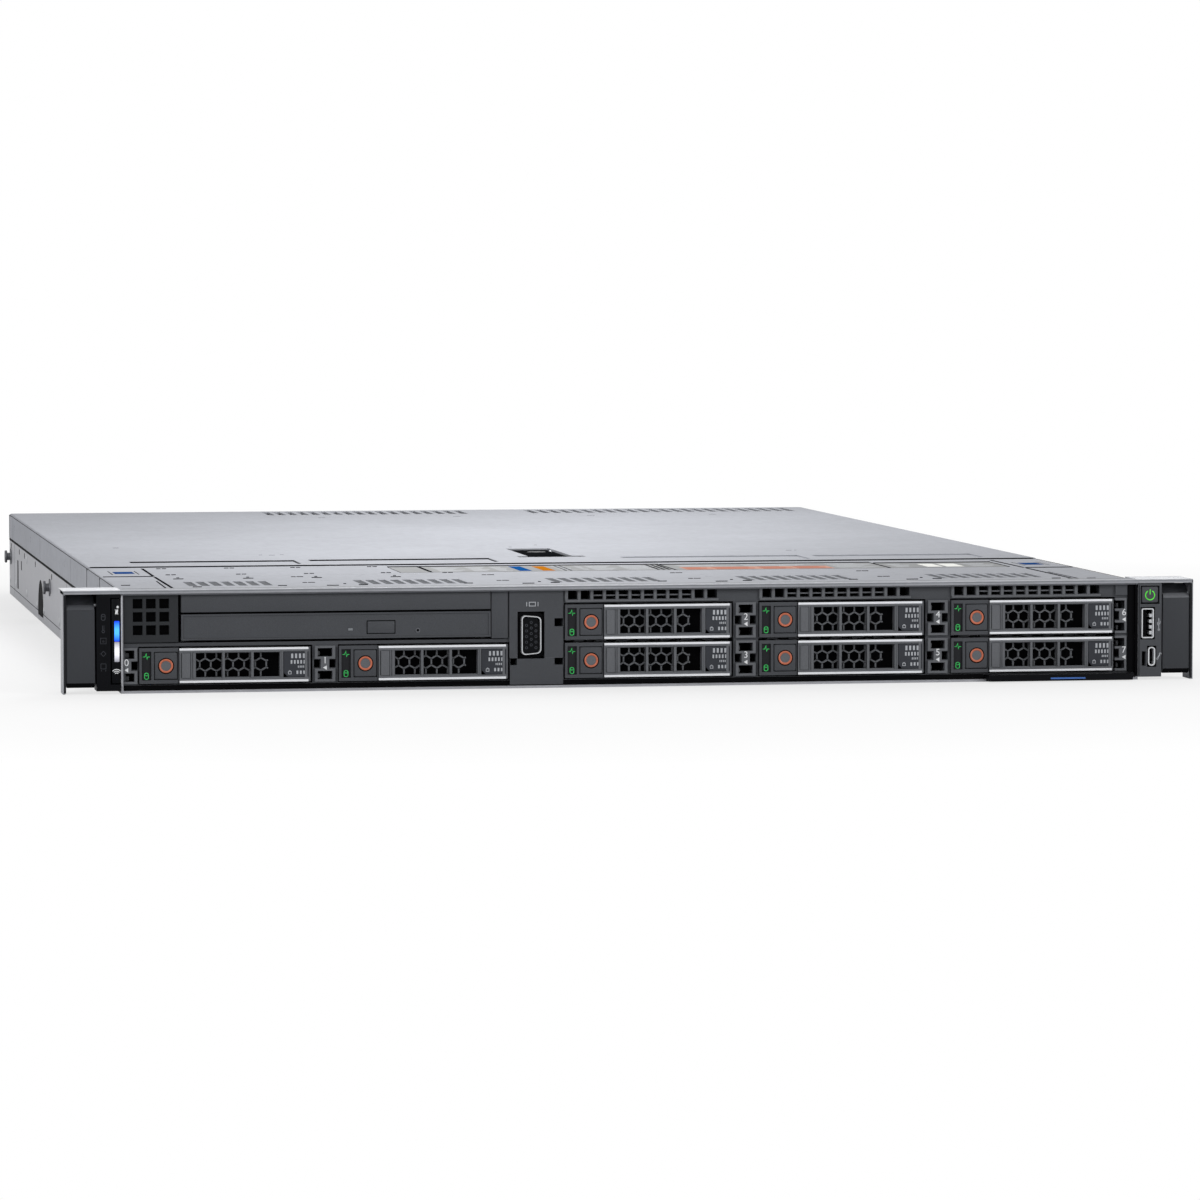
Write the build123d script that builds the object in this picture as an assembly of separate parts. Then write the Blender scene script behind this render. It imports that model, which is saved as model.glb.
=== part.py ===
"""A 1U rack server with eight small drives, built as separate pieces at real size, in millimetres.

X runs across the front, to the right of someone who faces it. Y runs from the front to the rear. Z is up.
Every size below is measured from the front plane of the rack ears (Y = 0) and the underside (Z = 0).
The last step moves all pieces back by half the overall depth, so the origin is the middle of the footprint.
"""
from build123d import *
from math import radians, sin
import os

# Sheet thickness and the gap between pieces that don't press on each other
steel = 1.0
fit = 0.3

# Slide-out tag below the right-hand drives
tag_width = 64.0
tag_right_inset = 1.9
tag_front_y = -4.0
tag_lip_depth = 3.6
tag_lip_proud = 0.7
tag_lip_drop = 1.0
tag_length = 78.0
tag_thick = 1.1
tag_low = steel + fit
tag_top = tag_low + tag_thick

# Drive bays: five columns, of which the last three hold two drives each
disk_width = 69.85
disk_length = 100.2
disk_height = 14.5
disk_front_y = 10.0
disk_play = 0.1
rail = 0.8
cage_sheet = 0.8
row_gap = 1.4
column_gap = 11.65
display_gap = 23.95
first_column_inset = 7.7
last_column_inset = 10.15
bay_play = 0.35
bay_roof_gap = 0.6
carrier_height = disk_height + 2 * disk_play
carrier_width = disk_width + 2 * rail
row_pitch = carrier_height + row_gap
first_row_z = tag_top + fit + 0.1 + cage_sheet + fit
row_z = [first_row_z, first_row_z + row_pitch]
drive_slots = [(0, 0), (1, 0), (2, 1), (2, 0), (3, 1), (3, 0), (4, 1), (4, 0)]
tall_columns = (2, 3, 4)

# Vent cells above the tall columns, and the folded hem over them
cell_rail = 1.5
cell_height = 4.2
cell_pitch = 5.4
cell_width = 3.7
cell_count = 12
cell_start = 1.6
hem_thick = 1.5
hem_depth = 6.0
cell_low = row_z[1] + carrier_height + bay_roof_gap + cell_rail
bezel_top = cell_low + cell_height

# Overall sizes of the case
ear_width = 24.0
ear_depth = 22.0
ear_to_rear_wall = 657.25
ear_to_handle_end = 692.6
body_height = bezel_top + fit + hem_thick
body_width = first_column_inset + 5 * carrier_width + 3 * column_gap + display_gap + last_column_inset
half_body = body_width / 2
half_span = half_body + ear_width
rear_y = ear_depth + ear_to_rear_wall
handle_end_y = ear_depth + ear_to_handle_end
inner_half = half_body - steel
roof_under = body_height - steel
frame_top = roof_under - fit

column_pitch = carrier_width + column_gap
column_x = [first_column_inset - half_body]
column_x.append(column_x[0] + column_pitch)
column_x.append(column_x[1] + carrier_width + display_gap)
column_x.append(column_x[2] + column_pitch)
column_x.append(column_x[3] + column_pitch)

# Covers: where each one ends along the depth, and how far their side flanges reach down
front_panel_end = 104.0
drive_cover_end = 172.0
flange_bottom = 30.0
wall_front_y = 1.0
joggle = 0.6
upper_wall = inner_half - joggle - steel

# Rack ears
ear_skin = 1.0
ear_skin_depth = 12.0
ear_plate = 1.5
ear_plate_inset = 2.5
ear_web_length = 40.0
ear_web_thick = 1.4
ear_floor_gap = 0.6

# Ear panels and the latch beside each one
panel_width = 10.1
panel_bottom = 1.2
latch_face_y = 0.4
latch_thick = 10.6
latch_bottom = 2.6
latch_lip_z = 35.0
latch_chamfer = 2.2
latch_pivot_y = 5.5
latch_pivot_z = 36.5
latch_pin_radius = 1.0
pin_play = 0.06
pin_grip = 0.7

# Captive screw behind each ear latch
screw_offset = 16.5
screw_z = 20.0
screw_radius = 2.5
screw_head_radius = 3.9
screw_head_y = 12.2
screw_head_height = 4.8
screw_hole_play = 0.25

# Identification button on the left panel
id_button_width = 3.5
id_button_low = 4.2
id_button_high = 39.4
id_button_front = 0.2
id_button_deep = 4.8
button_room = 1.6

# Power button and ports on the right panel
power_left = 1.4
power_width = 7.3
power_low = 32.8
power_height = 6.9
power_front = 0.3
power_deep = 5.2
usb_left = 1.3
usb_width = 5.5
usb_low = 17.6
usb_height = 12.9
usb_front = 0.5
usb_deep = 13.2
shell_wall = 0.4
usb_tongue_width = 1.9
micro_left = 4.2
micro_width = 3.3
micro_low = 5.8
micro_height = 8.2
micro_deep = 7.0
micro_wall = 0.35
reader_left = 1.5
reader_width = 1.8
reader_low = 5.9
reader_height = 6.2
reader_deep = 3.0

# One drive carrier, measured from its own lower left corner
carrier_face_y = 1.6
block_width = 16.2
wall_back_y = 8.4
carrier_wall = 1.6
light_left = 0.9
light_width = 4.0
light_low = 1.4
light_height = 11.9
light_recess = 0.8
release_left = 6.3
release_width = 9.3
release_low = 1.8
release_height = 11.1
release_front = 1.2
release_deep = 4.4
release_travel = 1.2
ring_radius = 2.9
ring_recess = 0.3
handle_front = 1.0
handle_end_radius = 2.7
handle_pivot_u = 68.7
handle_plate = 1.2
handle_edge = 0.95
handle_play = 0.15
window_left = 23.4
window_right = 58.3
window_low = 2.4
window_high = 12.5
window_bar = 1.1
window_count = 3
pivot_pin_radius = 0.7
lug_radius = 1.35
lug_arm = 0.3
lug_thick = 1.2
lug_inset = 1.3

# Front bezel
bezel_front = 2.0
bezel_back = 12.0
bezel_bottom = steel + fit + 0.1
upper_bay_floor = row_z[0] + carrier_height + 2.0
notch_width = 6.7
notch_height = 4.2
notch_lift = 0.5
display_port_width = 8.4
display_port_height = 16.9
display_port_low = 13.7
display_port_offset = 5.0

# Upper bay: vent panel, blank, slim optical drive and spacer
filler_thick = 2.5
vent_width = 22.6
vent_hole = 3.75
vent_pitch = 5.5
vent_count = 3
optical_face_width = 129.6
optical_face_low = upper_bay_floor + 1.0
optical_face_height = 10.8
optical_face_high = optical_face_low + optical_face_height
optical_face_thick = 3.2
optical_width = 128.0
optical_height = 9.5
optical_length = 126.0
optical_skin = 0.8
optical_case_y = 6.0
tray_height = 5.0
disc_recess_diameter = 121.0
disc_recess_depth = 2.2
hub_radius = 7.5
hub_height = 1.6
eject_left = 77.7
eject_width = 11.4
eject_low = 2.1
eject_height = 5.0
eject_deep = 2.4
blank_low = optical_face_high + 0.8
blank_arm = 4.0

# Backplane behind the drives
backplane_gap = 5.0
board_thick = 1.6
socket_width = 42.0
socket_height = 7.0

# Fans
fan_count = 4
fan_floor_gap = 0.3
fan_headroom = 0.5
fan_size = roof_under - steel - fan_floor_gap - fan_headroom
fan_depth = 38.0
fan_pitch = 60.0
fan_middle_x = 20.0
fan_front_y = 175.0
fan_wall = 1.2
fan_bore_radius = fan_size / 2 - fan_wall
rotor_play = 0.6
rotor_hub_radius = 10.0
rotor_depth = 22.0
blade_count = 7
blade_thick = 1.6
blade_angle = 38.0
fan_strut = 3.0

# Mainboard and what stands on it
board_lift = 6.0
board_front_y = 262.0
board_side_gap = 5.0
standoff_radius = 3.0
standoff_inset = 8.0
supply_board_gap = 8.0
processor_x = 20.0
processor_front_y = 318.0
socket_side = 76.0
socket_length = 94.0
socket_rise = 5.0
board_top = steel + board_lift + board_thick
heatsink_width = 84.0
heatsink_length = 104.0
heatsink_base = 5.0
heatsink_headroom = 2.2
heatsink_height = roof_under - heatsink_headroom - board_top - socket_rise
fin_count = 21
fin_thick = 1.0
memory_per_side = 8
memory_pitch = 8.4
memory_length = 133.35
memory_thick = 3.4
memory_headroom = 1.2
memory_gap = 7.0
memory_front_y = 302.0
memory_socket_width = 6.5
memory_socket_height = 5.0
memory_sink = 3.0
memory_low = board_top + memory_socket_height - memory_sink
# Tall parts on the board: left edge, front edge, width, length and height
board_parts = {
    "storage_connector": (-170.0, 420.0, 40.0, 8.0, 11.0),
    "chipset_cooler": (10.0, 520.0, 30.0, 30.0, 8.0),
    "management_chip": (-20.0, 610.0, 20.0, 20.0, 3.2),
}

# Power supply in the inner rear bay, and the blank in the outer one
supply_width = 86.0
supply_headroom = 1.3
supply_low = steel + fit
supply_top = roof_under - supply_headroom
supply_length = 187.0
supply_face_proud = 1.5
supply_skin = 1.0
supply_fan_radius = 18.0
supply_fan_right = 21.8
supply_rotor_depth = 12.0
supply_guard_thick = 1.5
# Parts on its board, from its own front left corner: left, front, width, length and height
supply_parts = {
    "storage_capacitor": (6.0, 10.0, 26.0, 60.0, 28.0),
    "output_stage": (38.0, 14.0, 36.0, 30.0, 24.0),
    "transformer": (40.0, 60.0, 34.0, 46.0, 30.0),
    "choke": (8.0, 84.0, 24.0, 40.0, 26.0),
}
bay_wall = 1.0
handle_left = 20.5
handle_width = 18.0
handle_bar = 6.6
handle_low = 8.0
handle_post = 5.0
release_pivot_left = 45.5
release_pivot_out = 2.8
release_pivot_radius = 1.0
release_boss_radius = 2.4
release_tab_reach = 21.0
release_tab_low = 29.0
release_tab_height = 8.0
release_tab_thick = 2.4
release_hook = 4.0
release_ear = 1.6
inlet_left = 1.2
inlet_width = 18.4
inlet_low = 6.0
inlet_height = 27.4
inlet_wall = 1.6
inlet_deep = 17.0
inlet_pin_offset = 3.6
inlet_pin_pitch = 7.0
inlet_pin_width = 2.0
inlet_pin_height = 4.0
supply_board_inset = 4.0
supply_board_back = 42.0
guard_hub_radius = 5.0
guard_hub_depth = 3.0
guard_rings = ((supply_fan_radius, 14.6), (13.4, 10.0), (8.8, 5.4))
guard_spoke = 1.6
supply_hub_radius = 8.5
grille_slot = 4.0
grille_pitch = 8.0
grille_margin = 8.0
blank_depth = 8.0
blank_skin = 1.0
slot_cover_play = 0.4

# Port shells on the mainboard's rear edge: a display plug, a stack of two plugs, and network jacks
rear_port_proud = 0.6
rear_port_inset = 2.0
rear_display_width = 30.8
rear_display_deep = 14.0
rear_display_height = 12.5
rear_plug_inset = 7.0
rear_plug_width = 16.8
rear_plug_low = 2.2
rear_plug_height = 8.1
rear_plug_reach = 4.0
rear_stack_offset = 34.0
rear_stack_width = 14.6
rear_stack_deep = 18.0
rear_stack_height = 15.6
rear_stack_levels = (1.2, 8.4)
rear_stack_opening = 5.8
rear_stack_wall = 1.0
rear_tongue_low = 3.4
rear_tongue_height = 1.9
jack_offset = 52.0
jack_count = 2
jack_pitch = 17.4
jack_width = 16.2
jack_deep = 21.0
jack_height = 13.6
jack_wall = 2.2
jack_floor = 1.8
jack_mouth_height = 8.4

# Rear wall openings
port_opening_inset = 1.0
port_opening_width = 94.0
port_opening_height = 17.6
slot_cover_width = 74.0
slot_cover_height = 18.5
slot_cover_low = 18.0
slot_cover_gap = 4.0
slot_cover_inset = 4.0
slot_cover_thick = 1.0
slot_cover_lap = 1.5
rear_vent_hole = 3.2
rear_vent_pitch = 4.4
rear_vent_rows = 3
rear_vent_inset = 2.3
port_vent_count = 20
port_vent_low = 29.0
slot_vent_count = 34
slot_vent_low = 5.2

# Top cover
latch_pocket_width = 20.6
latch_pocket_front = 219.0
latch_pocket_back = 288.0
latch_pocket_depth = 6.0
latch_scoop_radius = 15.5
scoop_reach = 4.0
scoop_depth = 5.0
cover_latch_width = 17.0
cover_latch_front = 224.0
cover_latch_thick = 3.2
cover_pin_radius = 1.2
cover_pin_y = 281.5
cover_latch_drop = 0.4
latch_dish_side = 2.0
latch_dish_front = 3.0
latch_dish_back = 6.0
latch_dish_depth = 0.6
top_slot_width = 3.6
top_slot_length = 35.0
top_slot_pitch = 6.1
top_slot_front = 636.0
top_slot_groups = [(-82.5, 18), (60.0, 24)]
front_slot_length = 15.5
front_slot_front = 38.0
front_slot_pitch = 5.3
front_slot_groups = [(-185.2, 7), (-112.5, 9), (-29.5, 9), (54.0, 9), (138.0, 9)]

# Studs and openings on both side walls
stud_count = 3
stud_first_y = 115.0
stud_pitch = 276.0
stud_z = 20.5
stud_flange_radius = 4.2
stud_flange = 0.6
stud_neck_radius = 2.0
stud_neck = 1.6
stud_head_radius = 3.3
stud_head = 1.2
long_slot_y = (611.0, 616.0)
long_slot_z = (6.4, 21.2)
short_slot_y = (586.0, 589.0)
short_slot_z = (17.8, 22.3)
curved_slot_y = 452.5
curved_slot_top = 20.5
curved_slot_radius = 19.0
curved_slot_width = 3.4
curved_slot_span = 33.0
side_hole_radius = 0.9
side_hole_z = 26.3
side_hole_y = [379.0, 488.0, 565.0, 603.0, 664.0]

frame_shift_y = -(tag_front_y + handle_end_y) / 2


def block(x, y, z):
    """A box between the low and high value given for each axis."""
    spans = (x, y, z)
    middle = [(low + high) / 2 for low, high in spans]
    return Pos(*middle) * Box(*[high - low for low, high in spans])


def rod_x(radius, x, y, z):
    """A round bar along X, from x[0] to x[1]."""
    return Pos((x[0] + x[1]) / 2, y, z) * Rot(0, 90, 0) * Cylinder(radius, x[1] - x[0])


def rod_y(radius, x, y, z):
    """A round bar along Y, from y[0] to y[1]."""
    return Pos(x, (y[0] + y[1]) / 2, z) * Rot(90, 0, 0) * Cylinder(radius, y[1] - y[0])


def rod_z(radius, x, y, z):
    """A round bar along Z, from z[0] to z[1]."""
    return Pos(x, y, (z[0] + z[1]) / 2) * Cylinder(radius, z[1] - z[0])


def other_side(shape):
    """The same shape on the other side of the machine."""
    return mirror(shape, about=Plane.YZ)


def solids_of(shape):
    """The separate solids in a shape or a list of shapes."""
    shapes = shape if isinstance(shape, list) else [shape]
    return [solid for item in shapes for solid in item.solids()]


# Chassis


def side_openings():
    """Cutters for the slots and small holes in one side wall, on the left."""
    deep = (-half_body - steel, -inner_half + steel)
    cutters = block(deep, long_slot_y, long_slot_z)
    cutters += block(deep, short_slot_y, short_slot_z)
    curve = Circle(curved_slot_radius) - Circle(curved_slot_radius - curved_slot_width)
    curve &= Pos(0, curved_slot_radius / 2) * Rectangle(curved_slot_span, curved_slot_radius)
    place = Plane.YZ.offset(deep[0]) * Pos(curved_slot_y, curved_slot_top - curved_slot_radius)
    cutters += extrude(place * curve, deep[1] - deep[0])
    for y in side_hole_y:
        cutters += rod_x(side_hole_radius, deep, y, side_hole_z)
    return cutters


def supply_bay_x():
    """The left edge of the power supply, and of the blank beside it."""
    outer = fit - upper_wall
    inner = outer + supply_width + bay_wall + 2 * fit
    return inner, outer


def port_opening_left():
    """The left edge of the rear wall's port opening, just past the power supply's bay."""
    return supply_bay_x()[0] + supply_width + fit + bay_wall + port_opening_inset


def slot_cover_x(index):
    """The left edge of a rear expansion slot's opening."""
    first = upper_wall - slot_cover_inset - 2 * slot_cover_width - slot_cover_gap
    return first + index * (slot_cover_width + slot_cover_gap)


def chassis_base():
    """Folded steel tray with joggled side walls and the rear bays' walls, and the rear wall riveted to it."""
    step_z = wall_step_z()
    end_y = rear_y - steel
    tray = block((-half_body, half_body), (wall_front_y, end_y), (0, steel))
    wall = block((-half_body, -inner_half), (wall_front_y, end_y), (0, step_z))
    wall += block((-half_body, -upper_wall), (ear_depth, end_y), (step_z - steel, step_z))
    wall += block((-upper_wall - steel, -upper_wall), (ear_depth, end_y), (step_z - steel, frame_top))
    wall += block((-half_body, -inner_half), (wall_front_y, ear_depth), (0, frame_top - fit))
    wall += block((-half_body, -upper_wall), (ear_depth - steel, ear_depth), (0, frame_top - fit))
    wall -= side_openings()
    tray += wall + other_side(wall)

    inner, _ = supply_bay_x()
    wall_y = (rear_y - supply_length, end_y)
    for left in (inner - fit - bay_wall, inner + supply_width + fit):
        tray += block((left, left + bay_wall), wall_y, (steel, frame_top))

    for x, y in standoff_places():
        tray += rod_z(standoff_radius, x, y, (steel / 2, steel + board_lift))
    return [tray, rear_wall()]


def wall_step_z():
    """Height at which a side wall steps in, just below the covers' flanges."""
    return flange_bottom - fit - 0.1


def rear_wall():
    """Rear sheet with openings for the power bays, the ports and the slot covers, and its vent holes."""
    rear = block((-half_body, half_body), (rear_y - steel, rear_y), (0, wall_step_z()))
    rear += block((-upper_wall, upper_wall), (rear_y - steel, rear_y), (0, frame_top))
    through = (rear_y - 2 * steel, rear_y + steel)
    inner, outer = supply_bay_x()
    for left in (inner, outer):
        opening = (left - fit, left + supply_width + fit)
        rear -= block(opening, through, (steel, supply_top + fit))
    port_low = board_top - fit
    port_x = (port_opening_left(), port_opening_left() + port_opening_width)
    rear -= block(port_x, through, (port_low, port_low + port_opening_height))
    for index in range(2):
        left = slot_cover_x(index)
        slot_z = (slot_cover_low, slot_cover_low + slot_cover_height)
        rear -= block((left, left + slot_cover_width), through, slot_z)
    return rear - rear_vent_cutters(through)


def rear_vent_cutters(through):
    """Round vent holes in the rear wall, above the ports and below the slot covers."""
    cutters = []
    row_rise = rear_vent_pitch * sin(radians(60))
    above_ports = (port_opening_left(), port_vent_count, port_vent_low)
    below_slots = (slot_cover_x(0), slot_vent_count, slot_vent_low)
    fields = [above_ports, below_slots]
    for start, count, low in fields:
        for row in range(rear_vent_rows):
            shift = rear_vent_pitch / 2 if row % 2 else 0.0
            for column in range(count):
                x = start + rear_vent_inset + shift + column * rear_vent_pitch
                cutters.append(rod_y(rear_vent_hole / 2, x, through, low + row * row_rise))
    return cutters


def standoff_places():
    """Where the mainboard stands on the floor."""
    inner, _ = supply_bay_x()
    right = inner_half - board_side_gap - standoff_inset
    middle = inner + supply_width + fit + bay_wall + standoff_inset
    back = rear_y - steel - fit - standoff_inset
    front = board_front_y + standoff_inset
    halfway = rear_y - supply_length - supply_board_gap - standoff_inset
    places = [(x, y) for x in (middle, right) for y in (front, halfway, back)]
    return places + [(-right, front), (-right, halfway)]


def rail_studs():
    """Shoulder studs on both side walls, for the rack's slide rails."""
    studs = []
    for index in range(stud_count):
        y = stud_first_y + index * stud_pitch
        outer = -half_body - stud_flange
        stud = rod_x(stud_flange_radius, (outer, -half_body), y, stud_z)
        stud += rod_x(stud_neck_radius, (outer - stud_neck, outer), y, stud_z)
        stud += rod_x(stud_head_radius, (outer - stud_neck - stud_head, outer - stud_neck), y, stud_z)
        studs += [stud, other_side(stud)]
    return studs


# Covers


def cover_sheet(y, slots):
    """A top sheet with two side flanges, between two depths, less the given cutters."""
    sheet = block((-half_body, half_body), y, (roof_under, body_height))
    for low, high in ((-half_body, -inner_half), (inner_half, half_body)):
        sheet += block((low, high), y, (flange_bottom, body_height))
    return sheet - slots


def slot_cutters(groups, y, pitch, width):
    """Rows of long slots through the roof: each group is its left edge and how many slots it has."""
    high = (roof_under - steel, body_height + steel)
    cutters = []
    for left, count in groups:
        cutters += [block((left + i * pitch, left + i * pitch + width), y, high) for i in range(count)]
    return cutters


def front_top_panel():
    """Fixed roof over the drive bays, with a folded hem along its front edge."""
    slots_y = (front_slot_front, front_slot_front + front_slot_length)
    slots = slot_cutters(front_slot_groups, slots_y, front_slot_pitch, top_slot_width)
    panel = cover_sheet((ear_depth + fit, front_panel_end - fit), slots)
    panel += block((-half_body, half_body), (0, ear_depth + fit), (roof_under, body_height))
    panel += block((-half_body, half_body), (0, hem_depth), (body_height - hem_thick, body_height))
    return panel


def backplane_cover():
    """Small lift-off cover between the fixed roof and the main cover."""
    return cover_sheet((front_panel_end, drive_cover_end - fit), [])


def top_cover():
    """Main cover with rear vent slots, and the pan below it that holds its latch."""
    slots_y = (top_slot_front, top_slot_front + top_slot_length)
    slots = slot_cutters(top_slot_groups, slots_y, top_slot_pitch, top_slot_width)
    cover = cover_sheet((drive_cover_end, rear_y), slots)
    half_pocket = latch_pocket_width / 2
    pan_z = (roof_under - latch_pocket_depth - steel, roof_under)
    inside = latch_pocket((pan_z[0] + steel, body_height))
    pan_y = (latch_pocket_front, latch_pocket_back + steel)
    pan = block((-half_pocket - steel, half_pocket + steel), pan_y, pan_z)
    half_scoop = latch_scoop_radius + steel
    scoop_y = (latch_pocket_front - scoop_reach - steel, latch_pocket_front + scoop_depth + steel)
    pan += block((-half_scoop, half_scoop), scoop_y, pan_z)
    pin_x = (-half_pocket - 2 * steel, half_pocket + 2 * steel)
    space = inside + rod_x(cover_pin_radius + pin_play, pin_x, cover_pin_y, cover_pin_z())
    return [cover - space, pan - space]


def latch_pocket(z):
    """The sunk space of the cover latch: an oblong with a round finger scoop at its front end."""
    half_pocket = latch_pocket_width / 2
    space = block((-half_pocket, half_pocket), (latch_pocket_front, latch_pocket_back), z)
    scoop_y = (latch_pocket_front - scoop_reach, latch_pocket_front + scoop_depth)
    scoop = rod_z(latch_scoop_radius, 0, scoop_y[0] + latch_scoop_radius, z)
    return space + (scoop & block((-latch_scoop_radius, latch_scoop_radius), scoop_y, z))


def cover_pin_z():
    """Height of the cover latch's pivot."""
    return body_height - cover_latch_thick / 2 - cover_latch_drop


def cover_latch():
    """Lever that lies flush in its pocket and turns up about a pin near its rear end."""
    half = cover_latch_width / 2
    pin_z = cover_pin_z()
    top = pin_z + cover_latch_thick / 2
    lever = block((-half, half), (cover_latch_front, cover_pin_y), (top - cover_latch_thick, top))
    lever += rod_x(cover_latch_thick / 2, (-half, half), cover_pin_y, pin_z)
    dish_x = (-half + latch_dish_side, half - latch_dish_side)
    dish_y = (cover_latch_front + latch_dish_front, cover_pin_y - latch_dish_back)
    lever -= block(dish_x, dish_y, (top - latch_dish_depth, top + 1.0))
    reach = latch_pocket_width / 2 + pin_grip
    return lever + rod_x(cover_pin_radius, (-reach, reach), cover_pin_y, pin_z)


# Rack ears and what they carry


def rack_ear():
    """Left ear: outer skin, top plate, mounting plate and the web that lies on the case wall."""
    outer = -half_span
    ear = block((outer, outer + ear_skin), (0, ear_skin_depth), (0, body_height))
    ear += block((outer, -half_body), (0, ear_depth), (body_height - hem_thick, body_height))
    plate_y = (ear_depth - ear_plate, ear_depth)
    ear += block((outer + ear_plate_inset, -half_body), plate_y, (ear_floor_gap, body_height))
    web_z = (2.0, flange_bottom - 2 * steel)
    web_y = (ear_depth - ear_plate, ear_depth + ear_web_length)
    ear += block((-half_body - ear_web_thick, -half_body), web_y, web_z)
    through = (ear_depth - ear_plate - 1.0, ear_depth + 1.0)
    ear -= rod_y(screw_radius + screw_hole_play, screw_offset_x(), through, screw_z)
    pin_hole = (outer - 1.0, outer + ear_skin + 1.0)
    return ear - rod_x(latch_pin_radius + pin_play, pin_hole, latch_pivot_y, latch_pivot_z)


def screw_offset_x():
    """Centre of the left captive screw."""
    return -half_body - screw_offset


def ear_latch():
    """Left ear latch: a scooped grip that swings out from the bottom, with its pivot pin."""
    right = -half_body - panel_width - 2 * fit
    left = -half_span + ear_skin + fit + 0.1
    back = latch_face_y + latch_thick
    top = body_height - hem_thick - 0.6
    points = [(latch_face_y, latch_bottom + latch_chamfer), (latch_face_y, latch_lip_z)]
    lip = points[-1]
    crest = (latch_face_y + 6.4, top)
    outline = Polyline(points)
    outline += ThreePointArc(lip, (latch_face_y + 4.6, latch_lip_z + 1.9), crest)
    chamfer_end = (latch_face_y + latch_chamfer, latch_bottom)
    outline += Polyline([crest, (back, top), (back, latch_bottom), chamfer_end, points[0]])
    grip = extrude(Plane.YZ.offset(left) * make_face(outline), right - left)
    reach = (left - pin_grip - 0.1, right + 2 * fit + pin_grip)
    return grip + rod_x(latch_pin_radius, reach, latch_pivot_y, latch_pivot_z)


def captive_screw():
    """Left screw that clamps the ear to the rack, held behind the ear latch."""
    x = screw_offset_x()
    head_back = screw_head_y + screw_head_height
    screw = rod_y(screw_head_radius, x, (screw_head_y, head_back), screw_z)
    screw += rod_y(screw_radius, x, (head_back, ear_depth - 0.1), screw_z)
    half_slot = screw_head_radius - 1.2
    slot_y = (screw_head_y - 1.0, screw_head_y + 1.2)
    return screw - block((x - half_slot, x + half_slot), slot_y, (screw_z - 0.6, screw_z + 0.6))


def panel_block(left, right):
    """The plastic block between an ear latch and the case wall."""
    top = body_height - hem_thick - 0.2
    return block((left, right), (0, ear_depth - ear_plate), (panel_bottom, top))


def latch_pin_hole(x):
    """Cutter for the inner end of an ear latch's pin."""
    return rod_x(latch_pin_radius + pin_play, x, latch_pivot_y, latch_pivot_z)


def status_panel():
    """Left ear panel, with a pocket for the identification button beside the case wall."""
    left = -half_body - panel_width
    panel = panel_block(left, -half_body)
    pocket_x = (-half_body - id_button_width - 3 * fit, -half_body + 1.0)
    pocket_z = (id_button_low - fit, id_button_high + fit)
    panel -= block(pocket_x, (-1.0, id_button_front + id_button_deep + button_room), pocket_z)
    return panel - latch_pin_hole((left - 1.0, left + pin_grip + 0.2))


def id_button():
    """Long light bar on the left panel that is pressed as a button."""
    right = -half_body - fit - 0.1
    y = (id_button_front, id_button_front + id_button_deep)
    button = block((right - id_button_width, right), y, (id_button_low, id_button_high))
    return fillet(button.edges().filter_by(Axis.Z).group_by(Axis.Y)[0], 0.4)


def control_panel():
    """Right ear panel, with pockets for the power button, the two ports and a small slot."""
    left = half_body
    panel = panel_block(left, left + panel_width)
    pockets = [
        (power_left, power_width, power_low, power_height, power_front + power_deep + button_room, fit),
        (usb_left, usb_width, usb_low, usb_height, usb_front + usb_deep, fit),
        (micro_left, micro_width, micro_low, micro_height, usb_front + micro_deep, fit),
        (reader_left, reader_width, reader_low, reader_height, reader_deep, 0.0),
    ]
    for start, width, low, height, deep, play in pockets:
        x = (left + start - play, left + start + width + play)
        panel -= block(x, (-1.0, deep), (low - play, low + height + play))
    return panel - latch_pin_hole((left + panel_width - pin_grip - 0.2, left + panel_width + 1.0))


def power_button():
    """Square power button in the right panel."""
    x = (half_body + power_left, half_body + power_left + power_width)
    button = block(x, (power_front, power_front + power_deep), (power_low, power_low + power_height))
    return fillet(button.edges().group_by(Axis.Y)[0], 0.4)


def front_ports():
    """Port shells at the front: one wide, one small, and the display port with its core."""
    left = half_body + usb_left
    y = (usb_front, usb_front + usb_deep)
    shell = block((left, left + usb_width), y, (usb_low, usb_low + usb_height))
    inside = (left + shell_wall, left + usb_width - shell_wall)
    inside_z = (usb_low + shell_wall, usb_low + usb_height - shell_wall)
    shell -= block(inside, (usb_front - 1.0, y[1] - shell_wall), inside_z)
    tongue_x = (inside[1] - 0.5 - usb_tongue_width, inside[1] - 0.5)
    tongue_z = (usb_low + 1.2, usb_low + usb_height - 1.2)
    tongue = block(tongue_x, (usb_front + 1.5, y[1] - shell_wall), tongue_z)

    left = half_body + micro_left
    y = (usb_front, usb_front + micro_deep)
    middle = ((2 * left + micro_width) / 2, micro_low + micro_height / 2)
    outline = Pos(*middle) * RectangleRounded(micro_width, micro_height, micro_width * 0.42)
    hollow_size = (micro_width - 2 * micro_wall, micro_height - 2 * micro_wall)
    hollow = Pos(*middle) * RectangleRounded(*hollow_size, micro_width * 0.3)
    small = extrude(Plane.XZ.offset(-y[1]) * outline, micro_deep)
    small -= extrude(Plane.XZ.offset(-y[1] + 1.0) * hollow, micro_deep + 2.0)
    blade_z = (micro_low + 2.0, micro_low + micro_height - 2.0)
    blade = block((middle[0] - 0.35, middle[0] + 0.35), (usb_front + 1.0, y[1] - 1.0), blade_z)
    return [shell, tongue, small, blade] + display_port()


def display_port_x():
    """Left edge of the front display port."""
    return column_x[1] + carrier_width + display_port_offset + fit


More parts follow.
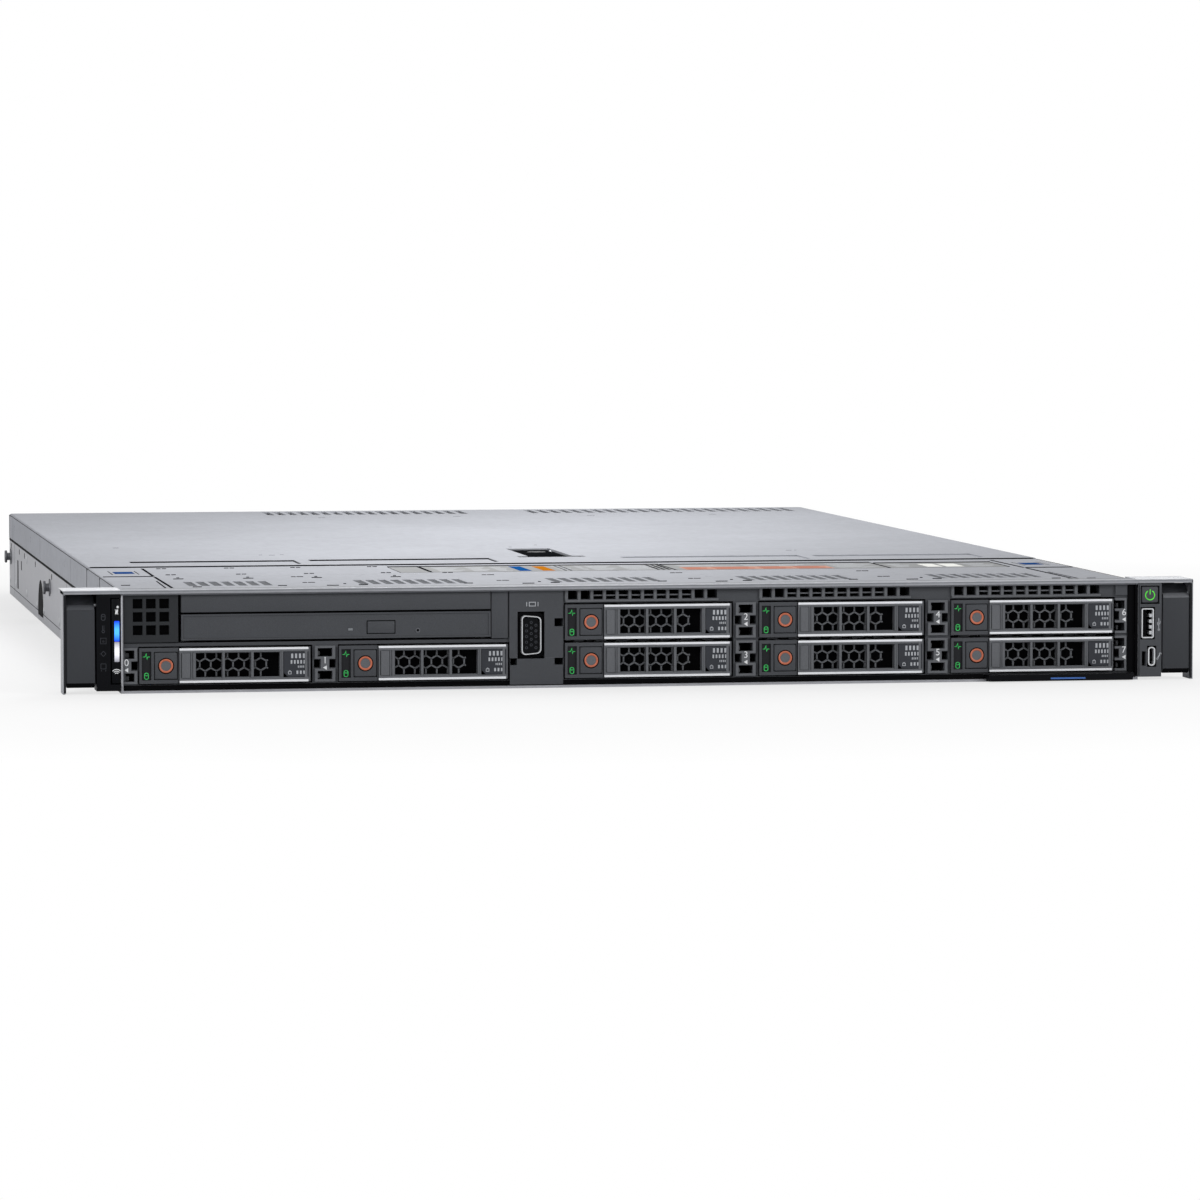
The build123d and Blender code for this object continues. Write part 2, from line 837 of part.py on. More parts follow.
def display_outline(margin):
    """The D-shaped outline of a display port, grown by a margin, drawn in X and Z."""
    left = display_port_x() - margin
    right = display_port_x() + display_port_width + margin
    low = display_port_low - margin
    high = display_port_low + display_port_height + margin
    slant = 1.4
    corners = [(left, low), (right, low + slant), (right, high - slant), (left, high), (left, low)]
    return fillet(make_face(Polyline(corners)).vertices(), 1.6)


def along_y(face, y):
    """A sketch in X and Z, pulled into a solid between two depths."""
    return extrude(Plane.XZ.offset(-y[1]) * face, y[1] - y[0])


def display_port():
    """Metal shell and pierced plastic core of the front display port."""
    shell = along_y(display_outline(0), (0.8, 10.0)) - along_y(display_outline(-0.5), (0.0, 11.0))
    core = along_y(display_outline(-0.5), (2.2, 10.0))
    middle_x = display_port_x() + display_port_width / 2
    middle_z = display_port_low + display_port_height / 2
    for column in range(3):
        for row in range(5):
            z = middle_z + (row - 2) * 2.3 + (0.55 if column % 2 else -0.55)
            core -= rod_y(0.45, middle_x + (column - 1) * 2.0, (1.0, 5.0), z)
    return [shell, core]


# Front bezel and the pieces around it


def bay_opening(column):
    """X range of a drive column's opening."""
    return column_x[column] - bay_play, column_x[column] + carrier_width + bay_play


def bay_top(column):
    """Height of the top of a drive column's opening."""
    rows = 2 if column in tall_columns else 1
    return row_z[rows - 1] + carrier_height + bay_roof_gap


def drive_bay_bezel():
    """Plastic frame around the drives, with vent cells above them and windows between them."""
    side = inner_half - fit
    through = (bezel_front - 1.0, bezel_back + 1.0)
    bezel = block((-side, side), (bezel_front, bezel_back), (bezel_bottom, bezel_top))
    upper_right = column_x[1] + carrier_width + bay_play - fit
    bezel -= block((-side - 1.0, upper_right), through, (upper_bay_floor, bezel_top + 1.0))
    for column in range(len(column_x)):
        bezel -= block(bay_opening(column), through, (row_z[0] - fit - 0.2, bay_top(column)))
    for column in tall_columns:
        first = column_x[column] + cell_start
        for cell in range(cell_count):
            x = first + cell * cell_pitch
            bezel -= block((x, x + cell_width), through, (cell_low, bezel_top + 1.0))
    for left, rows in separators():
        for row in range(rows):
            for low in (row_z[row] + notch_lift, row_z[row] + carrier_height - notch_lift - notch_height):
                bezel -= block((left, left + notch_width), through, (low, low + notch_height))
    bezel -= along_y(display_outline(fit), through)
    tag_x = (tag_left() - fit, tag_left() + tag_width + fit)
    return bezel - block(tag_x, through, (bezel_bottom - 1.0, tag_top + fit + 0.1))


def separators():
    """Left edge of the windows in each bezel post, and how many drive rows stand beside it."""
    posts = []
    for column in (0, 2, 3):
        right = column_x[column] + carrier_width
        posts.append((right + (column_gap - notch_width) / 2, 2 if column in tall_columns else 1))
    return posts


def drive_cage():
    """Sheet steel cage: floor, shelf, roof and uprights, with ledges for the optical drive."""
    y = (bezel_back + fit, disk_front_y + disk_length - 1.0)
    side = upper_wall - fit - 0.6
    floor_z = (row_z[0] - fit - cage_sheet, row_z[0] - fit)
    shelf_z = (row_z[1] - fit - cage_sheet, row_z[1] - fit)
    roof_low = row_z[1] + carrier_height + fit
    cage = block((-side, side), y, floor_z)
    cage += block((-side, side), y, shelf_z)
    right_left = bay_opening(2)[0] - cage_sheet
    cage += block((right_left, side), y, (roof_low, roof_low + cage_sheet))
    for column in range(len(column_x)):
        low, high = bay_opening(column)
        top = roof_low + cage_sheet if column in tall_columns else shelf_z[1]
        cage += block((low - cage_sheet, low), y, (floor_z[0], top))
        cage += block((high, high + cage_sheet), y, (floor_z[0], top))
    ledge_top = optical_low() - fit
    for left in (optical_left(), optical_left() + optical_width - 4.0):
        cage += block((left, left + 4.0), y, (shelf_z[0], ledge_top))
    for x in (-side + 6.0, column_x[2], tag_left() - 8.0):
        cage += block((x, x + 4.0), y, (steel, floor_z[1]))
    return cage


def optical_face_left():
    """Left edge of the optical drive's face."""
    return -inner_half + fit + vent_width + fit + 0.9


def optical_left():
    """Left edge of the optical drive's case."""
    return optical_face_left() + (optical_face_width - optical_width) / 2


def optical_low():
    """Underside of the optical drive's case."""
    return (optical_face_low + optical_face_high - optical_height) / 2


def front_fillers():
    """Vent panel with nine square holes, the blank strip, and the spacer to their right."""
    left = -inner_half + fit
    y = (bezel_front, bezel_front + filler_thick)
    z = (upper_bay_floor + fit, bezel_top)
    vent = block((left, left + vent_width), y, z)
    vent += block((left, left + 1.2), (bezel_front, bezel_back), z)
    first_x = left + (vent_width - vent_pitch * (vent_count - 1)) / 2
    first_z = (z[0] + z[1]) / 2 - vent_pitch * (vent_count - 1) / 2 + 0.6
    for column in range(vent_count):
        for row in range(vent_count):
            x = first_x + column * vent_pitch
            height = first_z + row * vent_pitch
            half = vent_hole / 2
            vent -= block((x - half, x + half), (y[0] - 1.0, y[1] + 1.0), (height - half, height + half))
    face_left = optical_face_left()
    face_right = face_left + optical_face_width
    blank = block((face_left, face_right), y, (blank_low, bezel_top))
    arm_end = optical_case_y + 20.0
    for x in (face_left + 6.0, face_right - 6.0 - blank_arm):
        blank += block((x, x + blank_arm), (y[0] + 1.0, arm_end), (blank_low, blank_low + 2.0))
        foot_z = (optical_low() + optical_height + fit, blank_low + 2.0)
        blank += block((x, x + blank_arm), (bezel_front + optical_face_thick + fit, arm_end), foot_z)
    spacer_left = face_right + fit
    spacer_right = column_x[1] + carrier_width + bay_play - 2 * fit
    spacer = block((spacer_left, spacer_right), y, z)
    spacer += block((spacer_right - 1.2, spacer_right), (bezel_front, bezel_back), z)
    return [vent, blank, spacer]


def optical_drive():
    """Slim case of the optical drive: a flat sleeve, closed at the rear."""
    x = (optical_left(), optical_left() + optical_width)
    y = (optical_case_y, optical_case_y + optical_length)
    z = (optical_low(), optical_low() + optical_height)
    inside_x = (x[0] + optical_skin, x[1] - optical_skin)
    inside_z = (z[0] + optical_skin, z[1] - optical_skin)
    return block(x, y, z) - block(inside_x, (y[0] - 1.0, y[1] - optical_skin), inside_z)


def optical_tray():
    """Disc tray with its front face, a round disc recess and the raised hub."""
    face_x = (optical_face_left(), optical_face_left() + optical_face_width)
    face_y = (bezel_front, bezel_front + optical_face_thick)
    tray = block(face_x, face_y, (optical_face_low, optical_face_high))
    side = optical_skin + fit
    x = (optical_left() + side, optical_left() + optical_width - side)
    y = (face_y[1], optical_case_y + optical_length - 2.0)
    low = optical_low() + optical_skin + fit
    top = low + tray_height
    tray += block(x, y, (low, top))
    middle = ((x[0] + x[1]) / 2, face_y[1] + disc_recess_diameter / 2 + 1.0)
    tray -= rod_z(disc_recess_diameter / 2, *middle, (top - disc_recess_depth, top + 1.0))
    tray += rod_z(hub_radius, *middle, (top - disc_recess_depth, top - disc_recess_depth + hub_height))
    pocket_x = (eject_x() - fit, eject_x() + eject_width + fit)
    pocket_z = (optical_face_low + eject_low - fit, optical_face_low + eject_low + eject_height + fit)
    return tray - block(pocket_x, (bezel_front - 1.0, bezel_front + eject_deep + 1.2), pocket_z)


def eject_x():
    """Left edge of the optical drive's button."""
    return optical_face_left() + eject_left


def eject_button():
    """Small oblong button in the optical tray's face."""
    z_low = optical_face_low + eject_low
    x = (eject_x(), eject_x() + eject_width)
    return block(x, (bezel_front - 0.1, bezel_front + eject_deep), (z_low, z_low + eject_height))


def tag_left():
    """Left edge of the slide-out tag."""
    return inner_half - tag_right_inset - tag_width


def information_tag():
    """Flat tag that slides out below the right-hand drives, with a lip to pull it by."""
    left = tag_left()
    lip_y = (tag_front_y, tag_front_y + tag_lip_depth)
    tag = block((left, left + tag_width), (tag_front_y + 1.0, tag_front_y + tag_length), (tag_low, tag_top))
    lip = block((left, left + tag_width), lip_y, (tag_low - tag_lip_drop, tag_top + tag_lip_proud))
    return tag + chamfer(lip.edges().filter_by(Axis.Z).group_by(Axis.Y)[0], 1.5)


# Drives


def drive_carrier():
    """One drive in its carrier: light window, button pocket, vented wall, side rails, lugs, and the disk."""
    height = carrier_height
    wall_y = (wall_back_y - carrier_wall, wall_back_y)
    carrier = block((0, block_width), (carrier_face_y, wall_back_y), (0, height))
    carrier += block((0, carrier_width), wall_y, (0, height))
    light_x = (light_left, light_left + light_width)
    light_z = (light_low, light_low + light_height)
    carrier -= block(light_x, (0, carrier_face_y + light_recess), light_z)
    pocket_x = (release_left - fit, release_left + release_width + fit)
    pocket_z = (release_low - fit, release_low + release_height + fit)
    carrier -= block(pocket_x, (0, release_front + release_deep + release_travel + 0.2), pocket_z)
    for x in window_ranges():
        carrier -= block(x, (wall_y[0] - 1.0, wall_y[1] + 1.0), (window_low, window_high))
    rail_y = (wall_y[0], disk_front_y + disk_length)
    carrier += block((0, rail), rail_y, (0, height))
    carrier += block((carrier_width - rail, carrier_width), rail_y, (0, height))
    pivot_y = handle_front + handle_end_radius
    for low in (lug_inset, height - lug_inset - lug_thick):
        z = (low, low + lug_thick)
        lug = rod_z(lug_radius, handle_pivot_u, pivot_y, z)
        lug += block((handle_pivot_u - lug_radius, handle_pivot_u + lug_arm), (pivot_y, wall_y[0] + 0.4), z)
        through = (low - 1.0, low + lug_thick + 1.0)
        carrier += lug - rod_z(pivot_pin_radius + pin_play, handle_pivot_u, pivot_y, through)
    disk_x = (rail, rail + disk_width)
    disk = block(disk_x, (disk_front_y, disk_front_y + disk_length), (disk_play, disk_play + disk_height))
    return [carrier, disk]


def window_ranges():
    """X range of each window in a drive handle."""
    width = (window_right - window_left - window_bar * (window_count - 1)) / window_count
    lefts = [window_left + i * (width + window_bar) for i in range(window_count)]
    return [(left, left + width) for left in lefts]


def drive_handle():
    """Channel-shaped handle of one drive, round at its pivot end, with its pin."""
    left = block_width + fit
    depth = 2 * handle_end_radius
    pivot_y = handle_front + handle_end_radius
    z = (handle_play, carrier_height - handle_play)
    handle = block((left, handle_pivot_u), (handle_front, handle_front + depth), z)
    handle += rod_z(handle_end_radius, handle_pivot_u, pivot_y, z)
    inside_z = (z[0] + handle_edge, z[1] - handle_edge)
    inside_y = (handle_front + handle_plate, handle_front + depth + 1.0)
    inside = block((left + handle_plate, handle_pivot_u), inside_y, inside_z)
    inside += rod_z(handle_end_radius - handle_plate, handle_pivot_u, pivot_y, inside_z)
    reach = handle_pivot_u + handle_end_radius + 1.0
    inside += block((handle_pivot_u, reach), (pivot_y, handle_front + depth + 1.0), inside_z)
    handle -= inside
    for x in window_ranges():
        handle -= block(x, (handle_front - 1.0, handle_front + handle_plate + 1.0), (window_low, window_high))
    pin_z = (z[0] + handle_edge / 2, z[1] - handle_edge / 2)
    return handle + rod_z(pivot_pin_radius, handle_pivot_u, pivot_y, pin_z)


def release_button():
    """Square button that frees one drive's handle, with a round recess for its ring."""
    x = (release_left, release_left + release_width)
    z = (release_low, release_low + release_height)
    button = block(x, (release_front, release_front + release_deep), z)
    middle = (release_left + release_width / 2, release_low + release_height / 2)
    return button - rod_y(ring_radius, middle[0], (0, release_front + ring_recess), middle[1])


def at_slot(shape, slot):
    """A drive piece, moved to a numbered slot."""
    column, row = drive_slots[slot]
    place = Pos(column_x[column], 0, row_z[row])
    return [place * item for item in (shape if isinstance(shape, list) else [shape])]


# Inside


def backplane():
    """Upright board behind the drives, with a socket for each disk and air holes."""
    front = disk_front_y + disk_length + backplane_gap
    low_top = row_z[0] + carrier_height
    tall_top = row_z[1] + carrier_height
    side = inner_half - 4.0
    middle = bay_opening(2)[0] - 2.0
    board = block((-side, side), (front, front + board_thick), (steel + 0.2, low_top))
    board += block((middle, side), (front, front + board_thick), (steel + 0.2, tall_top))
    through = (front - 1.0, front + board_thick + 1.0)
    for column in range(len(column_x)):
        right = column_x[column] + carrier_width
        board -= block((right - 20.0, right - 3.0), through, (row_z[0] + 2.0, row_z[0] + 12.0))
    sockets = []
    for column, row in drive_slots:
        x = column_x[column] + 6.0
        z = row_z[row] + 3.0
        y = (front - backplane_gap + fit, front)
        sockets.append(block((x, x + socket_width), y, (z, z + socket_height)))
    return [board] + sockets


def fan_middle(index):
    """Centre of a fan in X and Z."""
    x = fan_middle_x + (index - (fan_count - 1) / 2) * fan_pitch
    return x, steel + fan_floor_gap + fan_size / 2


def fan_frames():
    """Square fan housings with a round bore and a rear hub on struts."""
    frames = []
    half = fan_size / 2
    back = fan_front_y + fan_depth
    for index in range(fan_count):
        x, z = fan_middle(index)
        frame = block((x - half, x + half), (fan_front_y, back), (z - half, z + half))
        frame -= rod_y(fan_bore_radius, x, (fan_front_y - 1.0, back - fan_strut), z)
        ring = Circle(fan_bore_radius) - Circle(rotor_hub_radius)
        across = 2 * fan_bore_radius + 1.0
        ring -= Rectangle(across, fan_strut) + Rectangle(fan_strut, across)
        ring = Pos(x, z) * ring
        frame -= along_y(ring, (back - fan_strut - 0.5, back + 1.0))
        frames.append(frame)
    return frames


def rotor(radius, hub_radius, depth, x, y_back, z):
    """A fan wheel about an axis along Y: a hub with slanted blades, its back at y_back."""
    wheel = Cylinder(hub_radius, depth)
    length = radius - hub_radius + 2.0
    for blade in range(blade_count):
        fin = Rot(blade_angle, 0, 0) * Box(length, blade_thick, depth * 0.95)
        wheel += Rot(0, 0, 360.0 * blade / blade_count) * Pos(hub_radius - 2.0 + length / 2, 0, 0) * fin
    wheel &= Cylinder(radius, depth)
    return Pos(x, y_back - depth / 2, z) * Rot(90, 0, 0) * wheel


def fan_rotor(index):
    """The wheel of one of the four case fans."""
    x, z = fan_middle(index)
    back = fan_front_y + fan_depth - fan_strut - fit
    return rotor(fan_bore_radius - rotor_play, rotor_hub_radius, rotor_depth, x, back, z)


def memory_x():
    """X centre of every memory module, on both sides of the processor."""
    near = heatsink_width / 2 + memory_gap
    offsets = [near + index * memory_pitch for index in range(memory_per_side)]
    return [processor_x - offset for offset in offsets] + [processor_x + offset for offset in offsets]


def mainboard():
    """Circuit board with the processor socket, the memory sockets and a few tall parts."""
    inner, _ = supply_bay_x()
    side = inner_half - board_side_gap
    z = (steel + board_lift, board_top)
    supply_front = rear_y - supply_length - supply_board_gap
    board = block((-side, side), (board_front_y, supply_front), z)
    bay_side = inner + supply_width + fit + bay_wall + 1.0
    board += block((bay_side, side), (supply_front - 1.0, rear_y - steel - fit), z)
    top = board_top
    pieces = [board]
    middle_y = processor_front_y + socket_length / 2
    half = socket_side / 2
    socket_y = (middle_y - socket_length / 2, middle_y + socket_length / 2)
    pieces.append(block((processor_x - half, processor_x + half), socket_y, (top, top + socket_rise)))
    for x in memory_x():
        socket_x = (x - memory_socket_width / 2, x + memory_socket_width / 2)
        socket_y = (memory_front_y - 4.0, memory_front_y + memory_length + 4.0)
        slot_x = (x - memory_thick / 2, x + memory_thick / 2)
        slot_y = (memory_front_y, memory_front_y + memory_length)
        socket = block(socket_x, socket_y, (top, top + memory_socket_height))
        socket -= block(slot_x, slot_y, (memory_low, top + memory_socket_height + 1.0))
        pieces.append(socket)
    for x, y, width, length, height in board_parts.values():
        pieces.append(block((x, x + width), (y, y + length), (top, top + height)))
    return pieces


def memory_modules():
    """Sixteen memory modules, standing in their sockets along the air flow."""
    y = (memory_front_y, memory_front_y + memory_length)
    z = (memory_low, roof_under - memory_headroom)
    half = memory_thick / 2
    return [block((x - half, x + half), y, z) for x in memory_x()]


def cpu_heatsink():
    """Finned cooler on the processor socket."""
    low = board_top + socket_rise
    half = heatsink_width / 2
    middle_y = processor_front_y + socket_length / 2
    y = (middle_y - heatsink_length / 2, middle_y + heatsink_length / 2)
    cooler = block((processor_x - half, processor_x + half), y, (low, low + heatsink_base))
    step = (heatsink_width - fin_thick) / (fin_count - 1)
    for index in range(fin_count):
        x = processor_x - half + index * step
        cooler += block((x, x + fin_thick), y, (low + heatsink_base - 0.1, low + heatsink_height))
    return cooler


# Power supply and the rear


def supply_face_y():
    """Depth of the power supply's rear face."""
    return rear_y + supply_face_proud


def supply_fan_x():
    """X centre of the power supply's fan."""
    return supply_bay_x()[0] + supply_width - supply_fan_right


def supply_middle_z():
    """Height of the middle of the power supply."""
    return (supply_low + supply_top) / 2


def power_supply():
    """Power supply case with its fan guard, inlet and fixed handle, and the parts on its board."""
    left, _ = supply_bay_x()
    right = left + supply_width
    z = (supply_low, supply_top)
    face = supply_face_y()
    front = face - supply_length
    case = block((left, right), (front, face), z)
    inner_y = (front + supply_skin, face - supply_guard_thick)
    inner_z = (z[0] + supply_skin, z[1] - supply_skin)
    case -= block((left + supply_skin, right - supply_skin), inner_y, inner_z)
    fan_x, fan_z = supply_fan_x(), supply_middle_z()
    guard = Pos(fan_x, fan_z) * ring_guard()
    case -= along_y(guard, (face - supply_guard_thick - 0.5, face + 1.0))
    hub_y = (face - supply_guard_thick - guard_hub_depth, face - supply_guard_thick + 0.5)
    case += rod_y(guard_hub_radius, fan_x, hub_y, fan_z)
    case -= front_grille(left, right, z, front)

    inlet_x = (left + inlet_left, left + inlet_left + inlet_width)
    inlet_z = (inlet_low, inlet_low + inlet_height)
    case += block(inlet_x, (face - inlet_deep, face + 1.0), inlet_z)
    socket_x = (inlet_x[0] + inlet_wall, inlet_x[1] - inlet_wall)
    socket_z = (inlet_z[0] + inlet_wall, inlet_z[1] - inlet_wall)
    case -= block(socket_x, (face - inlet_deep + inlet_wall, face + 2.0), socket_z)
    pin_y = (face - inlet_deep + inlet_wall - 0.5, face - 2.5)
    pin_x = (socket_x[0] + socket_x[1]) / 2 - inlet_pin_offset
    middle_z = (socket_z[0] + socket_z[1]) / 2
    for step in (-1, 1, 0):
        pin_z = middle_z + step * inlet_pin_pitch
        half_x, half_z = inlet_pin_width / 2, inlet_pin_height / 2
        case += block((pin_x - half_x, pin_x + half_x), pin_y, (pin_z - half_z, pin_z + half_z))

    bar_x = (left + handle_left, left + handle_left + handle_width)
    top = z[1]
    handle = block(bar_x, (face - 0.2, handle_end_y), (handle_low, top))
    grip_z = (handle_low + handle_post, top - handle_post)
    handle -= block((bar_x[0] - 1.0, bar_x[1] + 1.0), (face, handle_end_y - handle_bar), grip_z)
    case += handle
    case += release_ears()

    parts_low = z[0] + supply_skin + board_thick
    board_x = (left + supply_board_inset, right - supply_board_inset)
    board_y = (front + supply_board_inset, face - supply_board_back)
    parts = [block(board_x, board_y, (z[0] + supply_skin, parts_low))]
    for x, y, width, length, height in supply_parts.values():
        part_y = (front + y, front + y + length)
        parts.append(block((left + x, left + x + width), part_y, (parts_low, parts_low + height)))
    return [case] + parts


def ring_guard():
    """The open parts of a round fan guard: three ring gaps, cut by spokes."""
    gaps = Sketch()
    for outside, inside in guard_rings:
        gaps += Circle(outside) - Circle(inside)
    for angle in (45, 135):
        gaps -= Rot(0, 0, angle) * Rectangle(3 * supply_fan_radius, guard_spoke)
    return gaps


def front_grille(left, right, z, front):
    """Cutters for the air slots in the power supply's inner end."""
    y = (front - 1.0, front + supply_skin + 0.5)
    slot_z = (z[0] + grille_margin, z[1] - grille_margin)
    count = int((right - left - 2 * grille_margin + grille_slot) // grille_pitch)
    starts = [left + grille_margin + index * grille_pitch for index in range(count)]
    return [block((x, x + grille_slot), y, slot_z) for x in starts]


def release_pivot():
    """X and Y of the power supply latch's pivot."""
    return supply_bay_x()[0] + release_pivot_left, supply_face_y() + release_pivot_out


def release_ears():
    """Two ears on the power supply's face that hold the release tab's pin."""
    x, y = release_pivot()
    tab_top = release_tab_low + release_tab_height
    ears = []
    for low in (release_tab_low - fit - release_ear, tab_top + fit):
        z = (low, low + release_ear)
        ear = block((x - release_boss_radius, x + release_boss_radius), (supply_face_y() - 0.2, y), z)
        ear += rod_z(release_boss_radius, x, y, z)
        through = (low - 1.0, low + release_ear + 1.0)
        ears.append(ear - rod_z(release_pivot_radius + pin_play, x, y, through))
    return ears


def psu_latch():
    """Tab beside the power supply's handle that is squeezed towards it to free the supply."""
    x, y = release_pivot()
    z = (release_tab_low, release_tab_low + release_tab_height)
    end = supply_face_y() + release_tab_reach
    tab = rod_z(release_boss_radius, x, y, z)
    tab += block((x - release_tab_thick / 2, x + release_tab_thick / 2), (y, end), z)
    tab += block((x - release_hook, x), (end - release_tab_thick, end), z)
    reach = fit + release_ear
    return tab + rod_z(release_pivot_radius, x, y, (z[0] - reach, z[1] + reach))


def psu_fan_rotor():
    """Fan wheel of the power supply."""
    back = supply_face_y() - supply_guard_thick - guard_hub_depth - fit
    radius = supply_fan_radius - rotor_play
    return rotor(radius, supply_hub_radius, supply_rotor_depth, supply_fan_x(), back, supply_middle_z())


def rear_ports():
    """Port shells on the mainboard's rear edge: display, two stacked plugs and two network jacks."""
    left = port_opening_left() + rear_port_inset
    back = rear_y + rear_port_proud
    ports = [rear_display(left, back), rear_stack(left + rear_stack_offset, back)]
    starts = [left + jack_offset + index * jack_pitch for index in range(jack_count)]
    return ports + [network_jack(start, back) for start in starts]


def rear_display(left, back):
    """Flange of the rear display port with its raised plug shell."""
    flange_z = (board_top, board_top + rear_display_height)
    port = block((left, left + rear_display_width), (back - rear_display_deep, back), flange_z)
    plug_x = (left + rear_plug_inset, left + rear_plug_inset + rear_plug_width)
    plug_low = board_top + rear_plug_low
    return port + block(plug_x, (back - 1.0, back + rear_plug_reach), (plug_low, plug_low + rear_plug_height))


def rear_stack(left, back):
    """Two plugs above each other, each an opening with a tongue."""
    x = (left, left + rear_stack_width)
    stack = block(x, (back - rear_stack_deep, back), (board_top, board_top + rear_stack_height))
    opening_x = (x[0] + rear_stack_wall, x[1] - rear_stack_wall)
    tongue_x = (x[0] + 2 * rear_stack_wall, x[1] - 2 * rear_stack_wall)
    inner_y = back - rear_stack_deep + 2 * rear_stack_wall
    for level in rear_stack_levels:
        low = board_top + level
        stack -= block(opening_x, (inner_y, back + 1.0), (low, low + rear_stack_opening))
        tongue_z = (low + rear_tongue_low, low + rear_tongue_low + rear_tongue_height)
        stack += block(tongue_x, (inner_y - 0.5, back - 1.5), tongue_z)
    return stack


def network_jack(left, back):
    """One network jack: a shell with a square mouth."""
    jack = block((left, left + jack_width), (back - jack_deep, back), (board_top, board_top + jack_height))
    mouth_x = (left + jack_wall, left + jack_width - jack_wall)
    mouth_z = (board_top + jack_floor, board_top + jack_floor + jack_mouth_height)
    return jack - block(mouth_x, (back - jack_deep + 2.0, back + 1.0), mouth_z)


def rear_fillers():
    """Blank plate of the empty power bay, and the two expansion slot covers."""
    _, outer = supply_bay_x()
    z = (supply_low, supply_top)
    blank = block((outer, outer + supply_width), (rear_y - steel - blank_depth, rear_y + blank_skin), z)
    hollow_x = (outer + blank_skin, outer + supply_width - blank_skin)
    blank -= block(hollow_x, (rear_y - 2 * blank_depth, rear_y), (z[0] + blank_skin, z[1] - blank_skin))
    covers = [blank]
    for index in range(2):
        left = slot_cover_x(index)
        x = (left - slot_cover_lap, left + slot_cover_width + slot_cover_lap)
        top = slot_cover_low + slot_cover_height
        lap_z = (slot_cover_low - slot_cover_lap, top + slot_cover_lap)
        cover = block(x, (rear_y - steel - slot_cover_thick, rear_y - steel), lap_z)
        inset = (left + slot_cover_play, left + slot_cover_width - slot_cover_play)
        inset_z = (slot_cover_low + slot_cover_play, top - slot_cover_play)
        cover += block(inset, (rear_y - steel - 0.2, rear_y - 0.2), inset_z)
        covers.append(cover)
    return covers


def all_nodes():
    """Every node's name and its shape or shapes, in the front-based frame."""
    nodes = {
        "chassis_base": chassis_base(),
        "rail_studs": rail_studs(),
        "front_top_panel": front_top_panel(),
        "backplane_cover": backplane_cover(),
        "top_cover": top_cover(),
        "cover_latch": cover_latch(),
        "rack_ears": [rack_ear(), other_side(rack_ear())],
        "left_ear_latch": ear_latch(),
        "right_ear_latch": other_side(ear_latch()),
        "captive_screws": [captive_screw(), other_side(captive_screw())],
        "status_panel": status_panel(),
        "id_button": id_button(),
        "control_panel": control_panel(),
        "power_button": power_button(),
        "front_ports": front_ports(),
        "drive_bay_bezel": drive_bay_bezel(),
        "drive_cage": drive_cage(),
        "front_fillers": front_fillers(),
        "optical_drive": optical_drive(),
        "optical_tray": optical_tray(),
        "eject_button": eject_button(),
        "information_tag": information_tag(),
        "backplane": backplane(),
        "mainboard": mainboard(),
        "memory_modules": memory_modules(),
        "cpu_heatsink": cpu_heatsink(),
        "fan_frames": fan_frames(),
        "power_supply": power_supply(),
        "psu_latch": psu_latch(),
        "psu_fan_rotor": psu_fan_rotor(),
        "rear_ports": rear_ports(),
        "rear_fillers": rear_fillers(),
    }
    for index in range(fan_count):
        nodes[f"fan_rotor_{index + 1}"] = fan_rotor(index)
    carrier, handle, button = drive_carrier(), drive_handle(), release_button()
    for slot in range(len(drive_slots)):
        nodes[f"drive_{slot}_carrier"] = at_slot(carrier, slot)
        nodes[f"drive_{slot}_handle"] = at_slot(handle, slot)
        nodes[f"drive_{slot}_button"] = at_slot(button, slot)
    return nodes


os.makedirs("parts", exist_ok=True)
for name, shape in all_nodes().items():
    placed = [Pos(0, frame_shift_y, 0) * solid for solid in solids_of(shape)]
    export_step(placed[0] if len(placed) == 1 else Compound(placed), f"parts/{name}.step")
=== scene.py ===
import bpy
import numpy as np
from mathutils import Euler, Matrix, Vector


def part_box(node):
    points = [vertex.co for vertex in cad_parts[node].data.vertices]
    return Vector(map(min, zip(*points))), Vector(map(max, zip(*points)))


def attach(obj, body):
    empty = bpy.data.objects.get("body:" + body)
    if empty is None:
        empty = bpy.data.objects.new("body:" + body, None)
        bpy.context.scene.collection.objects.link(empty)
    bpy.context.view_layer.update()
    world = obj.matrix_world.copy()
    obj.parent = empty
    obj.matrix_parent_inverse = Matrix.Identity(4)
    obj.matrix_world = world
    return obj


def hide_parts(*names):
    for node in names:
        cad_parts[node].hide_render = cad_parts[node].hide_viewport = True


bl_info = {
    "name": "Rack server pieces",
    "version": (1, 0, 0),
    "blender": (4, 5, 0),
    "location": "View3D > Sidebar > Rack server",
    "description": "Builds the pieces and finishes of a flat rack server around its packed frame",
    "category": "Add Mesh",
}

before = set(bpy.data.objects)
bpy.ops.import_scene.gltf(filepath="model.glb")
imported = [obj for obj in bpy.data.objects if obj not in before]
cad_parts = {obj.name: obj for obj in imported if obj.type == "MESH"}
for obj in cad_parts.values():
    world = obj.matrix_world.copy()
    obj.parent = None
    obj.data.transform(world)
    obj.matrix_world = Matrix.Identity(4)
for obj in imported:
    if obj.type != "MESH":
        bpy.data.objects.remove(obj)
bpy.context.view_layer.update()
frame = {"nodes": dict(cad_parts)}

MM = 0.001
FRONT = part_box("rack_ears")[0].y
DRIVES = range(8)
TURN = 2 * np.pi
WALL, BEND = 217.0, 215.6


# Reading the frame


def span(node):
    """Lowest and highest corner of a node in millimetres, with Y from the front plane of the ears."""
    low, high = (np.array(corner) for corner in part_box(node))
    shift = np.array([0, FRONT, 0])
    return (low - shift) / MM, (high - shift) / MM


def chosen(name):
    """A size from the panel's settings, in millimetres."""
    return round(getattr(bpy.context.scene.rack_server_sizes, name) / MM, 4)


# Shapes


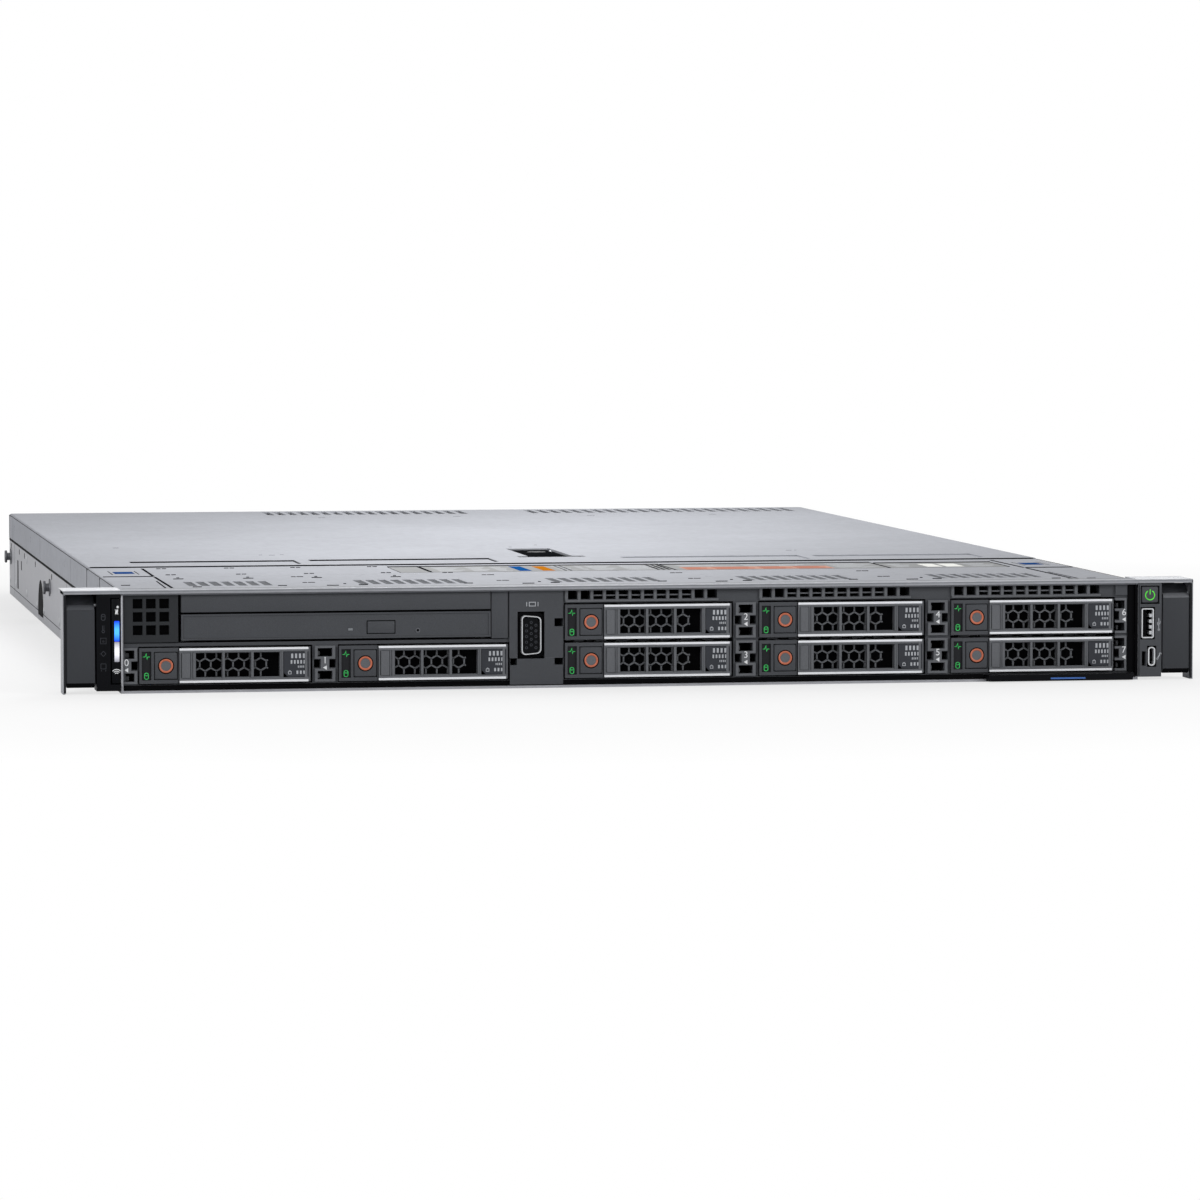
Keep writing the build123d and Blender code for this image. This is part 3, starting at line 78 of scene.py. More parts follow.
def corner_points(half_u, half_v, radius, steps=3):
    """Closed outline round a rectangle: each corner is its centre plus radius times (cos a, sin a)."""
    angle = np.linspace(0, TURN / 4, steps + 1)[None, :] + np.arange(4)[:, None] * TURN / 4
    sign = np.stack([[1, -1, -1, 1], [1, 1, -1, -1]], -1)[:, None, :]
    middle = sign * (np.array([half_u, half_v]) - radius)
    return (middle + radius * np.stack([np.cos(angle), np.sin(angle)], -1)).reshape(-1, 2)


def arc(u, v, radius, start, end, steps=12):
    """Points on a circle about (u, v), from a start angle to an end angle in degrees."""
    angle = np.radians(np.linspace(start, end, steps + 1))
    return np.stack([u + radius * np.cos(angle), v + radius * np.sin(angle)], -1)


def lay(outline, w, plane="xz"):
    """Puts points of a flat outline at height w over a plane: xz faces the front, xy the top, yz the side."""
    outline = np.asarray(outline, float)
    w = np.full(len(outline), float(w))
    order = {"xz": (0, 2, 1), "xy": (0, 1, 2), "yz": (1, 2, 0)}[plane]
    flat = np.stack([outline[:, 0], outline[:, 1], w], -1)
    points = np.empty_like(flat)
    points[:, order] = flat
    return points


class Shape:
    """Closed surfaces in millimetres, with Y from the ears' front plane, that become one piece."""

    def __init__(self):
        self.points, self.loops, self.sizes, self.paints, self.count = [], [], [], [], 0

    def add(self, points, faces, paint=0):
        """Adds points and arrays of faces; the whole is turned so that its signed volume is positive."""
        points = np.asarray(points, float).reshape(-1, 3)
        volume = 0.0
        centred = points - points.mean(0)
        for group in faces:
            first = centred[group[:, :1]]
            cross = np.cross(centred[group[:, 1:-1]], centred[group[:, 2:]])
            volume += (first * cross).sum()
        for group in faces:
            turned = group[:, ::-1] if volume < 0 else group
            self.loops.append((turned + self.count).ravel())
            self.sizes.append(np.full(len(group), group.shape[1]))
            self.paints.append(np.full(len(group), paint))
        self.points.append(points)
        self.count += len(points)
        return self

    def sweep(self, sections, closed=False, paint=0):
        """Skin over closed outlines: point j of outline i joins points j and j + 1 of outline i + 1."""
        sections = np.asarray(sections, float)
        rows, size = sections.shape[:2]
        i = np.arange(rows if closed else rows - 1)[:, None] * size
        j = np.arange(size)[None, :]
        up, across = (i + size) % (rows * size), (j + 1) % size
        faces = [np.stack([i + j, i + across, up + across, up + j], -1).reshape(-1, 4)]
        if not closed:
            ends = np.arange(size)[None, :]
            faces += [ends[:, ::-1], ends + (rows - 1) * size]
        return self.add(sections, faces, paint)

    def box(self, x, y, z, radius=0.25, paint=0, steps=1):
        """Box with rounded edges: outlines along Z whose corners shrink with the cosine of the edge's arc."""
        spans = np.array([x, y, z], float)
        half = (spans[:, 1] - spans[:, 0]) / 2
        radius = min(radius, 0.49 * half.min() * 2)
        angle = np.linspace(-TURN / 4, 0, steps + 1)
        ring = np.maximum(radius * np.cos(angle), radius * 0.15)
        rise = radius * (1 + np.sin(angle))
        start = corner_points(half[0] - radius, half[1] - radius, 0, steps)
        turned = corner_points(1.0, 1.0, 1.0, steps)
        levels = np.concatenate([rise, spans[2, 1] - spans[2, 0] - rise[::-1]])
        rings = np.concatenate([ring, ring[::-1]])
        flat = start[None] + turned[None] * rings[:, None, None]
        heights = np.broadcast_to(levels[:, None, None], flat.shape[:2] + (1,))
        sections = np.concatenate([flat, heights], -1)
        return self.sweep(sections + [spans[0].mean(), spans[1].mean(), spans[2, 0]], paint=paint)

    def slab(self, u, v, w, holes=(), plane="xz", paint=0):
        """Flat plate less rectangular holes, on a grid of all their edges, with walls at the holes' edges."""
        us = np.unique(np.clip([*u, *(e for h in holes for e in h[:2])], *u).round(5))
        vs = np.unique(np.clip([*v, *(e for h in holes for e in h[2:])], *v).round(5))
        mid_u, mid_v = (us[1:] + us[:-1]) / 2, (vs[1:] + vs[:-1]) / 2
        solid = np.ones((len(mid_u) + 2, len(mid_v) + 2), bool)
        solid[[0, -1], :] = solid[:, [0, -1]] = False
        for u0, u1, v0, v1 in holes:
            inside = ((mid_u > u0) & (mid_u < u1))[:, None] & ((mid_v > v0) & (mid_v < v1))[None]
            solid[1:-1, 1:-1] &= ~inside
        size = len(us) * len(vs)
        index = np.arange(size).reshape(len(us), len(vs))
        i, j = np.nonzero(solid[1:-1, 1:-1])
        front = np.stack([index[i, j], index[i + 1, j], index[i + 1, j + 1], index[i, j + 1]], -1)
        faces = [front, front[:, ::-1] + size]
        for di, dj, a, b in ((0, -1, (0, 0), (1, 0)), (1, 0, (1, 0), (1, 1)), (0, 1, (1, 1), (0, 1)),
                             (-1, 0, (0, 1), (0, 0))):
            open_side = ~solid[i + 1 + di, j + 1 + dj]
            p = index[i[open_side] + a[0], j[open_side] + a[1]]
            q = index[i[open_side] + b[0], j[open_side] + b[1]]
            faces.append(np.stack([q, p, p + size, q + size], -1))
        grid = np.stack(np.meshgrid(us, vs, indexing="ij"), -1).reshape(-1, 2)
        points = np.concatenate([lay(grid, w[0], plane), lay(grid, w[1], plane)])
        used, packed = np.unique(np.concatenate(faces), return_inverse=True)
        return self.add(points[used], [packed.reshape(-1, 4)], paint)

    def prism(self, outline, w, plane="xz", paint=0, edge=0.0):
        """Straight wall round an outline between two heights, with the front edge drawn in by edge."""
        outline = np.asarray(outline, float)
        if not edge:
            return self.sweep([lay(outline, w[0], plane), lay(outline, w[1], plane)], paint=paint)
        middle = (outline.max(0) + outline.min(0)) / 2
        half = (outline.max(0) - outline.min(0)) / 2
        drawn = middle + (outline - middle) * (1 - edge / half)
        levels = [lay(drawn, w[0], plane), lay(outline, w[0] + np.sign(w[1] - w[0]) * edge, plane)]
        return self.sweep([*levels, lay(outline, w[1], plane)], paint=paint)

    def stroke(self, path, width, w, plane="xz", closed=False, paint=0):
        """Flat band along a path: each corner's two edge points lie along the mitre, half a width away."""
        path = np.asarray(path, float)
        ahead, behind = np.roll(path, -1, 0) - path, path - np.roll(path, 1, 0)
        if not closed:
            ahead[-1], behind[0] = behind[-1], ahead[0]
        ahead /= np.linalg.norm(ahead, axis=1)[:, None]
        behind /= np.linalg.norm(behind, axis=1)[:, None]
        normal = np.stack([-(ahead + behind)[:, 1], (ahead + behind)[:, 0]], -1)
        normal /= np.linalg.norm(normal, axis=1)[:, None]
        stretch = 1 / np.clip(np.abs((normal * np.stack([-ahead[:, 1], ahead[:, 0]], -1)).sum(1)), 0.4, 1)
        side = normal * (stretch * width / 2)[:, None]
        corners = [lay(path + side, w[0], plane), lay(path - side, w[0], plane)]
        corners += [lay(path - side, w[1], plane), lay(path + side, w[1], plane)]
        return self.sweep(np.stack(corners, 1), closed, paint)

    def lathe(self, profile, centre, plane="xz", steps=24, closed=False, paint=0):
        """Profile of (radius, height) points turned about an axis through centre, square to the plane."""
        circle = arc(0, 0, 1, 0, 360, steps)[:-1]
        sections = [lay(np.array(centre) + max(radius, 0.02) * circle, height, plane)
                    for radius, height in profile]
        return self.sweep(sections, closed, paint)

    def copies(self, other, offsets):
        """Adds another shape once for each offset."""
        points = np.concatenate(other.points)
        loops, sizes, paints = (np.concatenate(part) for part in (other.loops, other.sizes, other.paints))
        for offset in np.asarray(offsets, float).reshape(-1, 3):
            self.points.append(points + offset)
            self.loops.append(loops + self.count)
            self.sizes.append(sizes)
            self.paints.append(paints)
            self.count += len(points)
        return self

    def at(self, x, z):
        """The same shape moved across and up."""
        return Shape().copies(self, [(x, 0, z)])

    def mirrored(self):
        """The same shape on the other side of the machine, with its faces turned back outwards."""
        other = Shape()
        other.points = [part * [-1, 1, 1] for part in self.points]
        for loops, sizes in zip(self.loops, self.sizes):
            faces = np.split(loops, np.cumsum(sizes)[:-1])
            other.loops.append(np.concatenate([face[::-1] for face in faces]))
        other.sizes, other.paints, other.count = list(self.sizes), list(self.paints), self.count
        return other


def mesh_of(name, shape):
    """The shape's points and faces as a Blender mesh, in metres."""
    points = np.concatenate(shape.points) * MM + [0, FRONT, 0]
    loops, sizes, paints = (np.concatenate(part) for part in (shape.loops, shape.sizes, shape.paints))
    mesh = bpy.data.meshes.new(name)
    mesh.vertices.add(len(points))
    mesh.vertices.foreach_set("co", points.ravel())
    mesh.loops.add(len(loops))
    mesh.loops.foreach_set("vertex_index", loops)
    mesh.polygons.add(len(sizes))
    mesh.polygons.foreach_set("loop_start", np.concatenate([[0], np.cumsum(sizes)[:-1]]))
    mesh.polygons.foreach_set("material_index", paints)
    mesh.update(calc_edges=True)
    mesh.validate()
    return mesh


def piece(name, shape, body, finishes, stands_for=(), bevel=0.0, segments=2, wear_and_highlight=None, angle=35):
    """Makes an object of a shape, gives it finishes, and lets it ride on a body."""
    mesh = mesh_of(name, shape)
    made = bpy.data.objects.new(name, mesh)
    bpy.context.scene.collection.objects.link(made)
    for finish in finishes:
        mesh.materials.append(FINISHES[finish])
    mesh.polygons.foreach_set("use_smooth", np.ones(len(mesh.polygons), bool))
    mesh.set_sharp_from_angle(angle=np.radians(angle))
    if bevel:
        # The bevel's new faces take a paler finish: partly edge wear, partly a painted highlight along the
        # rounded edges.
        if wear_and_highlight:
            mesh.materials.append(FINISHES[wear_and_highlight])
        rounding = made.modifiers.new("rounded edges", "BEVEL")
        rounding.width, rounding.segments = bevel * MM, segments
        rounding.limit_method, rounding.angle_limit = "ANGLE", np.radians(50)
        rounding.use_clamp_overlap = True
        rounding.harden_normals = True
        rounding.material = len(finishes) if wear_and_highlight else -1
    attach(made, body)
    if stands_for:
        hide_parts(*stands_for)
    return made


def block_of(node, radius, steps):
    """Box with rounded edges that fills a node's own box."""
    low, high = span(node)
    return Shape().box((low[0], high[0]), (low[1], high[1]), (low[2], high[2]), radius, steps=steps)


def both_sides(name, shape, body, finishes):
    """The same piece on the left and, mirrored, on the right."""
    piece(f"{name}_left", shape, body, finishes)
    return piece(f"{name}_right", shape.mirrored(), body, finishes)


# Finishes


def linear(red, green, blue):
    """A colour as it looks on a screen, from 0 to 255, as Blender's linear values."""
    screen = np.array([red, green, blue]) / 255
    return tuple(np.where(screen <= 0.04045, screen / 12.92, ((screen + 0.055) / 1.055) ** 2.4))


class Wire:
    """One socket of a material's node tree, on which sums and products add Math nodes."""

    def __init__(self, finish, socket):
        self.finish, self.socket = finish, socket

    def maths(self, operation, *values):
        """A Math node of this wire and other wires or numbers."""
        inputs = dict(enumerate([self, *values]))
        return self.finish.node("ShaderNodeMath", {"operation": operation}, inputs)

    def __add__(self, other):
        return self.maths("ADD", other)

    def __mul__(self, other):
        return self.maths("MULTIPLY", other)

    def __sub__(self, other):
        return self.maths("SUBTRACT", other)

    def __rsub__(self, other):
        return self.finish.node("ShaderNodeMath", {"operation": "SUBTRACT"}, {0: other, 1: self})

    __radd__ = __add__
    __rmul__ = __mul__

    def ramp(self, low, high, start=0.0, end=1.0):
        """This wire's values from low to high, spread from start to end and held beyond them."""
        values = {"Value": self, "From Min": low, "From Max": high, "To Min": start, "To Max": end}
        return self.finish.node("ShaderNodeMapRange", {"clamp": True}, values)


class Finish:
    """One procedural material: a Principled BSDF and the patterns that vary it."""

    def __init__(self, name, colour, roughness, **constants):
        self.material = bpy.data.materials.new(name)
        self.material.use_nodes = True
        self.tree = self.material.node_tree
        self.shader = self.tree.nodes["Principled BSDF"]
        self.colour, self.roughness = (*linear(*colour), 1.0), roughness
        self.shader.inputs["Base Color"].default_value = self.colour
        self.shader.inputs["Roughness"].default_value = roughness
        for socket, value in constants.items():
            self.shader.inputs[socket.replace("_", " ")].default_value = value
        self.material.diffuse_color = self.colour
        self.place = None

    def node(self, kind, settings, inputs, output=0):
        """Adds a node: first its settings, then a value or a link for each of its sockets."""
        made = self.tree.nodes.new(kind)
        for name, value in settings.items():
            setattr(made, name, value)
        for key, value in inputs.items():
            socket = made.inputs[key]
            if isinstance(value, Wire):
                self.tree.links.new(value.socket, socket)
            else:
                socket.default_value = value
        return Wire(self, made.outputs[output])

    def coordinates(self, scale=(1, 1, 1)):
        """Object coordinates in metres, stretched by a scale on each axis."""
        if not self.place:
            self.place = self.node("ShaderNodeTexCoord", {}, {}, "Object")
        return self.node("ShaderNodeMapping", {}, {"Vector": self.place, "Scale": scale})

    def noise(self, size, detail=2.0, stretch=(1, 1, 1)):
        """Soft noise from 0 to 1 whose blotches are about size millimetres wide."""
        scale = tuple(s / (size * MM) for s in stretch)
        inputs = {"Vector": self.coordinates(scale), "Scale": 1.0, "Detail": detail, "Roughness": 0.55}
        return self.node("ShaderNodeTexNoise", {}, inputs, "Fac")

    def cells(self, size, output="Distance", feature="F1", stretch=(1, 1, 1), randomness=1.0):
        """Voronoi cells about size millimetres wide."""
        scale = tuple(s / (size * MM) for s in stretch)
        inputs = {"Vector": self.coordinates(scale), "Scale": 1.0, "Randomness": randomness}
        return self.node("ShaderNodeTexVoronoi", {"feature": feature}, inputs, output)

    def grey_of(self, colour_wire):
        """The red part of a colour, as a number from 0 to 1."""
        return self.node("ShaderNodeSeparateColor", {}, {"Color": colour_wire}, "Red")

    def blend(self, mask, first, second):
        """Mix of two colours by a mask from 0 to 1."""
        inputs = {0: mask, 6: first, 7: second}
        return self.node("ShaderNodeMix", {"data_type": "RGBA"}, inputs, 2)

    def tone(self, mask, darker, lighter):
        """Base colour that goes from darker to lighter times the finish's own colour, by a mask."""
        low = tuple(part * darker for part in self.colour[:3]) + (1.0,)
        high = tuple(min(part * lighter, 1.0) for part in self.colour[:3]) + (1.0,)
        return self.blend(mask, low, high)

    def feed(self, socket, wire):
        """Links a wire to a socket of the shader."""
        self.tree.links.new(wire.socket, self.shader.inputs[socket])
        return self

    def bump(self, height, depth, strength=1.0):
        """Relief of a height pattern, depth millimetres high."""
        inputs = {"Strength": strength, "Distance": depth * MM, "Height": height}
        return self.feed("Normal", self.node("ShaderNodeBump", {}, inputs))


def rolled_sheet(name, colour, roughness, metallic=0.9, spangle=3.0, gloss=0.5):
    """Zinc-coated sheet: crystal spangle, fine rolling lines along the depth, and faint handling marks."""
    made = Finish(name, colour, roughness, Metallic=metallic, Specular_IOR_Level=gloss)
    crystals = made.grey_of(made.cells(spangle, "Color", stretch=(1, 0.7, 1)))
    lines = made.noise(0.5, 3.0, (1, 0.012, 1))
    marks = made.noise(70.0, 5.0)
    mask = crystals * 0.3 + lines * 0.3 + marks.ramp(0.3, 0.7) * 0.4
    made.feed("Base Color", made.tone(mask, 0.86, 1.12))
    shine = crystals * 0.07 + marks.ramp(0.35, 0.65) * 0.08 + lines * 0.06
    made.feed("Roughness", shine + (roughness - 0.1))
    return made.bump(lines * 0.6 + crystals * 0.1, 0.012, 0.5).material


def moulded(name, colour, roughness, grain=0.28, depth=0.02, speck=0.16, gloss=0.2):
    """Textured plastic: a fine pebble grain, paler specks on its tops, and slightly polished patches."""
    made = Finish(name, colour, roughness, Specular_IOR_Level=gloss)
    pebble = made.noise(grain, 2.0)
    patches = made.noise(26.0, 3.0)
    made.feed("Base Color", made.tone(pebble.ramp(0.3, 0.7) * 0.7 + patches.ramp(0.3, 0.7) * 0.3,
                                      1 - speck, 1 + speck))
    made.feed("Roughness", patches.ramp(0.35, 0.7, roughness - 0.06, roughness + 0.07))
    return made.bump(pebble, depth, 0.7).material


def smooth_plastic(name, colour, roughness, gloss=0.35):
    """Even plastic or paint with a faint flow ripple and a little dust in its gloss."""
    made = Finish(name, colour, roughness, Specular_IOR_Level=gloss)
    ripple, dust = made.noise(9.0, 2.0), made.noise(0.6, 4.0)
    made.feed("Base Color", made.tone(ripple.ramp(0.3, 0.7), 0.92, 1.08))
    made.feed("Roughness", (dust.ramp(0.4, 0.75) * 0.1 + ripple * 0.06) + (roughness - 0.05))
    return made.bump(ripple, 0.02, 0.3).material


def brushed(name, colour, roughness, along=(0.02, 1, 1), metallic=1.0):
    """Bright metal brushed in one direction, with the lines in its gloss and its relief."""
    made = Finish(name, colour, roughness, Metallic=metallic)
    lines = made.noise(0.12, 2.0, along)
    haze = made.noise(14.0, 2.0)
    made.feed("Base Color", made.tone(lines * 0.7 + haze * 0.3, 0.82, 1.12))
    made.feed("Roughness", lines * 0.16 + haze * 0.1 + (roughness - 0.12))
    return made.bump(lines, 0.006, 0.5).material


def lit(name, colour, strength, spread=0.5):
    """Lamp behind a translucent mark: brighter in the middle of its diffuser's own cloudy grain."""
    made = Finish(name, colour, 0.45, Specular_IOR_Level=0.1)
    cloud = made.noise(1.4, 1.0)
    glow = made.blend(cloud.ramp(0.2, 0.8), tuple(c * (1 - spread) for c in made.colour[:3]) + (1.0,),
                      made.colour)
    made.shader.inputs["Emission Strength"].default_value = strength
    return made.feed("Emission Color", glow).feed("Base Color", glow).material


def lit_bar(name, edge, core, strength, middle, half):
    """Light bar that fades from its core, middle mm above the floor, to its edge colour at both ends."""
    made = Finish(name, edge, 0.4, Specular_IOR_Level=0.1)
    height = made.node("ShaderNodeSeparateXYZ", {}, {0: made.coordinates()}, "Z")
    away = (height - middle * MM).maths("ABSOLUTE")
    glow = made.blend(away.ramp(0.2 * half * MM, half * MM), (*linear(*core), 1.0), made.colour)
    made.shader.inputs["Emission Strength"].default_value = strength
    return made.feed("Emission Color", glow).feed("Base Color", glow).material


def lacquered_board(name, colour):
    """Circuit board under solder mask: straight copper tracks on two grids, round vias, and weave below."""
    made = Finish(name, colour, 0.34, Specular_IOR_Level=0.5)
    tracks = made.cells(2.6, "Distance", "DISTANCE_TO_EDGE", (1, 0.16, 1), 0.55).ramp(0.03, 0.07, 1.0, 0.0)
    cross = made.cells(7.0, "Distance", "DISTANCE_TO_EDGE", (0.18, 1, 1), 0.5).ramp(0.02, 0.05, 1.0, 0.0)
    vias = made.cells(4.4, "Distance", "F1", (1, 1, 1), 0.8).ramp(0.08, 0.12, 1.0, 0.0)
    copper = (tracks * 0.7 + cross * 0.5).maths("MINIMUM", 1.0)
    ink = made.tone(copper, 0.8, 2.1)
    made.feed("Base Color", made.blend(vias, ink, (0.42, 0.36, 0.2, 1.0)))
    made.feed("Roughness", vias * -0.1 + (made.noise(20.0, 2.0) * 0.1 + 0.3))
    return made.bump(copper + vias, 0.03, 0.6).material


def cast_metal(name, colour, roughness):
    """Die-cast or extruded aluminium: matt mottling with a fine sandy skin."""
    made = Finish(name, colour, roughness, Metallic=0.9)
    sand, mottle = made.noise(0.25, 3.0), made.noise(12.0, 3.0)
    made.feed("Base Color", made.tone(sand * 0.4 + mottle * 0.6, 0.82, 1.14))
    made.feed("Roughness", sand * 0.12 + mottle * 0.1 + (roughness - 0.1))
    return made.bump(sand, 0.015, 0.6).material


def printed_label(name, colour, gloss=0.5):
    """Matt coated paper with a faint fibre and slight yellowing in patches."""
    made = Finish(name, colour, 0.55, Specular_IOR_Level=gloss)
    fibre, patches = made.noise(0.3, 3.0), made.noise(18.0, 2.0)
    made.feed("Base Color", made.tone(fibre * 0.3 + patches * 0.7, 0.93, 1.03))
    made.feed("Roughness", fibre * 0.15 + 0.45)
    return made.bump(fibre, 0.008, 0.3).material


def make_finishes(settings):
    """Every finish of the server by the name that its pieces use; the main colours are the panel's."""
    def screen(name):
        """One of the panel's colours, from 0 to 255."""
        return tuple(round(part * 255) for part in getattr(settings, name))

    return {
        "cover sheet": rolled_sheet("cover_sheet", screen("roof"), 0.5, 0.18, gloss=0.0),
        "case sheet": rolled_sheet("case_sheet", screen("case"), 0.46, 0.5),
        "ear sheet": rolled_sheet("ear_sheet", screen("ear"), 0.4, 0.6),
        # worn sheet is paler steel for bevelled edges: partly wear, partly a painted highlight.
        "worn sheet": rolled_sheet("worn_and_highlight_sheet", (186, 188, 192), 0.34, 0.7),
        "supply sheet": rolled_sheet("supply_sheet", (168, 169, 172), 0.4),
        "charcoal": moulded("charcoal_plastic", screen("frame"), 0.6),
        # charcoal edge is paler plastic: a painted highlight on bevelled plastic edges, and painted shade
        # where it lies on the steel roof's front; on the control panel's trim and the eject button's ring it
        # is their own colour.
        "charcoal edge": moulded("charcoal_edge", (98, 100, 105), 0.5, 0.5, 0.008, 0.08),
        "handle plastic": moulded("handle_plastic", screen("handle"), 0.56, 0.24),
        "soft black": moulded("soft_black", (30, 31, 34), 0.5, 0.2, 0.01, 0.1, 0.15),
        "latch plastic": moulded("latch_plastic", screen("latch"), 0.56, 0.3, 0.022, 0.14),
        "slot floor": smooth_plastic("slot_floor", (108, 110, 114), 0.9, 0.04),
        "deep black": smooth_plastic("deep_black", (8, 8, 10), 0.7, 0.04),
        "post plastic": moulded("post_plastic", (96, 98, 102), 0.6),
        "vent black": moulded("vent_black", (40, 42, 45), 0.6),
        "latch lip highlight": moulded("latch_lip_highlight", (96, 98, 102), 0.5),
        "lever black": moulded("lever_black", (20, 21, 23), 0.6, 0.2, 0.01, 0.1, 0.0),
        "panel black": smooth_plastic("panel_black", (14, 15, 18), 0.34, 0.06),
        "label plate": smooth_plastic("label_plate", (58, 60, 65), 0.5, 0.1),
        "bright strip": brushed("bright_strip", (236, 238, 242), 0.34, metallic=0.5),
        "port metal": brushed("port_metal", (214, 216, 219), 0.3, (1, 0.02, 1), 0.6),
        "plate black": smooth_plastic("plate_black", (30, 31, 34), 0.5, 0.12),
        "stud metal": brushed("stud_metal", (104, 105, 109), 0.36, (1, 1, 1)),
        "screw metal": brushed("screw_metal", (176, 178, 182), 0.3, (1, 1, 1)),
        "gold": brushed("gold_contacts", (214, 170, 84), 0.3, (1, 0.05, 1)),
        "copper": brushed("copper_base", (196, 122, 84), 0.32, (1, 0.05, 1)),
        "ring paint": smooth_plastic("ring_paint", screen("ring"), 0.36, 0.6),
        "mark grey": smooth_plastic("mark_grey", (62, 64, 69), 0.5, 0.1),
        "comb grey": smooth_plastic("comb_grey", (88, 90, 94), 0.5),
        "mark white": smooth_plastic("mark_white", (226, 228, 230), 0.5),
        "print grey": smooth_plastic("print_grey", (176, 179, 184), 0.6, 0.1),
        # print dark is print on labels, and painted shade on raised tabs, pad rims and seams.
        "print and shade dark": smooth_plastic("print_and_shade_dark", (30, 31, 34), 0.8, 0.0),
        "green light": lit("green_light", (64, 186, 96), 0.5),
        "power light": lit("power_light", (92, 214, 72), 0.6),
        "blue light": lit_bar("blue_light", (10, 50, 235), (70, 160, 255), 0.95, 25.9, 4.3),
        "white light": lit_bar("white_light", (128, 128, 138), (236, 236, 244), 0.5, 17.4, 4.3),
        "led window": smooth_plastic("led_window", (120, 124, 128), 0.25),
        "tag blue": smooth_plastic("tag_blue", screen("tag"), 0.4),
        "touch blue": smooth_plastic("touch_blue", (44, 74, 128), 0.6, 0.0),
        "board": lacquered_board("board", (14, 62, 40)),
        "memory board": lacquered_board("memory_board", (12, 52, 36)),
        "chip": smooth_plastic("chip_resin", (30, 30, 32), 0.45),
        "socket plastic": smooth_plastic("socket_plastic", (22, 23, 26), 0.5),
        "ivory plastic": smooth_plastic("ivory_plastic", (206, 202, 188), 0.5),
        "heatsink": cast_metal("heatsink", (196, 198, 200), 0.36),
        "disk casting": cast_metal("disk_casting", (170, 172, 176), 0.42),
        "label white": printed_label("label_white", (222, 222, 216)),
        "label silver": printed_label("label_silver", (164, 165, 166), 0.0),
        "label blue": printed_label("label_blue", (24, 84, 150), 0.0),
        "label orange": printed_label("label_orange", (188, 122, 104), 0.0),
        "label amber": printed_label("label_amber", (190, 118, 30), 0.0),
        "label blush": printed_label("label_blush", (206, 160, 144), 0.0),
        "fan plastic": moulded("fan_plastic", (27, 28, 30), 0.5, 0.4),
        "release plastic": moulded("release_plastic", screen("release"), 0.48, 0.3),
        "capacitor": smooth_plastic("capacitor_sleeve", (38, 44, 60), 0.4),
    }


FINISHES = {}


# Marks


def marks_shape(marks, w, plane="xz"):
    """Flat marks as thin bands: each is a path, its width, and whether it closes."""
    shape = Shape()
    for path, width, closed in marks:
        shape.stroke(path, width, w, plane, closed)
    return shape


def moved(path, u, v, turn=0.0, size=1.0):
    """A path turned by some degrees, scaled, and moved to (u, v)."""
    angle = np.radians(turn)
    matrix = np.array([[np.cos(angle), np.sin(angle)], [-np.sin(angle), np.cos(angle)]])
    return np.asarray(path, float) @ matrix * size + [u, v]


def cylinder_mark(u, v, size=1.0):
    """Stacked-disk pictogram: an ellipse above a rounded bowl."""
    shell = np.concatenate([arc(0, 0.85, 1, 0, 180, 8) * [1.0, 0.75] + [0, 0.21],
                            arc(0, -0.85, 1, 180, 360, 8) * [1.0, 0.75] - [0, 0.21]])
    rim = arc(0, 0.95, 1, 200, 340, 6) * [0.6, 0.7] + [0, 0.25]
    return [(moved(shell, u, v, 0, size), 0.34 * size, True), (moved(rim, u, v, 0, size), 0.3 * size, False)]


def pulse_mark(u, v, size=1.0):
    """Heartbeat pictogram: a level line broken by one sharp beat."""
    path = [(-1.8, -0.15), (-0.75, -0.15), (-0.5, 0.35), (-0.05, 1.5), (0.3, -1.3), (0.7, -0.15),
            (1.8, -0.15)]
    return [(moved(path, u, v, 0, size), 0.3 * size, False)]


def padlock_mark(u, v, size=1.0):
    """Padlock pictogram: a square body under a round shackle."""
    body = [(-0.7, -0.9), (0.7, -0.9), (0.7, 0.3), (-0.7, 0.3)]
    shackle = arc(0, 0.3, 0.45, 0, 180, 6)
    return [(moved(body, u, v, 0, size), 0.28 * size, True),
            (moved(shackle, u, v, 0, size), 0.26 * size, False)]


def power_mark(u, v, radius, width):
    """Power pictogram: an open ring with an upright bar in its gap."""
    ring = arc(u, v, radius, 118, 422, 22)
    bar = [(u, v + radius * 0.15), (u, v + radius * 1.25)]
    return [(ring, width, False), (bar, width, False)]


def wireless_mark(u, v, size=1.0):
    """Radio pictogram: three nested arcs, open downwards."""
    return [(arc(u, v - size, radius * size, 42, 138, 8), 0.34 * size, False) for radius in (0.9, 1.7, 2.5)]


def square_mark(u, v, half, width):
    """Outline of a square pictogram."""
    return [(moved([(-1, -1), (1, -1), (1, 1), (-1, 1)], u, v, 0, half), width, True)]


def triangle(u, v, half):
    """Solid triangle that points left."""
    return moved([(-0.9, 0.1), (0.7, -0.9), (0.7, 1.0)], u, v, 0, half)


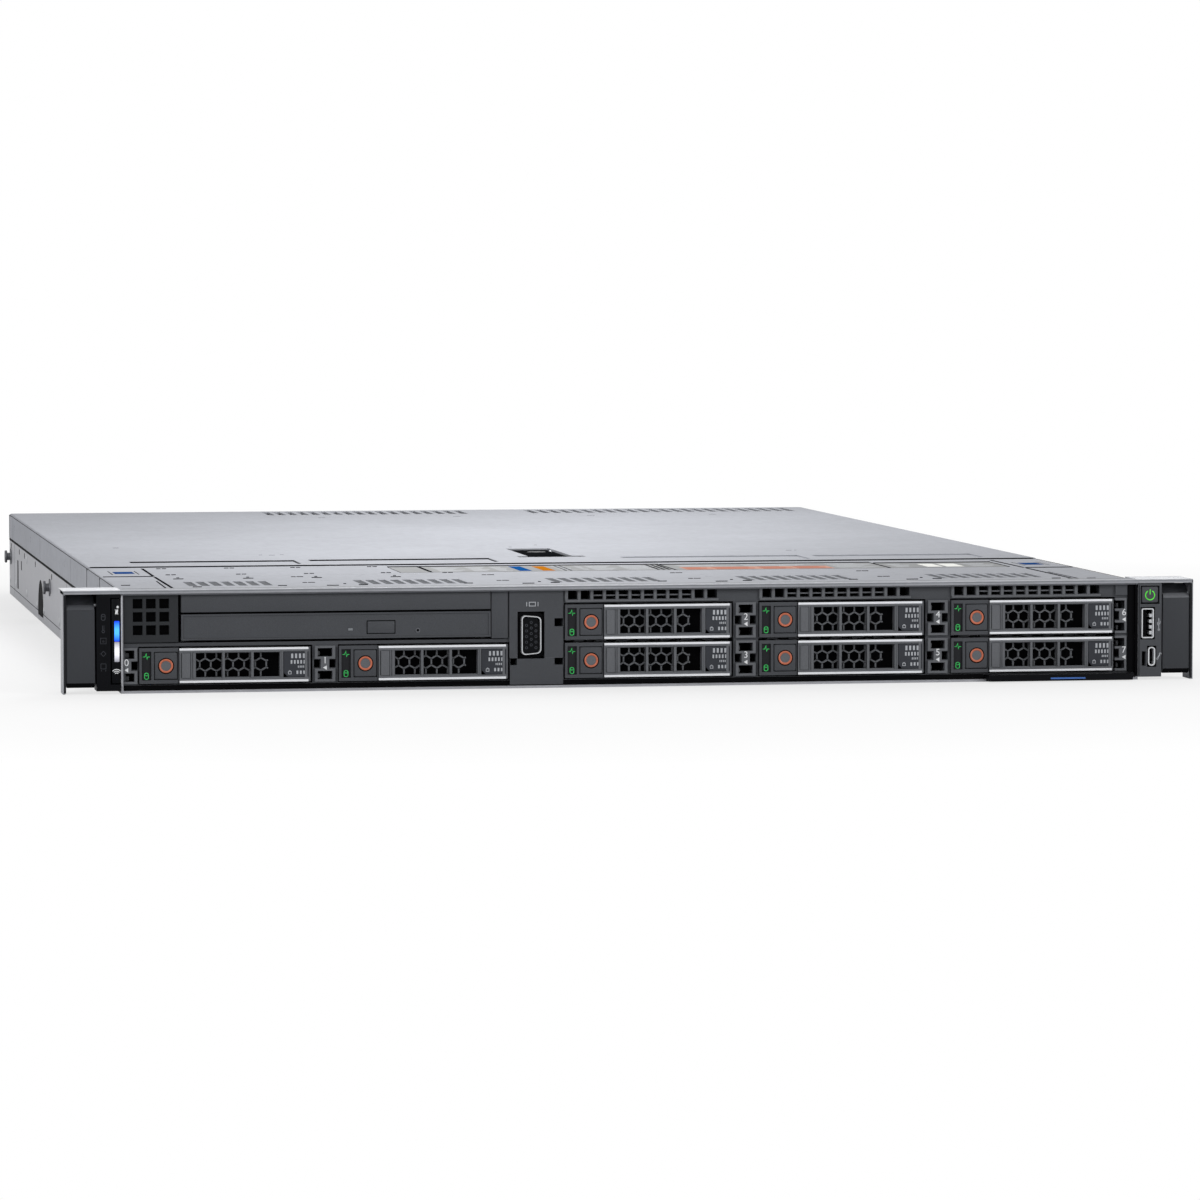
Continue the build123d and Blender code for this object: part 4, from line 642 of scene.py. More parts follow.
def digit(name, text, u, v, height, w, body, finish):
    """A plain number as a raised print: its curve becomes a mesh before it is placed."""
    curve = bpy.data.curves.new(name, "FONT")
    curve.body, curve.size, curve.extrude = text, height * 1.42, 0.06
    curve.align_x, curve.align_y = "CENTER", "CENTER"
    source = bpy.data.objects.new(name + "_curve", curve)
    mesh = bpy.data.meshes.new_from_object(source)
    bpy.data.objects.remove(source)
    flat = np.zeros(len(mesh.vertices) * 3)
    mesh.vertices.foreach_get("co", flat)
    flat = flat.reshape(-1, 3)
    middle = (flat.max(0) + flat.min(0)) / 2
    placed = lay(flat[:, :2] - middle[:2] + [u, v], 0)
    placed[:, 1] = w - flat[:, 2]
    mesh.vertices.foreach_set("co", (placed * MM + [0, FRONT, 0]).ravel())
    mesh.update()
    mesh.name = name
    mesh.materials.clear()
    mesh.materials.append(FINISHES[finish])
    made = bpy.data.objects.new(name, mesh)
    bpy.context.scene.collection.objects.link(made)
    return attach(made, body)


# Drives


WINDOWS = [(23.4, 34.3), (35.4, 46.3), (47.4, 58.3)]
WINDOW_LOW, WINDOW_HIGH = 2.4, 12.5
HEX_FIRST, HEX_END = 27.5, 53.6
HANDLE_PIVOT = (68.7, 3.7)


def honeycomb(shape, u, v, w, bar, pitch, first):
    """Hexagon lattice in one window: two zigzags about the middle, upright sides between them, stems beyond.

    The zigzag at u is half a side plus half a side times the triangle wave of the distance to the
    nearest peak.
    """
    side = pitch / np.sqrt(3)
    middle = sum(v) / 2
    peaks = first + pitch * np.arange(-8, 30)
    knots = np.sort(np.concatenate([peaks, peaks + pitch / 2]))
    us = np.concatenate([[u[0]], knots[(knots > u[0] + 0.1) & (knots < u[1] - 0.1)], [u[1]]])
    phase = np.abs((us - first) / pitch - np.round((us - first) / pitch)) * 2
    height = side / 2 + side / 2 * (1 - phase)
    for sign in (-1, 1):
        shape.stroke(np.stack([us, middle + sign * height], -1), bar, w)
        for peak in peaks[(peaks > u[0]) & (peaks < u[1])]:
            end = v[1] if sign > 0 else v[0]
            shape.stroke([(peak, middle + sign * side), (peak, end)], bar, w)
    valleys = peaks + pitch / 2
    for valley in valleys[(valleys > u[0]) & (valleys < u[1])]:
        shape.stroke([(valley, middle - side / 2), (valley, middle + side / 2)], bar, w)
    return shape


def drive_corner(slot):
    """Left edge, front and underside of a drive's carrier."""
    low, _ = span(f"drive_{slot}_carrier")
    return low[0], low[2]


def carrier_frame(x, z, sizes):
    """Painted front block of a carrier with its two pockets, and the steel body behind it."""
    low, high = sizes
    width, height = high[0] - low[0], high[2] - low[2]
    shape = Shape()
    pockets = [(0.95, 4.95, 1.35, height - 1.35), (6.0, 15.9, 1.5, height - 1.5)]
    shape.slab((0, 16.2), (0, height), (1.6, 4.2), pockets)
    shape.slab((0.3, 15.9), (0.3, height - 0.3), (6.6, 8.4))
    shape.slab((0.4, 15.8), (0.4, height - 0.4), (4.2, 6.6), [(5.6, 15.0, 1.0, height - 1.0)])
    # This sheet behind the handle's windows is deep black: painted shade of the carrier's inside.
    shape.slab((16.2, width), (0.3, height - 0.3), (6.8, 8.4), paint=1)
    for end in (0.0, width - 0.8):
        shape.box((end, end + 0.8), (6.9, high[1] - 0.4), (0.25, height - 0.25), 0.3, 2)
        for y in (24.0, 62.0, 96.0):
            outside = end + (0.02 if end else 0.78)
            shape.lathe([(2.4, outside), (2.4, outside + (0.7 if end else -0.7))], (y, height / 2), "yz",
                        12, paint=3)
    for level in (1.3, height - 2.5):
        shape.prism(np.concatenate([arc(*HANDLE_PIVOT, 1.35, 0, 180, 8),
                                    [(67.35, 7.0), (69.0, 7.0), (69.0, 3.7)]]),
                    (level, level + 1.2), "xy", 2)
    return shape.at(x, z)


def carrier_grille(x, z):
    """Grey honeycomb behind the handle's windows."""
    shape = Shape()
    for a, b in WINDOWS:
        end = min(b, HEX_END)
        field = (WINDOW_LOW + 0.1, WINDOW_HIGH - 0.1)
        honeycomb(shape, (a + 0.2, end), field, (3.7, 4.9), chosen("lattice_bar"),
                  chosen("lattice_pitch"), HEX_FIRST)
    return shape.at(x, z)


def disk_body(x, z, sizes):
    """Cast disk with a stepped lid, six screws and its plain white label, and a connector at the rear."""
    low, high = sizes
    width, height = high[0] - low[0] - 1.6, high[2] - low[2] - 0.2
    shape = Shape()
    shape.box((0.8, 0.8 + width), (10.0, 110.0), (0.1, height - 1.2), 1.2, steps=2)
    lid = corner_points(width / 2 - 1.2, 48.5, 5.0, 4) + [0.8 + width / 2, 60.0]
    shape.prism(lid, (height + 0.1, height - 1.3), "xy", edge=0.35)
    for u in (6.0, width - 4.4):
        for y in (15.0, 60.0, 105.0):
            shape.lathe([(1.9, height - 0.05), (1.9, height + 0.08), (0.9, height + 0.08),
                         (0.8, height - 0.4)], (u, y), "xy", 10, paint=1)
    shape.slab((12.0, width - 10.0), (22.0, 84.0), (height + 0.1, height + 0.14), (), "xy", 2)
    for index, long in enumerate((34.0, 22.0, 40.0, 28.0, 36.0, 18.0, 30.0, 38.0, 26.0)):
        y = 76.0 - index * 5.6
        shape.slab((15.0, 15.0 + long), (y, y + 1.3), (height + 0.13, height + 0.16), (), "xy", 3)
    shape.box((12.0, 54.0), (104.0, 110.15), (3.0, 9.5), 0.4, 3)
    return shape.at(x, z)


def handle_shape(x, z):
    """Channel of a drive handle: ribbed face with three windows, a grip, a label pad, and deep flanges."""
    shape = Shape()
    left, top, bottom = 16.5, 14.55, 0.15
    field = (21.7, 59.2, 1.95, 12.75)
    label = (59.7, 70.3, 1.95, 12.75)
    shape.slab((left, 70.4), (bottom, top), (1.05, 2.1), [field, label, (16.9, 21.3, 1.95, 12.75)])
    windows = [(a, b, WINDOW_LOW, WINDOW_HIGH) for a, b in WINDOWS]
    shape.slab((21.3, 59.6), (1.7, 13.0), (1.55, 2.4), windows)
    shape.box((16.95, 21.25), (1.2, 2.4), (2.0, 12.7), 0.25)
    for a, _ in WINDOWS[1:]:
        shape.box((a - 1.1, a), (1.15, 6.2), (1.9, 12.8), 0.12)
    shape.box((22.1, 23.3), (1.3, 6.0), (1.9, 12.8), 0.12)
    shape.box((58.4, 59.3), (1.3, 6.0), (1.9, 12.8), 0.12)
    for low in (bottom, top - 1.0):
        shape.box((left, HANDLE_PIVOT[0]), (1.2, 6.4), (low, low + 1.0), 0.15)
    shape.box((left, left + 1.2), (1.2, 6.4), (bottom, top), 0.2)
    outer, inner = arc(*HANDLE_PIVOT, 2.7, -90, 0, 8), arc(*HANDLE_PIVOT, 1.6, 0, -90, 8)
    shape.prism(np.concatenate([outer, inner]), (bottom, top), "xy")
    shape.lathe([(0.68, bottom + 0.4), (0.68, top - 0.4)], HANDLE_PIVOT, "xy", 12, paint=1)
    return shape.at(x, z)


def handle_label(x, z):
    """Label pad with one cut corner, and a padlock and plain bars where its print is."""
    pad = [(61.6, 2.1), (70.1, 2.1), (70.1, 12.6), (59.9, 12.6), (59.9, 3.9)]
    shape = Shape().prism(pad, (1.22, 2.2), edge=0.12)
    rows = [(63.0, 69.5, 9.9, 1.9), (62.8, 69.5, 7.6, 1.5), (65.8, 69.5, 5.9, 0.9), (65.2, 69.5, 3.3, 1.4)]
    for low, high, level, tall in rows:
        letters = int((high - low) / (tall * 0.78))
        step = (high - low) / letters
        for index in range(letters):
            left = low + index * step
            shape.slab((left, left + step * 0.52), (level, level + tall), (1.16, 1.24), paint=1)
    for path, width, closed in padlock_mark(62.4, 4.1, 0.85):
        shape.stroke(path, width, (1.16, 1.24), closed=closed, paint=1)
    return shape.at(x, z)


def build_drive(slot):
    """All pieces of one drive: carrier, grille, disk, lights, handle, strips, label, button and ring."""
    x, z = drive_corner(slot)
    sizes = span(f"drive_{slot}_carrier")
    height = sizes[1][2] - sizes[0][2]
    carrier, handle, button = (f"drive_{slot}_{part}" for part in ("carrier", "handle", "button"))
    piece(f"drive_{slot}_frame", carrier_frame(x, z, sizes), carrier,
          ["charcoal", "deep black", "disk casting", "screw metal"], [carrier], 0.18,
          wear_and_highlight="charcoal edge")
    piece(f"drive_{slot}_grille", carrier_grille(x, z), carrier, ["comb grey"])
    piece(f"drive_{slot}_disk", disk_body(x, z, sizes), carrier,
          ["disk casting", "screw metal", "label white", "print grey"])
    panel = Shape().box((x + 0.85, x + 5.05), (2.4, 6.9), (z + 1.25, z + height - 1.25), 0.2)
    piece(f"drive_{slot}_light_strip", panel, carrier, ["soft black"])
    lights = pulse_mark(x + 2.95, z + 11.2, 0.8) + cylinder_mark(x + 2.95, z + 3.1, 0.8)
    piece(f"drive_{slot}_lights", marks_shape(lights, (2.28, 2.45)), carrier, ["green light"])
    piece(f"drive_{slot}_grip", handle_shape(x, z), handle, ["handle plastic", "screw metal"], [handle],
          0.14, wear_and_highlight="charcoal edge")
    strips = Shape()
    for low in (z + 0.15, z + 13.6):
        strips.box((x + 16.5, x + 70.2), (0.92, 1.6), (low, low + 0.95), 0.12)
    piece(f"drive_{slot}_strips", strips, handle, ["bright strip"])
    piece(f"drive_{slot}_label", handle_label(x, z), handle, ["label plate", "print grey"])
    face, middle = (x + 10.95, z + 7.35), 1.2
    push = Shape().box((x + 6.3, x + 15.6), (middle, 5.6), (z + 1.8, z + 12.9), 0.55, steps=3)
    piece(f"drive_{slot}_push", push, button, ["charcoal"], [button])
    band = [(2.05, 1.2), (2.15, 1.0), (2.4, 0.86), (2.68, 0.86), (2.88, 1.0), (2.95, 1.2)]
    ring = Shape().lathe(band, face, closed=True, steps=36)
    # A black ring round the band: painted shadow in the groove round the ring.
    ring.lathe([(3.4, 1.3), (3.35, 1.15), (2.9, 1.15), (2.9, 1.3)], face, "xz", 36, True, 1)
    ring.lathe([(2.1, 1.3), (2.05, 1.12), (0.3, 1.14)], face, steps=36, paint=2)
    return piece(f"drive_{slot}_ring", ring, button, ["ring paint", "deep black", "handle plastic"])


# Bezel


def columns():
    """Left edge of each drive column, and the underside of each row."""
    corners = np.array([drive_corner(slot) for slot in DRIVES]).round(3)
    return sorted(set(corners[:, 0])), sorted(set(corners[:, 1]))


def separator_post(shape, middle, z, height, ends=None):
    """Raised frames round two side windows and the waist between them, cut off where ends says."""
    wide, tall = 4.3, 4.2
    start, end = ends or (middle - wide, middle + wide)
    for low in (z + 0.5, z + height - 0.5 - tall):
        window = (middle - wide + 1.25, middle + wide - 1.25, low + 0.35, low + tall - 0.35)
        shape.slab((start, end), (low - 0.65, low + tall + 0.65), (2.0, 4.4), [window])
        shape.box((start + 0.9, start + 2.4), (5.0, 9.0), (low + 0.6, low + tall - 1.6), 0.2)
    shape.slab((max(start, middle - 1.75), middle + 1.75), (z + 4.9, z + height - 4.9), (2.1, 5.0))


def slot_numbers(places, zs, height):
    """Plain number and left-hand arrow of each drive, from the mark's middle, its row and its number."""
    arrows = Shape()
    for u, row, number in places:
        z = zs[row] + height / 2
        digit(f"slot_number_{number}", str(number), u, z + 1.5, 2.8, 2.05, "chassis", "mark white")
        arrows.prism(triangle(u, z - 1.7, 1.0), (1.95, 2.2))
    return piece("slot_arrows", arrows, "chassis", ["mark white"])


def build_bezel():
    """Drive bay frame: cell vents over the tall columns, framed windows, and a wide body below."""
    low, high = span("drive_bay_bezel")
    xs, zs = columns()
    height = span("drive_0_carrier")[1][2] - zs[0]
    width = span("drive_0_carrier")[1][0] - span("drive_0_carrier")[0][0]
    front, back = low[1], high[1]
    left, right, bottom, top = low[0], high[0], low[2], high[2]
    upper_right = xs[1] + width + 0.05
    shelf = zs[0] + height + 2.0
    cell_low = top - 4.2
    holes = [(left - 1, upper_right, shelf, top + 1)]
    for x in xs:
        roof = zs[1] + height + 0.6 if x > xs[1] + 1 else zs[0] + height + 0.6
        holes.append((x - 0.35, x + width + 0.65, zs[0] - 0.5, roof))
    cells = Shape()
    for x in xs[2:]:
        starts = x + 1.6 + 5.4 * np.arange(12)
        holes += [(start - 0.3, start + 4.1, cell_low, top + 1) for start in starts]
        for index, start in enumerate(starts):
            cells.box((start - 1.65, start - 0.3), (2.05, 4.2), (cell_low - 0.4, top - 0.05), 0.2)
            if 1 < index < 10:
                cells.box((start - 0.35, start + 4.1), (2.9, 4.6), (cell_low + 1.3, cell_low + 1.9), 0.12)
        cells.box((x + 0.2, x + 65.6), (2.1, 4.4), (cell_low - 1.2, cell_low - 0.1), 0.25)
    tag_low, tag_high = span("information_tag")
    holes.append((tag_low[0] - 0.3, tag_high[0] + 0.3, bottom - 1, 2.9))
    port_hole = (-51.0, -39.5, 12.2, 32.0)
    holes.append(port_hole)
    gap = xs[3] - xs[2] - width
    edge = xs[4] + width
    middles = [(xs[index] + width + gap / 2, 2 if index > 1 else 1) for index in (0, 2, 3)]
    posts = Shape()
    for middle, rows in middles:
        for row in range(rows):
            z = zs[row]
            holes += [(middle - 3.35, middle + 3.35, z + 0.5, z + 4.7),
                      (middle - 3.35, middle + 3.35, z + height - 4.7, z + height - 0.5)]
            holes += [(middle - 4.6, middle - 1.9, z + 5.6, z + height - 5.6),
                      (middle + 1.9, middle + 4.6, z + 5.6, z + height - 5.6)]
            separator_post(posts, middle, z, height)
    first = left + 1.3
    for start, end, z in ((edge + 0.3, edge + 4.5, zs[0]), (edge + 0.3, edge + 4.5, zs[1]),
                          (left + 0.7, first + 3.05, zs[0])):
        holes += [(start, end, z + 0.5, z + 4.7), (start, end, z + height - 4.7, z + height - 0.5)]
    holes += [(first + 1.9, first + 4.6, zs[0] + 5.6, zs[0] + height - 5.6)]
    holes += [(edge + 0.3, edge + 2.2, z + 5.6, z + height - 5.6) for z in zs[:2]]
    separator_post(posts, first, zs[0], height, (left, first + 4.3))
    for z in zs[:2]:
        for low in (z + 0.5, z + height - 4.7):
            posts.slab((edge + 0.3, edge + 5.4), (low - 0.65, low + 4.85), (2.0, 4.4),
                       [(edge, edge + 4.5, low + 0.35, low + 3.85)])
            posts.box((edge + 1.6, edge + 2.5), (5.0, 9.0), (low + 0.6, low + 2.6), 0.2)
        posts.slab((edge + 2.2, edge + 5.4), (z + 4.9, z + height - 4.9), (2.1, 5.0))
    panel_right = xs[2] - 0.9
    holes += [(panel_right - 3.6, panel_right + 0.2, z + 5.6, z + height - 5.6) for z in zs[:2]]
    holes.append((xs[1] + width + 0.8, xs[1] + width + 3.6, zs[0] + 5.6, zs[0] + height - 5.6))
    main = Shape().slab((left, right), (bottom, top), (front + 1.0, back), holes)
    face_left, face_right = upper_right + 0.3, xs[2] - 0.9
    upper = (face_right - 3.6, face_right + 1, zs[1] + 5.6, zs[1] + height - 5.6)
    lower = (face_right - 3.6, face_right + 1, zs[0] + 5.6, shelf - 8.1)
    beside = (xs[1] + width, xs[1] + width + 3.6, zs[0] + 5.6, shelf - 8.1)
    main.slab((face_left, face_right), (shelf - 8.0, top), (front, front + 1.1), [port_hole, upper])
    main.slab((xs[1] + width + 0.6, face_right), (bottom, shelf - 8.0), (front, front + 1.1),
              [port_hole, lower, beside])
    main.slab((edge + 0.5, edge + 5.6), (zs[1] + height + 1.4, top), (front, front + 1.1))
    for x in xs[2:]:
        for start in x + 4.0 + 9.2 * np.arange(7):
            for level in (zs[0] + height + 0.35, zs[1] + height + 0.45):
                cells.box((start, start + 4.6), (5.0, 8.0), (level, level + 0.7), 0.15)
    for x in xs[:2]:
        for start in x + 4.0 + 9.2 * np.arange(7):
            cells.box((start, start + 4.6), (4.4, 7.4), (zs[0] + height + 0.55, zs[0] + height + 1.25), 0.15)
    bays = [(x - 0.35, x + width + 0.35, zs[0] - 0.5, (zs[1] if x >= xs[2] else zs[0]) + height + 0.6)
            for x in xs]
    # Black sheets that paint shade: behind the bays and the upper opening, a band below the drives, and dark
    # strips at the right end.
    black = Shape().slab((left + 0.5, right - 0.5), (bottom + 0.2, top - 0.2), (back - 0.6, back - 0.1),
                         [*bays, (left - 1, upper_right, shelf, top + 1)])
    black.slab((left, tag_low[0] - 0.4), (bottom, zs[0] - 0.75), (front + 0.85, front + 1.05))
    black.box((right + 0.1, right + 1.2), (front - 1.2, front + 0.4), (bottom, top), 0.2)
    black.box((edge + 6.0, right), (front, front + 1.05), (3.2, top), 0.2)
    piece("bezel_body", main, "chassis", ["charcoal"], ["drive_bay_bezel"], 0.22,
          wear_and_highlight="charcoal edge")
    piece("bezel_posts", posts, "chassis", ["post plastic"], bevel=0.16, wear_and_highlight="charcoal edge")
    piece("bezel_cells", cells, "chassis", ["post plastic"])
    piece("bezel_shade_screen", black, "chassis", ["deep black"])
    marked = [(middles[0][0], 0, 1), (middles[1][0], 1, 2), (middles[1][0], 0, 3), (middles[2][0], 1, 4),
              (middles[2][0], 0, 5), (edge + 4.3, 1, 6), (edge + 4.3, 0, 7), (left + 1.1, 0, 0)]
    return slot_numbers(marked, zs, height)


def build_display_port():
    """Metal D-shaped shell round a black core with fifteen contact holes, between its two hex nuts' seats."""
    shell_low, shell_high = -49.45, -41.05
    middle_u, middle_v = (shell_low + shell_high) / 2, 22.15
    half_u, half_v = (shell_high - shell_low) / 2, 8.45

    def outline(margin):
        """Rounded rectangle whose right side is shorter: v shrinks in step with u."""
        points = corner_points(half_u + margin, half_v + margin, 1.8 + margin * 0.5, 5)
        points[:, 1] *= 1 - 0.09 * (points[:, 0] / half_u + 1) / 2
        return points + [middle_u, middle_v]

    shell = [lay(outline(margin), y) for margin, y in ((0, 9.6), (0, 0.95), (-0.1, 0.7), (-0.42, 0.7),
                                                       (-0.52, 0.95), (-0.52, 9.6))]
    metal = Shape().sweep(shell, closed=True)
    core = Shape().sweep([lay(outline(margin), y) for margin, y in ((-0.7, 9.5), (-0.7, 1.9), (-1.0, 1.6))])
    # A black flange round the core: painted shade in the gap inside the shell.
    core.sweep([lay(outline(margin), y) for margin, y in ((1.7, 3.4), (1.7, 2.9), (0.1, 2.9), (0.1, 3.4))],
               closed=True, paint=1)
    holes = Shape()
    for column in range(3):
        for row in range(5):
            v = middle_v + (row - 2) * 2.35 + (0.6 if column % 2 else -0.6)
            holes.lathe([(0.62, 1.62), (0.62, 1.5), (0.36, 1.5), (0.3, 1.62)],
                        (middle_u + (column - 1) * 2.0, v), steps=12, closed=True)
            # Black discs in the contact holes: painted shade in them.
            holes.lathe([(0.3, 1.7), (0.3, 1.57)], (middle_u + (column - 1) * 2.0, v), steps=8, paint=1)
    piece("display_shell", metal, "chassis", ["port metal"], ["front_ports"])
    piece("display_core", core, "chassis", ["panel black", "deep black"])
    piece("display_contacts", holes, "chassis", ["mark grey", "deep black"])
    screen = [(moved([(-1.3, -0.8), (1.3, -0.8), (1.3, 0.8), (-1.3, 0.8)], -44.7, 35.1), 0.3, True)]
    for side in (-1, 1):
        screen.append(([(-44.7 + side * 2.4, 34.2), (-44.7 + side * 2.4, 36.0)], 0.3, False))
    return piece("display_mark", marks_shape(screen, (1.9, 2.1)), "chassis", ["print grey"])


# Upper bay


def upper_face():
    """Front plane of the upper bay, and the disc tray's face from left to right."""
    left = span("optical_tray")[0][0]
    return span("front_fillers")[0][1], (left, left + 129.6)


def build_fillers():
    """Vent panel with nine square holes, the blank strip and the spacer."""
    low, high = span("front_fillers")
    face_x = upper_face()[1]
    top, floor = high[2], low[2]
    vent_right, front = low[0] + 22.6, low[1]
    vent_middle = (low[0] + vent_right) / 2
    middle_z = (floor + top) / 2 + 0.6
    half = 2.0
    holes = [(vent_middle + u - half, vent_middle + u + half, middle_z + v - half, middle_z + v + half)
             for u in (-5.5, 0, 5.5) for v in (-5.5, 0, 5.5)]
    vent = Shape().slab((low[0], vent_right), (floor, top), (front, front + 2.5), holes)
    # A black sheet behind the holes: painted shade inside the bay.
    vent.slab((low[0], vent_right), (floor, top), (front + 2.6, front + 3.0), paint=1)
    vent.box((low[0], low[0] + 1.2), (front + 0.6, 12.0), (floor, top), 0.2)
    piece("vent_panel", vent, "chassis", ["vent black", "deep black"], ["front_fillers"],
          0.42, 3)
    blank_low = span("optical_tray")[0][2] + 10.8 + 0.8
    blank = Shape().box(face_x, (front, front + 2.5), (blank_low, top), 0.35, steps=2)
    for x in (face_x[0] + 6.0, face_x[1] - 10.0):
        blank.box((x, x + 4.0), (front + 2.0, 25.0), (blank_low + 0.2, blank_low + 2.0), 0.3)
    spacer = (face_x[1] + 0.3, high[0])
    blank.box(spacer, (front, front + 2.5), (floor, top), 0.35, steps=2)
    blank.box((spacer[1] - 1.2, spacer[1]), (front + 1.0, 12.0), (floor, top), 0.3)
    # A black sheet behind the blank strip: painted shade in the gap behind it.
    blank.slab((face_x[0] - 0.8, face_x[1] + 0.4), (31.9, top - 0.2), (front + 2.6, front + 2.9), paint=1)
    return piece("blank_strip", blank, "chassis", ["charcoal", "deep black"])


def build_disc_tray():
    """Face of the disc tray with its pocket for the button, and the round well and hub behind it."""
    front, face_x = upper_face()
    tray_high = span("optical_tray")[1]
    button_low, button_high = span("eject_button")
    pocket = (button_low[0] - 0.3, button_high[0] + 0.3, button_low[2] - 0.3, button_high[2] + 0.3)
    face_low, face_top = 21.6, 32.4
    face = Shape().slab(face_x, (face_low, face_top), (front, front + 0.9),
                        [(face_x[0] + 0.9, face_x[1] - 0.9, face_low + 0.8, face_top - 0.8)])
    face.slab((face_x[0] + 0.7, face_x[1] - 0.7), (face_low + 0.6, face_top - 0.6),
              (front + 0.35, front + 3.2), [pocket])
    middle = (face_x[0] + face_x[1]) / 2
    tray_z = (23.35, 28.35)
    face.slab((middle - 62.9, middle + 62.9), (front + 3.2, tray_high[1]),
              (tray_z[0], tray_z[1] - 2.2), (), "xy")
    well = (middle, front + 3.2 + 61.5)
    outline = corner_points(62.9, (tray_high[1] - front - 3.2) / 2, 0.5, 15)
    centre = np.array([middle, (front + 3.2 + tray_high[1]) / 2])
    angles = np.arctan2(outline[:, 1] - (well[1] - centre[1]), outline[:, 0])
    circle = np.stack([np.cos(angles), np.sin(angles)], -1) * 60.4 + well
    rim = [lay(outline + centre, tray_z[1], "xy"), lay(circle, tray_z[1], "xy"),
           lay(circle, tray_z[1] - 2.3, "xy"), lay(outline + centre, tray_z[1] - 2.3, "xy")]
    face.sweep(rim, closed=True)
    face.lathe([(40.5, tray_z[1] - 2.25), (40.5, tray_z[1] - 1.7), (38.5, tray_z[1] - 1.7),
                (38.5, tray_z[1] - 2.25)], well, "xy", 48, True, 1)
    face.lathe([(15.0, tray_z[1] - 2.25), (14.4, tray_z[1] - 1.4), (8.2, tray_z[1] - 1.4),
                (7.5, tray_z[1] - 0.7), (3.0, tray_z[1] - 0.7)], well, "xy", 32, paint=1)
    for angle in np.radians([90, 210, 330]):
        ball = np.array(well) + 6.6 * np.array([np.cos(angle), np.sin(angle)])
        face.lathe([(0.9, tray_z[1] - 0.8), (0.8, tray_z[1] - 0.35), (0.3, tray_z[1] - 0.2)], ball, "xy",
                   10, paint=2)
    return piece("disc_tray", face, "optical_tray", ["charcoal", "soft black", "screw metal"],
                 ["optical_tray"], 0.15)


def build_eject_button():
    """Button of the disc tray, with its small lamp and pin hole."""
    push = block_of("eject_button", 0.3, 2)
    piece("eject_push", push, "eject_button", ["charcoal"], ["eject_button"])
    small = Shape().box((-122.3, -120.3), (2.05, 2.6), (24.9, 25.9), 0.15)
    small.lathe([(1.0, 2.36), (1.0, 2.2), (0.6, 2.2), (0.55, 2.36)], (-93.0, 24.7), steps=16,
                closed=True, paint=1)
    # A black disc in the pin hole: painted shade.
    small.lathe([(0.55, 2.4), (0.55, 2.3)], (-93.0, 24.7), steps=12, paint=2)
    return piece("tray_details", small, "optical_tray", ["led window", "charcoal edge", "deep black"])


# Rack ears and their panels

BOLT_X, BOLT_Z = 233.5, 20.0


def ear_latch_shape():
    """Grip of the left ear latch: one outline in Y and Z carried along X, drawn in at both ends.

    The outline goes up the flat face, through a quarter ellipse scoop under the lip, round the top and
    down the back.
    """
    low, high = span("left_ear_latch")
    left, right = -239.6, -227.7
    front, back, bottom, top = low[1], high[1], low[2], high[2]
    scoop = arc(0, 0, 1, 180, 90, 10) * [3.4, 2.6] + [front + 3.4, 34.3]
    crown = arc(back - 2.2, top - 2.2, 2.2, 80, 0, 5)
    base = arc(front + 2.2, bottom + 2.2, 2.2, 270, 180, 5)
    crest = [(front + 4.6, 37.6), (front + 6.4, top - 0.6), (front + 7.4, top)]
    outline = np.concatenate([scoop, crest, crown, [(back, bottom)], base])
    middle = outline.mean(0)
    sections = []
    for x, inset in ((left, 0.6), (left + 0.18, 0.18), (left + 0.6, 0.0), (right - 0.6, 0.0),
                     (right - 0.18, 0.18), (right, 0.6)):
        ray = outline - middle
        drawn = middle + ray * (1 - inset / np.linalg.norm(ray, axis=1))[:, None]
        sections.append(lay(drawn, x, "yz"))
    grip = Shape().sweep(sections)
    grip.lathe([(1.0, low[0]), (1.0, high[0])], (5.5, 36.5), "yz", 14, paint=1)
    # A band under the lip's curve gets its own finish: a painted highlight where the scoop faces up.
    lip = [arc(0, 0, 1, 168, 112, 8) * [3.4 + grow, 2.6 + grow] + [front + 3.4, 34.3]
           for grow in (0.14, -0.3)]
    # A band round the foot is painted black: painted shadow under the grip.
    foot_shadow_band = [arc(front + 2.2, bottom + 2.2, radius, 186, 268, 8) for radius in (2.26, 1.9)]
    grip.prism(np.concatenate([foot_shadow_band[0], foot_shadow_band[1][::-1]]), (left + 0.3, right - 0.3), "yz", paint=3)
    return grip.prism(np.concatenate([lip[0], lip[1][::-1]]), (left + 0.3, right - 0.3), "yz", paint=2)


def build_ear_latches():
    """Black scooped grips on both ears, with their steel pins."""
    left = ear_latch_shape()
    # The right grip's lip band has the lighter highlight finish; the left grip's has plain charcoal as its
    # shaded copy.
    finishes = ["latch plastic", "screw metal", "latch lip highlight", "deep black"]
    shaded = ["latch plastic", "screw metal", "charcoal", "deep black"]
    piece("ear_grip_left", left, "left_ear_latch", shaded, ["left_ear_latch"])
    return piece("ear_grip_right", left.mirrored(), "right_ear_latch", finishes, ["right_ear_latch"])


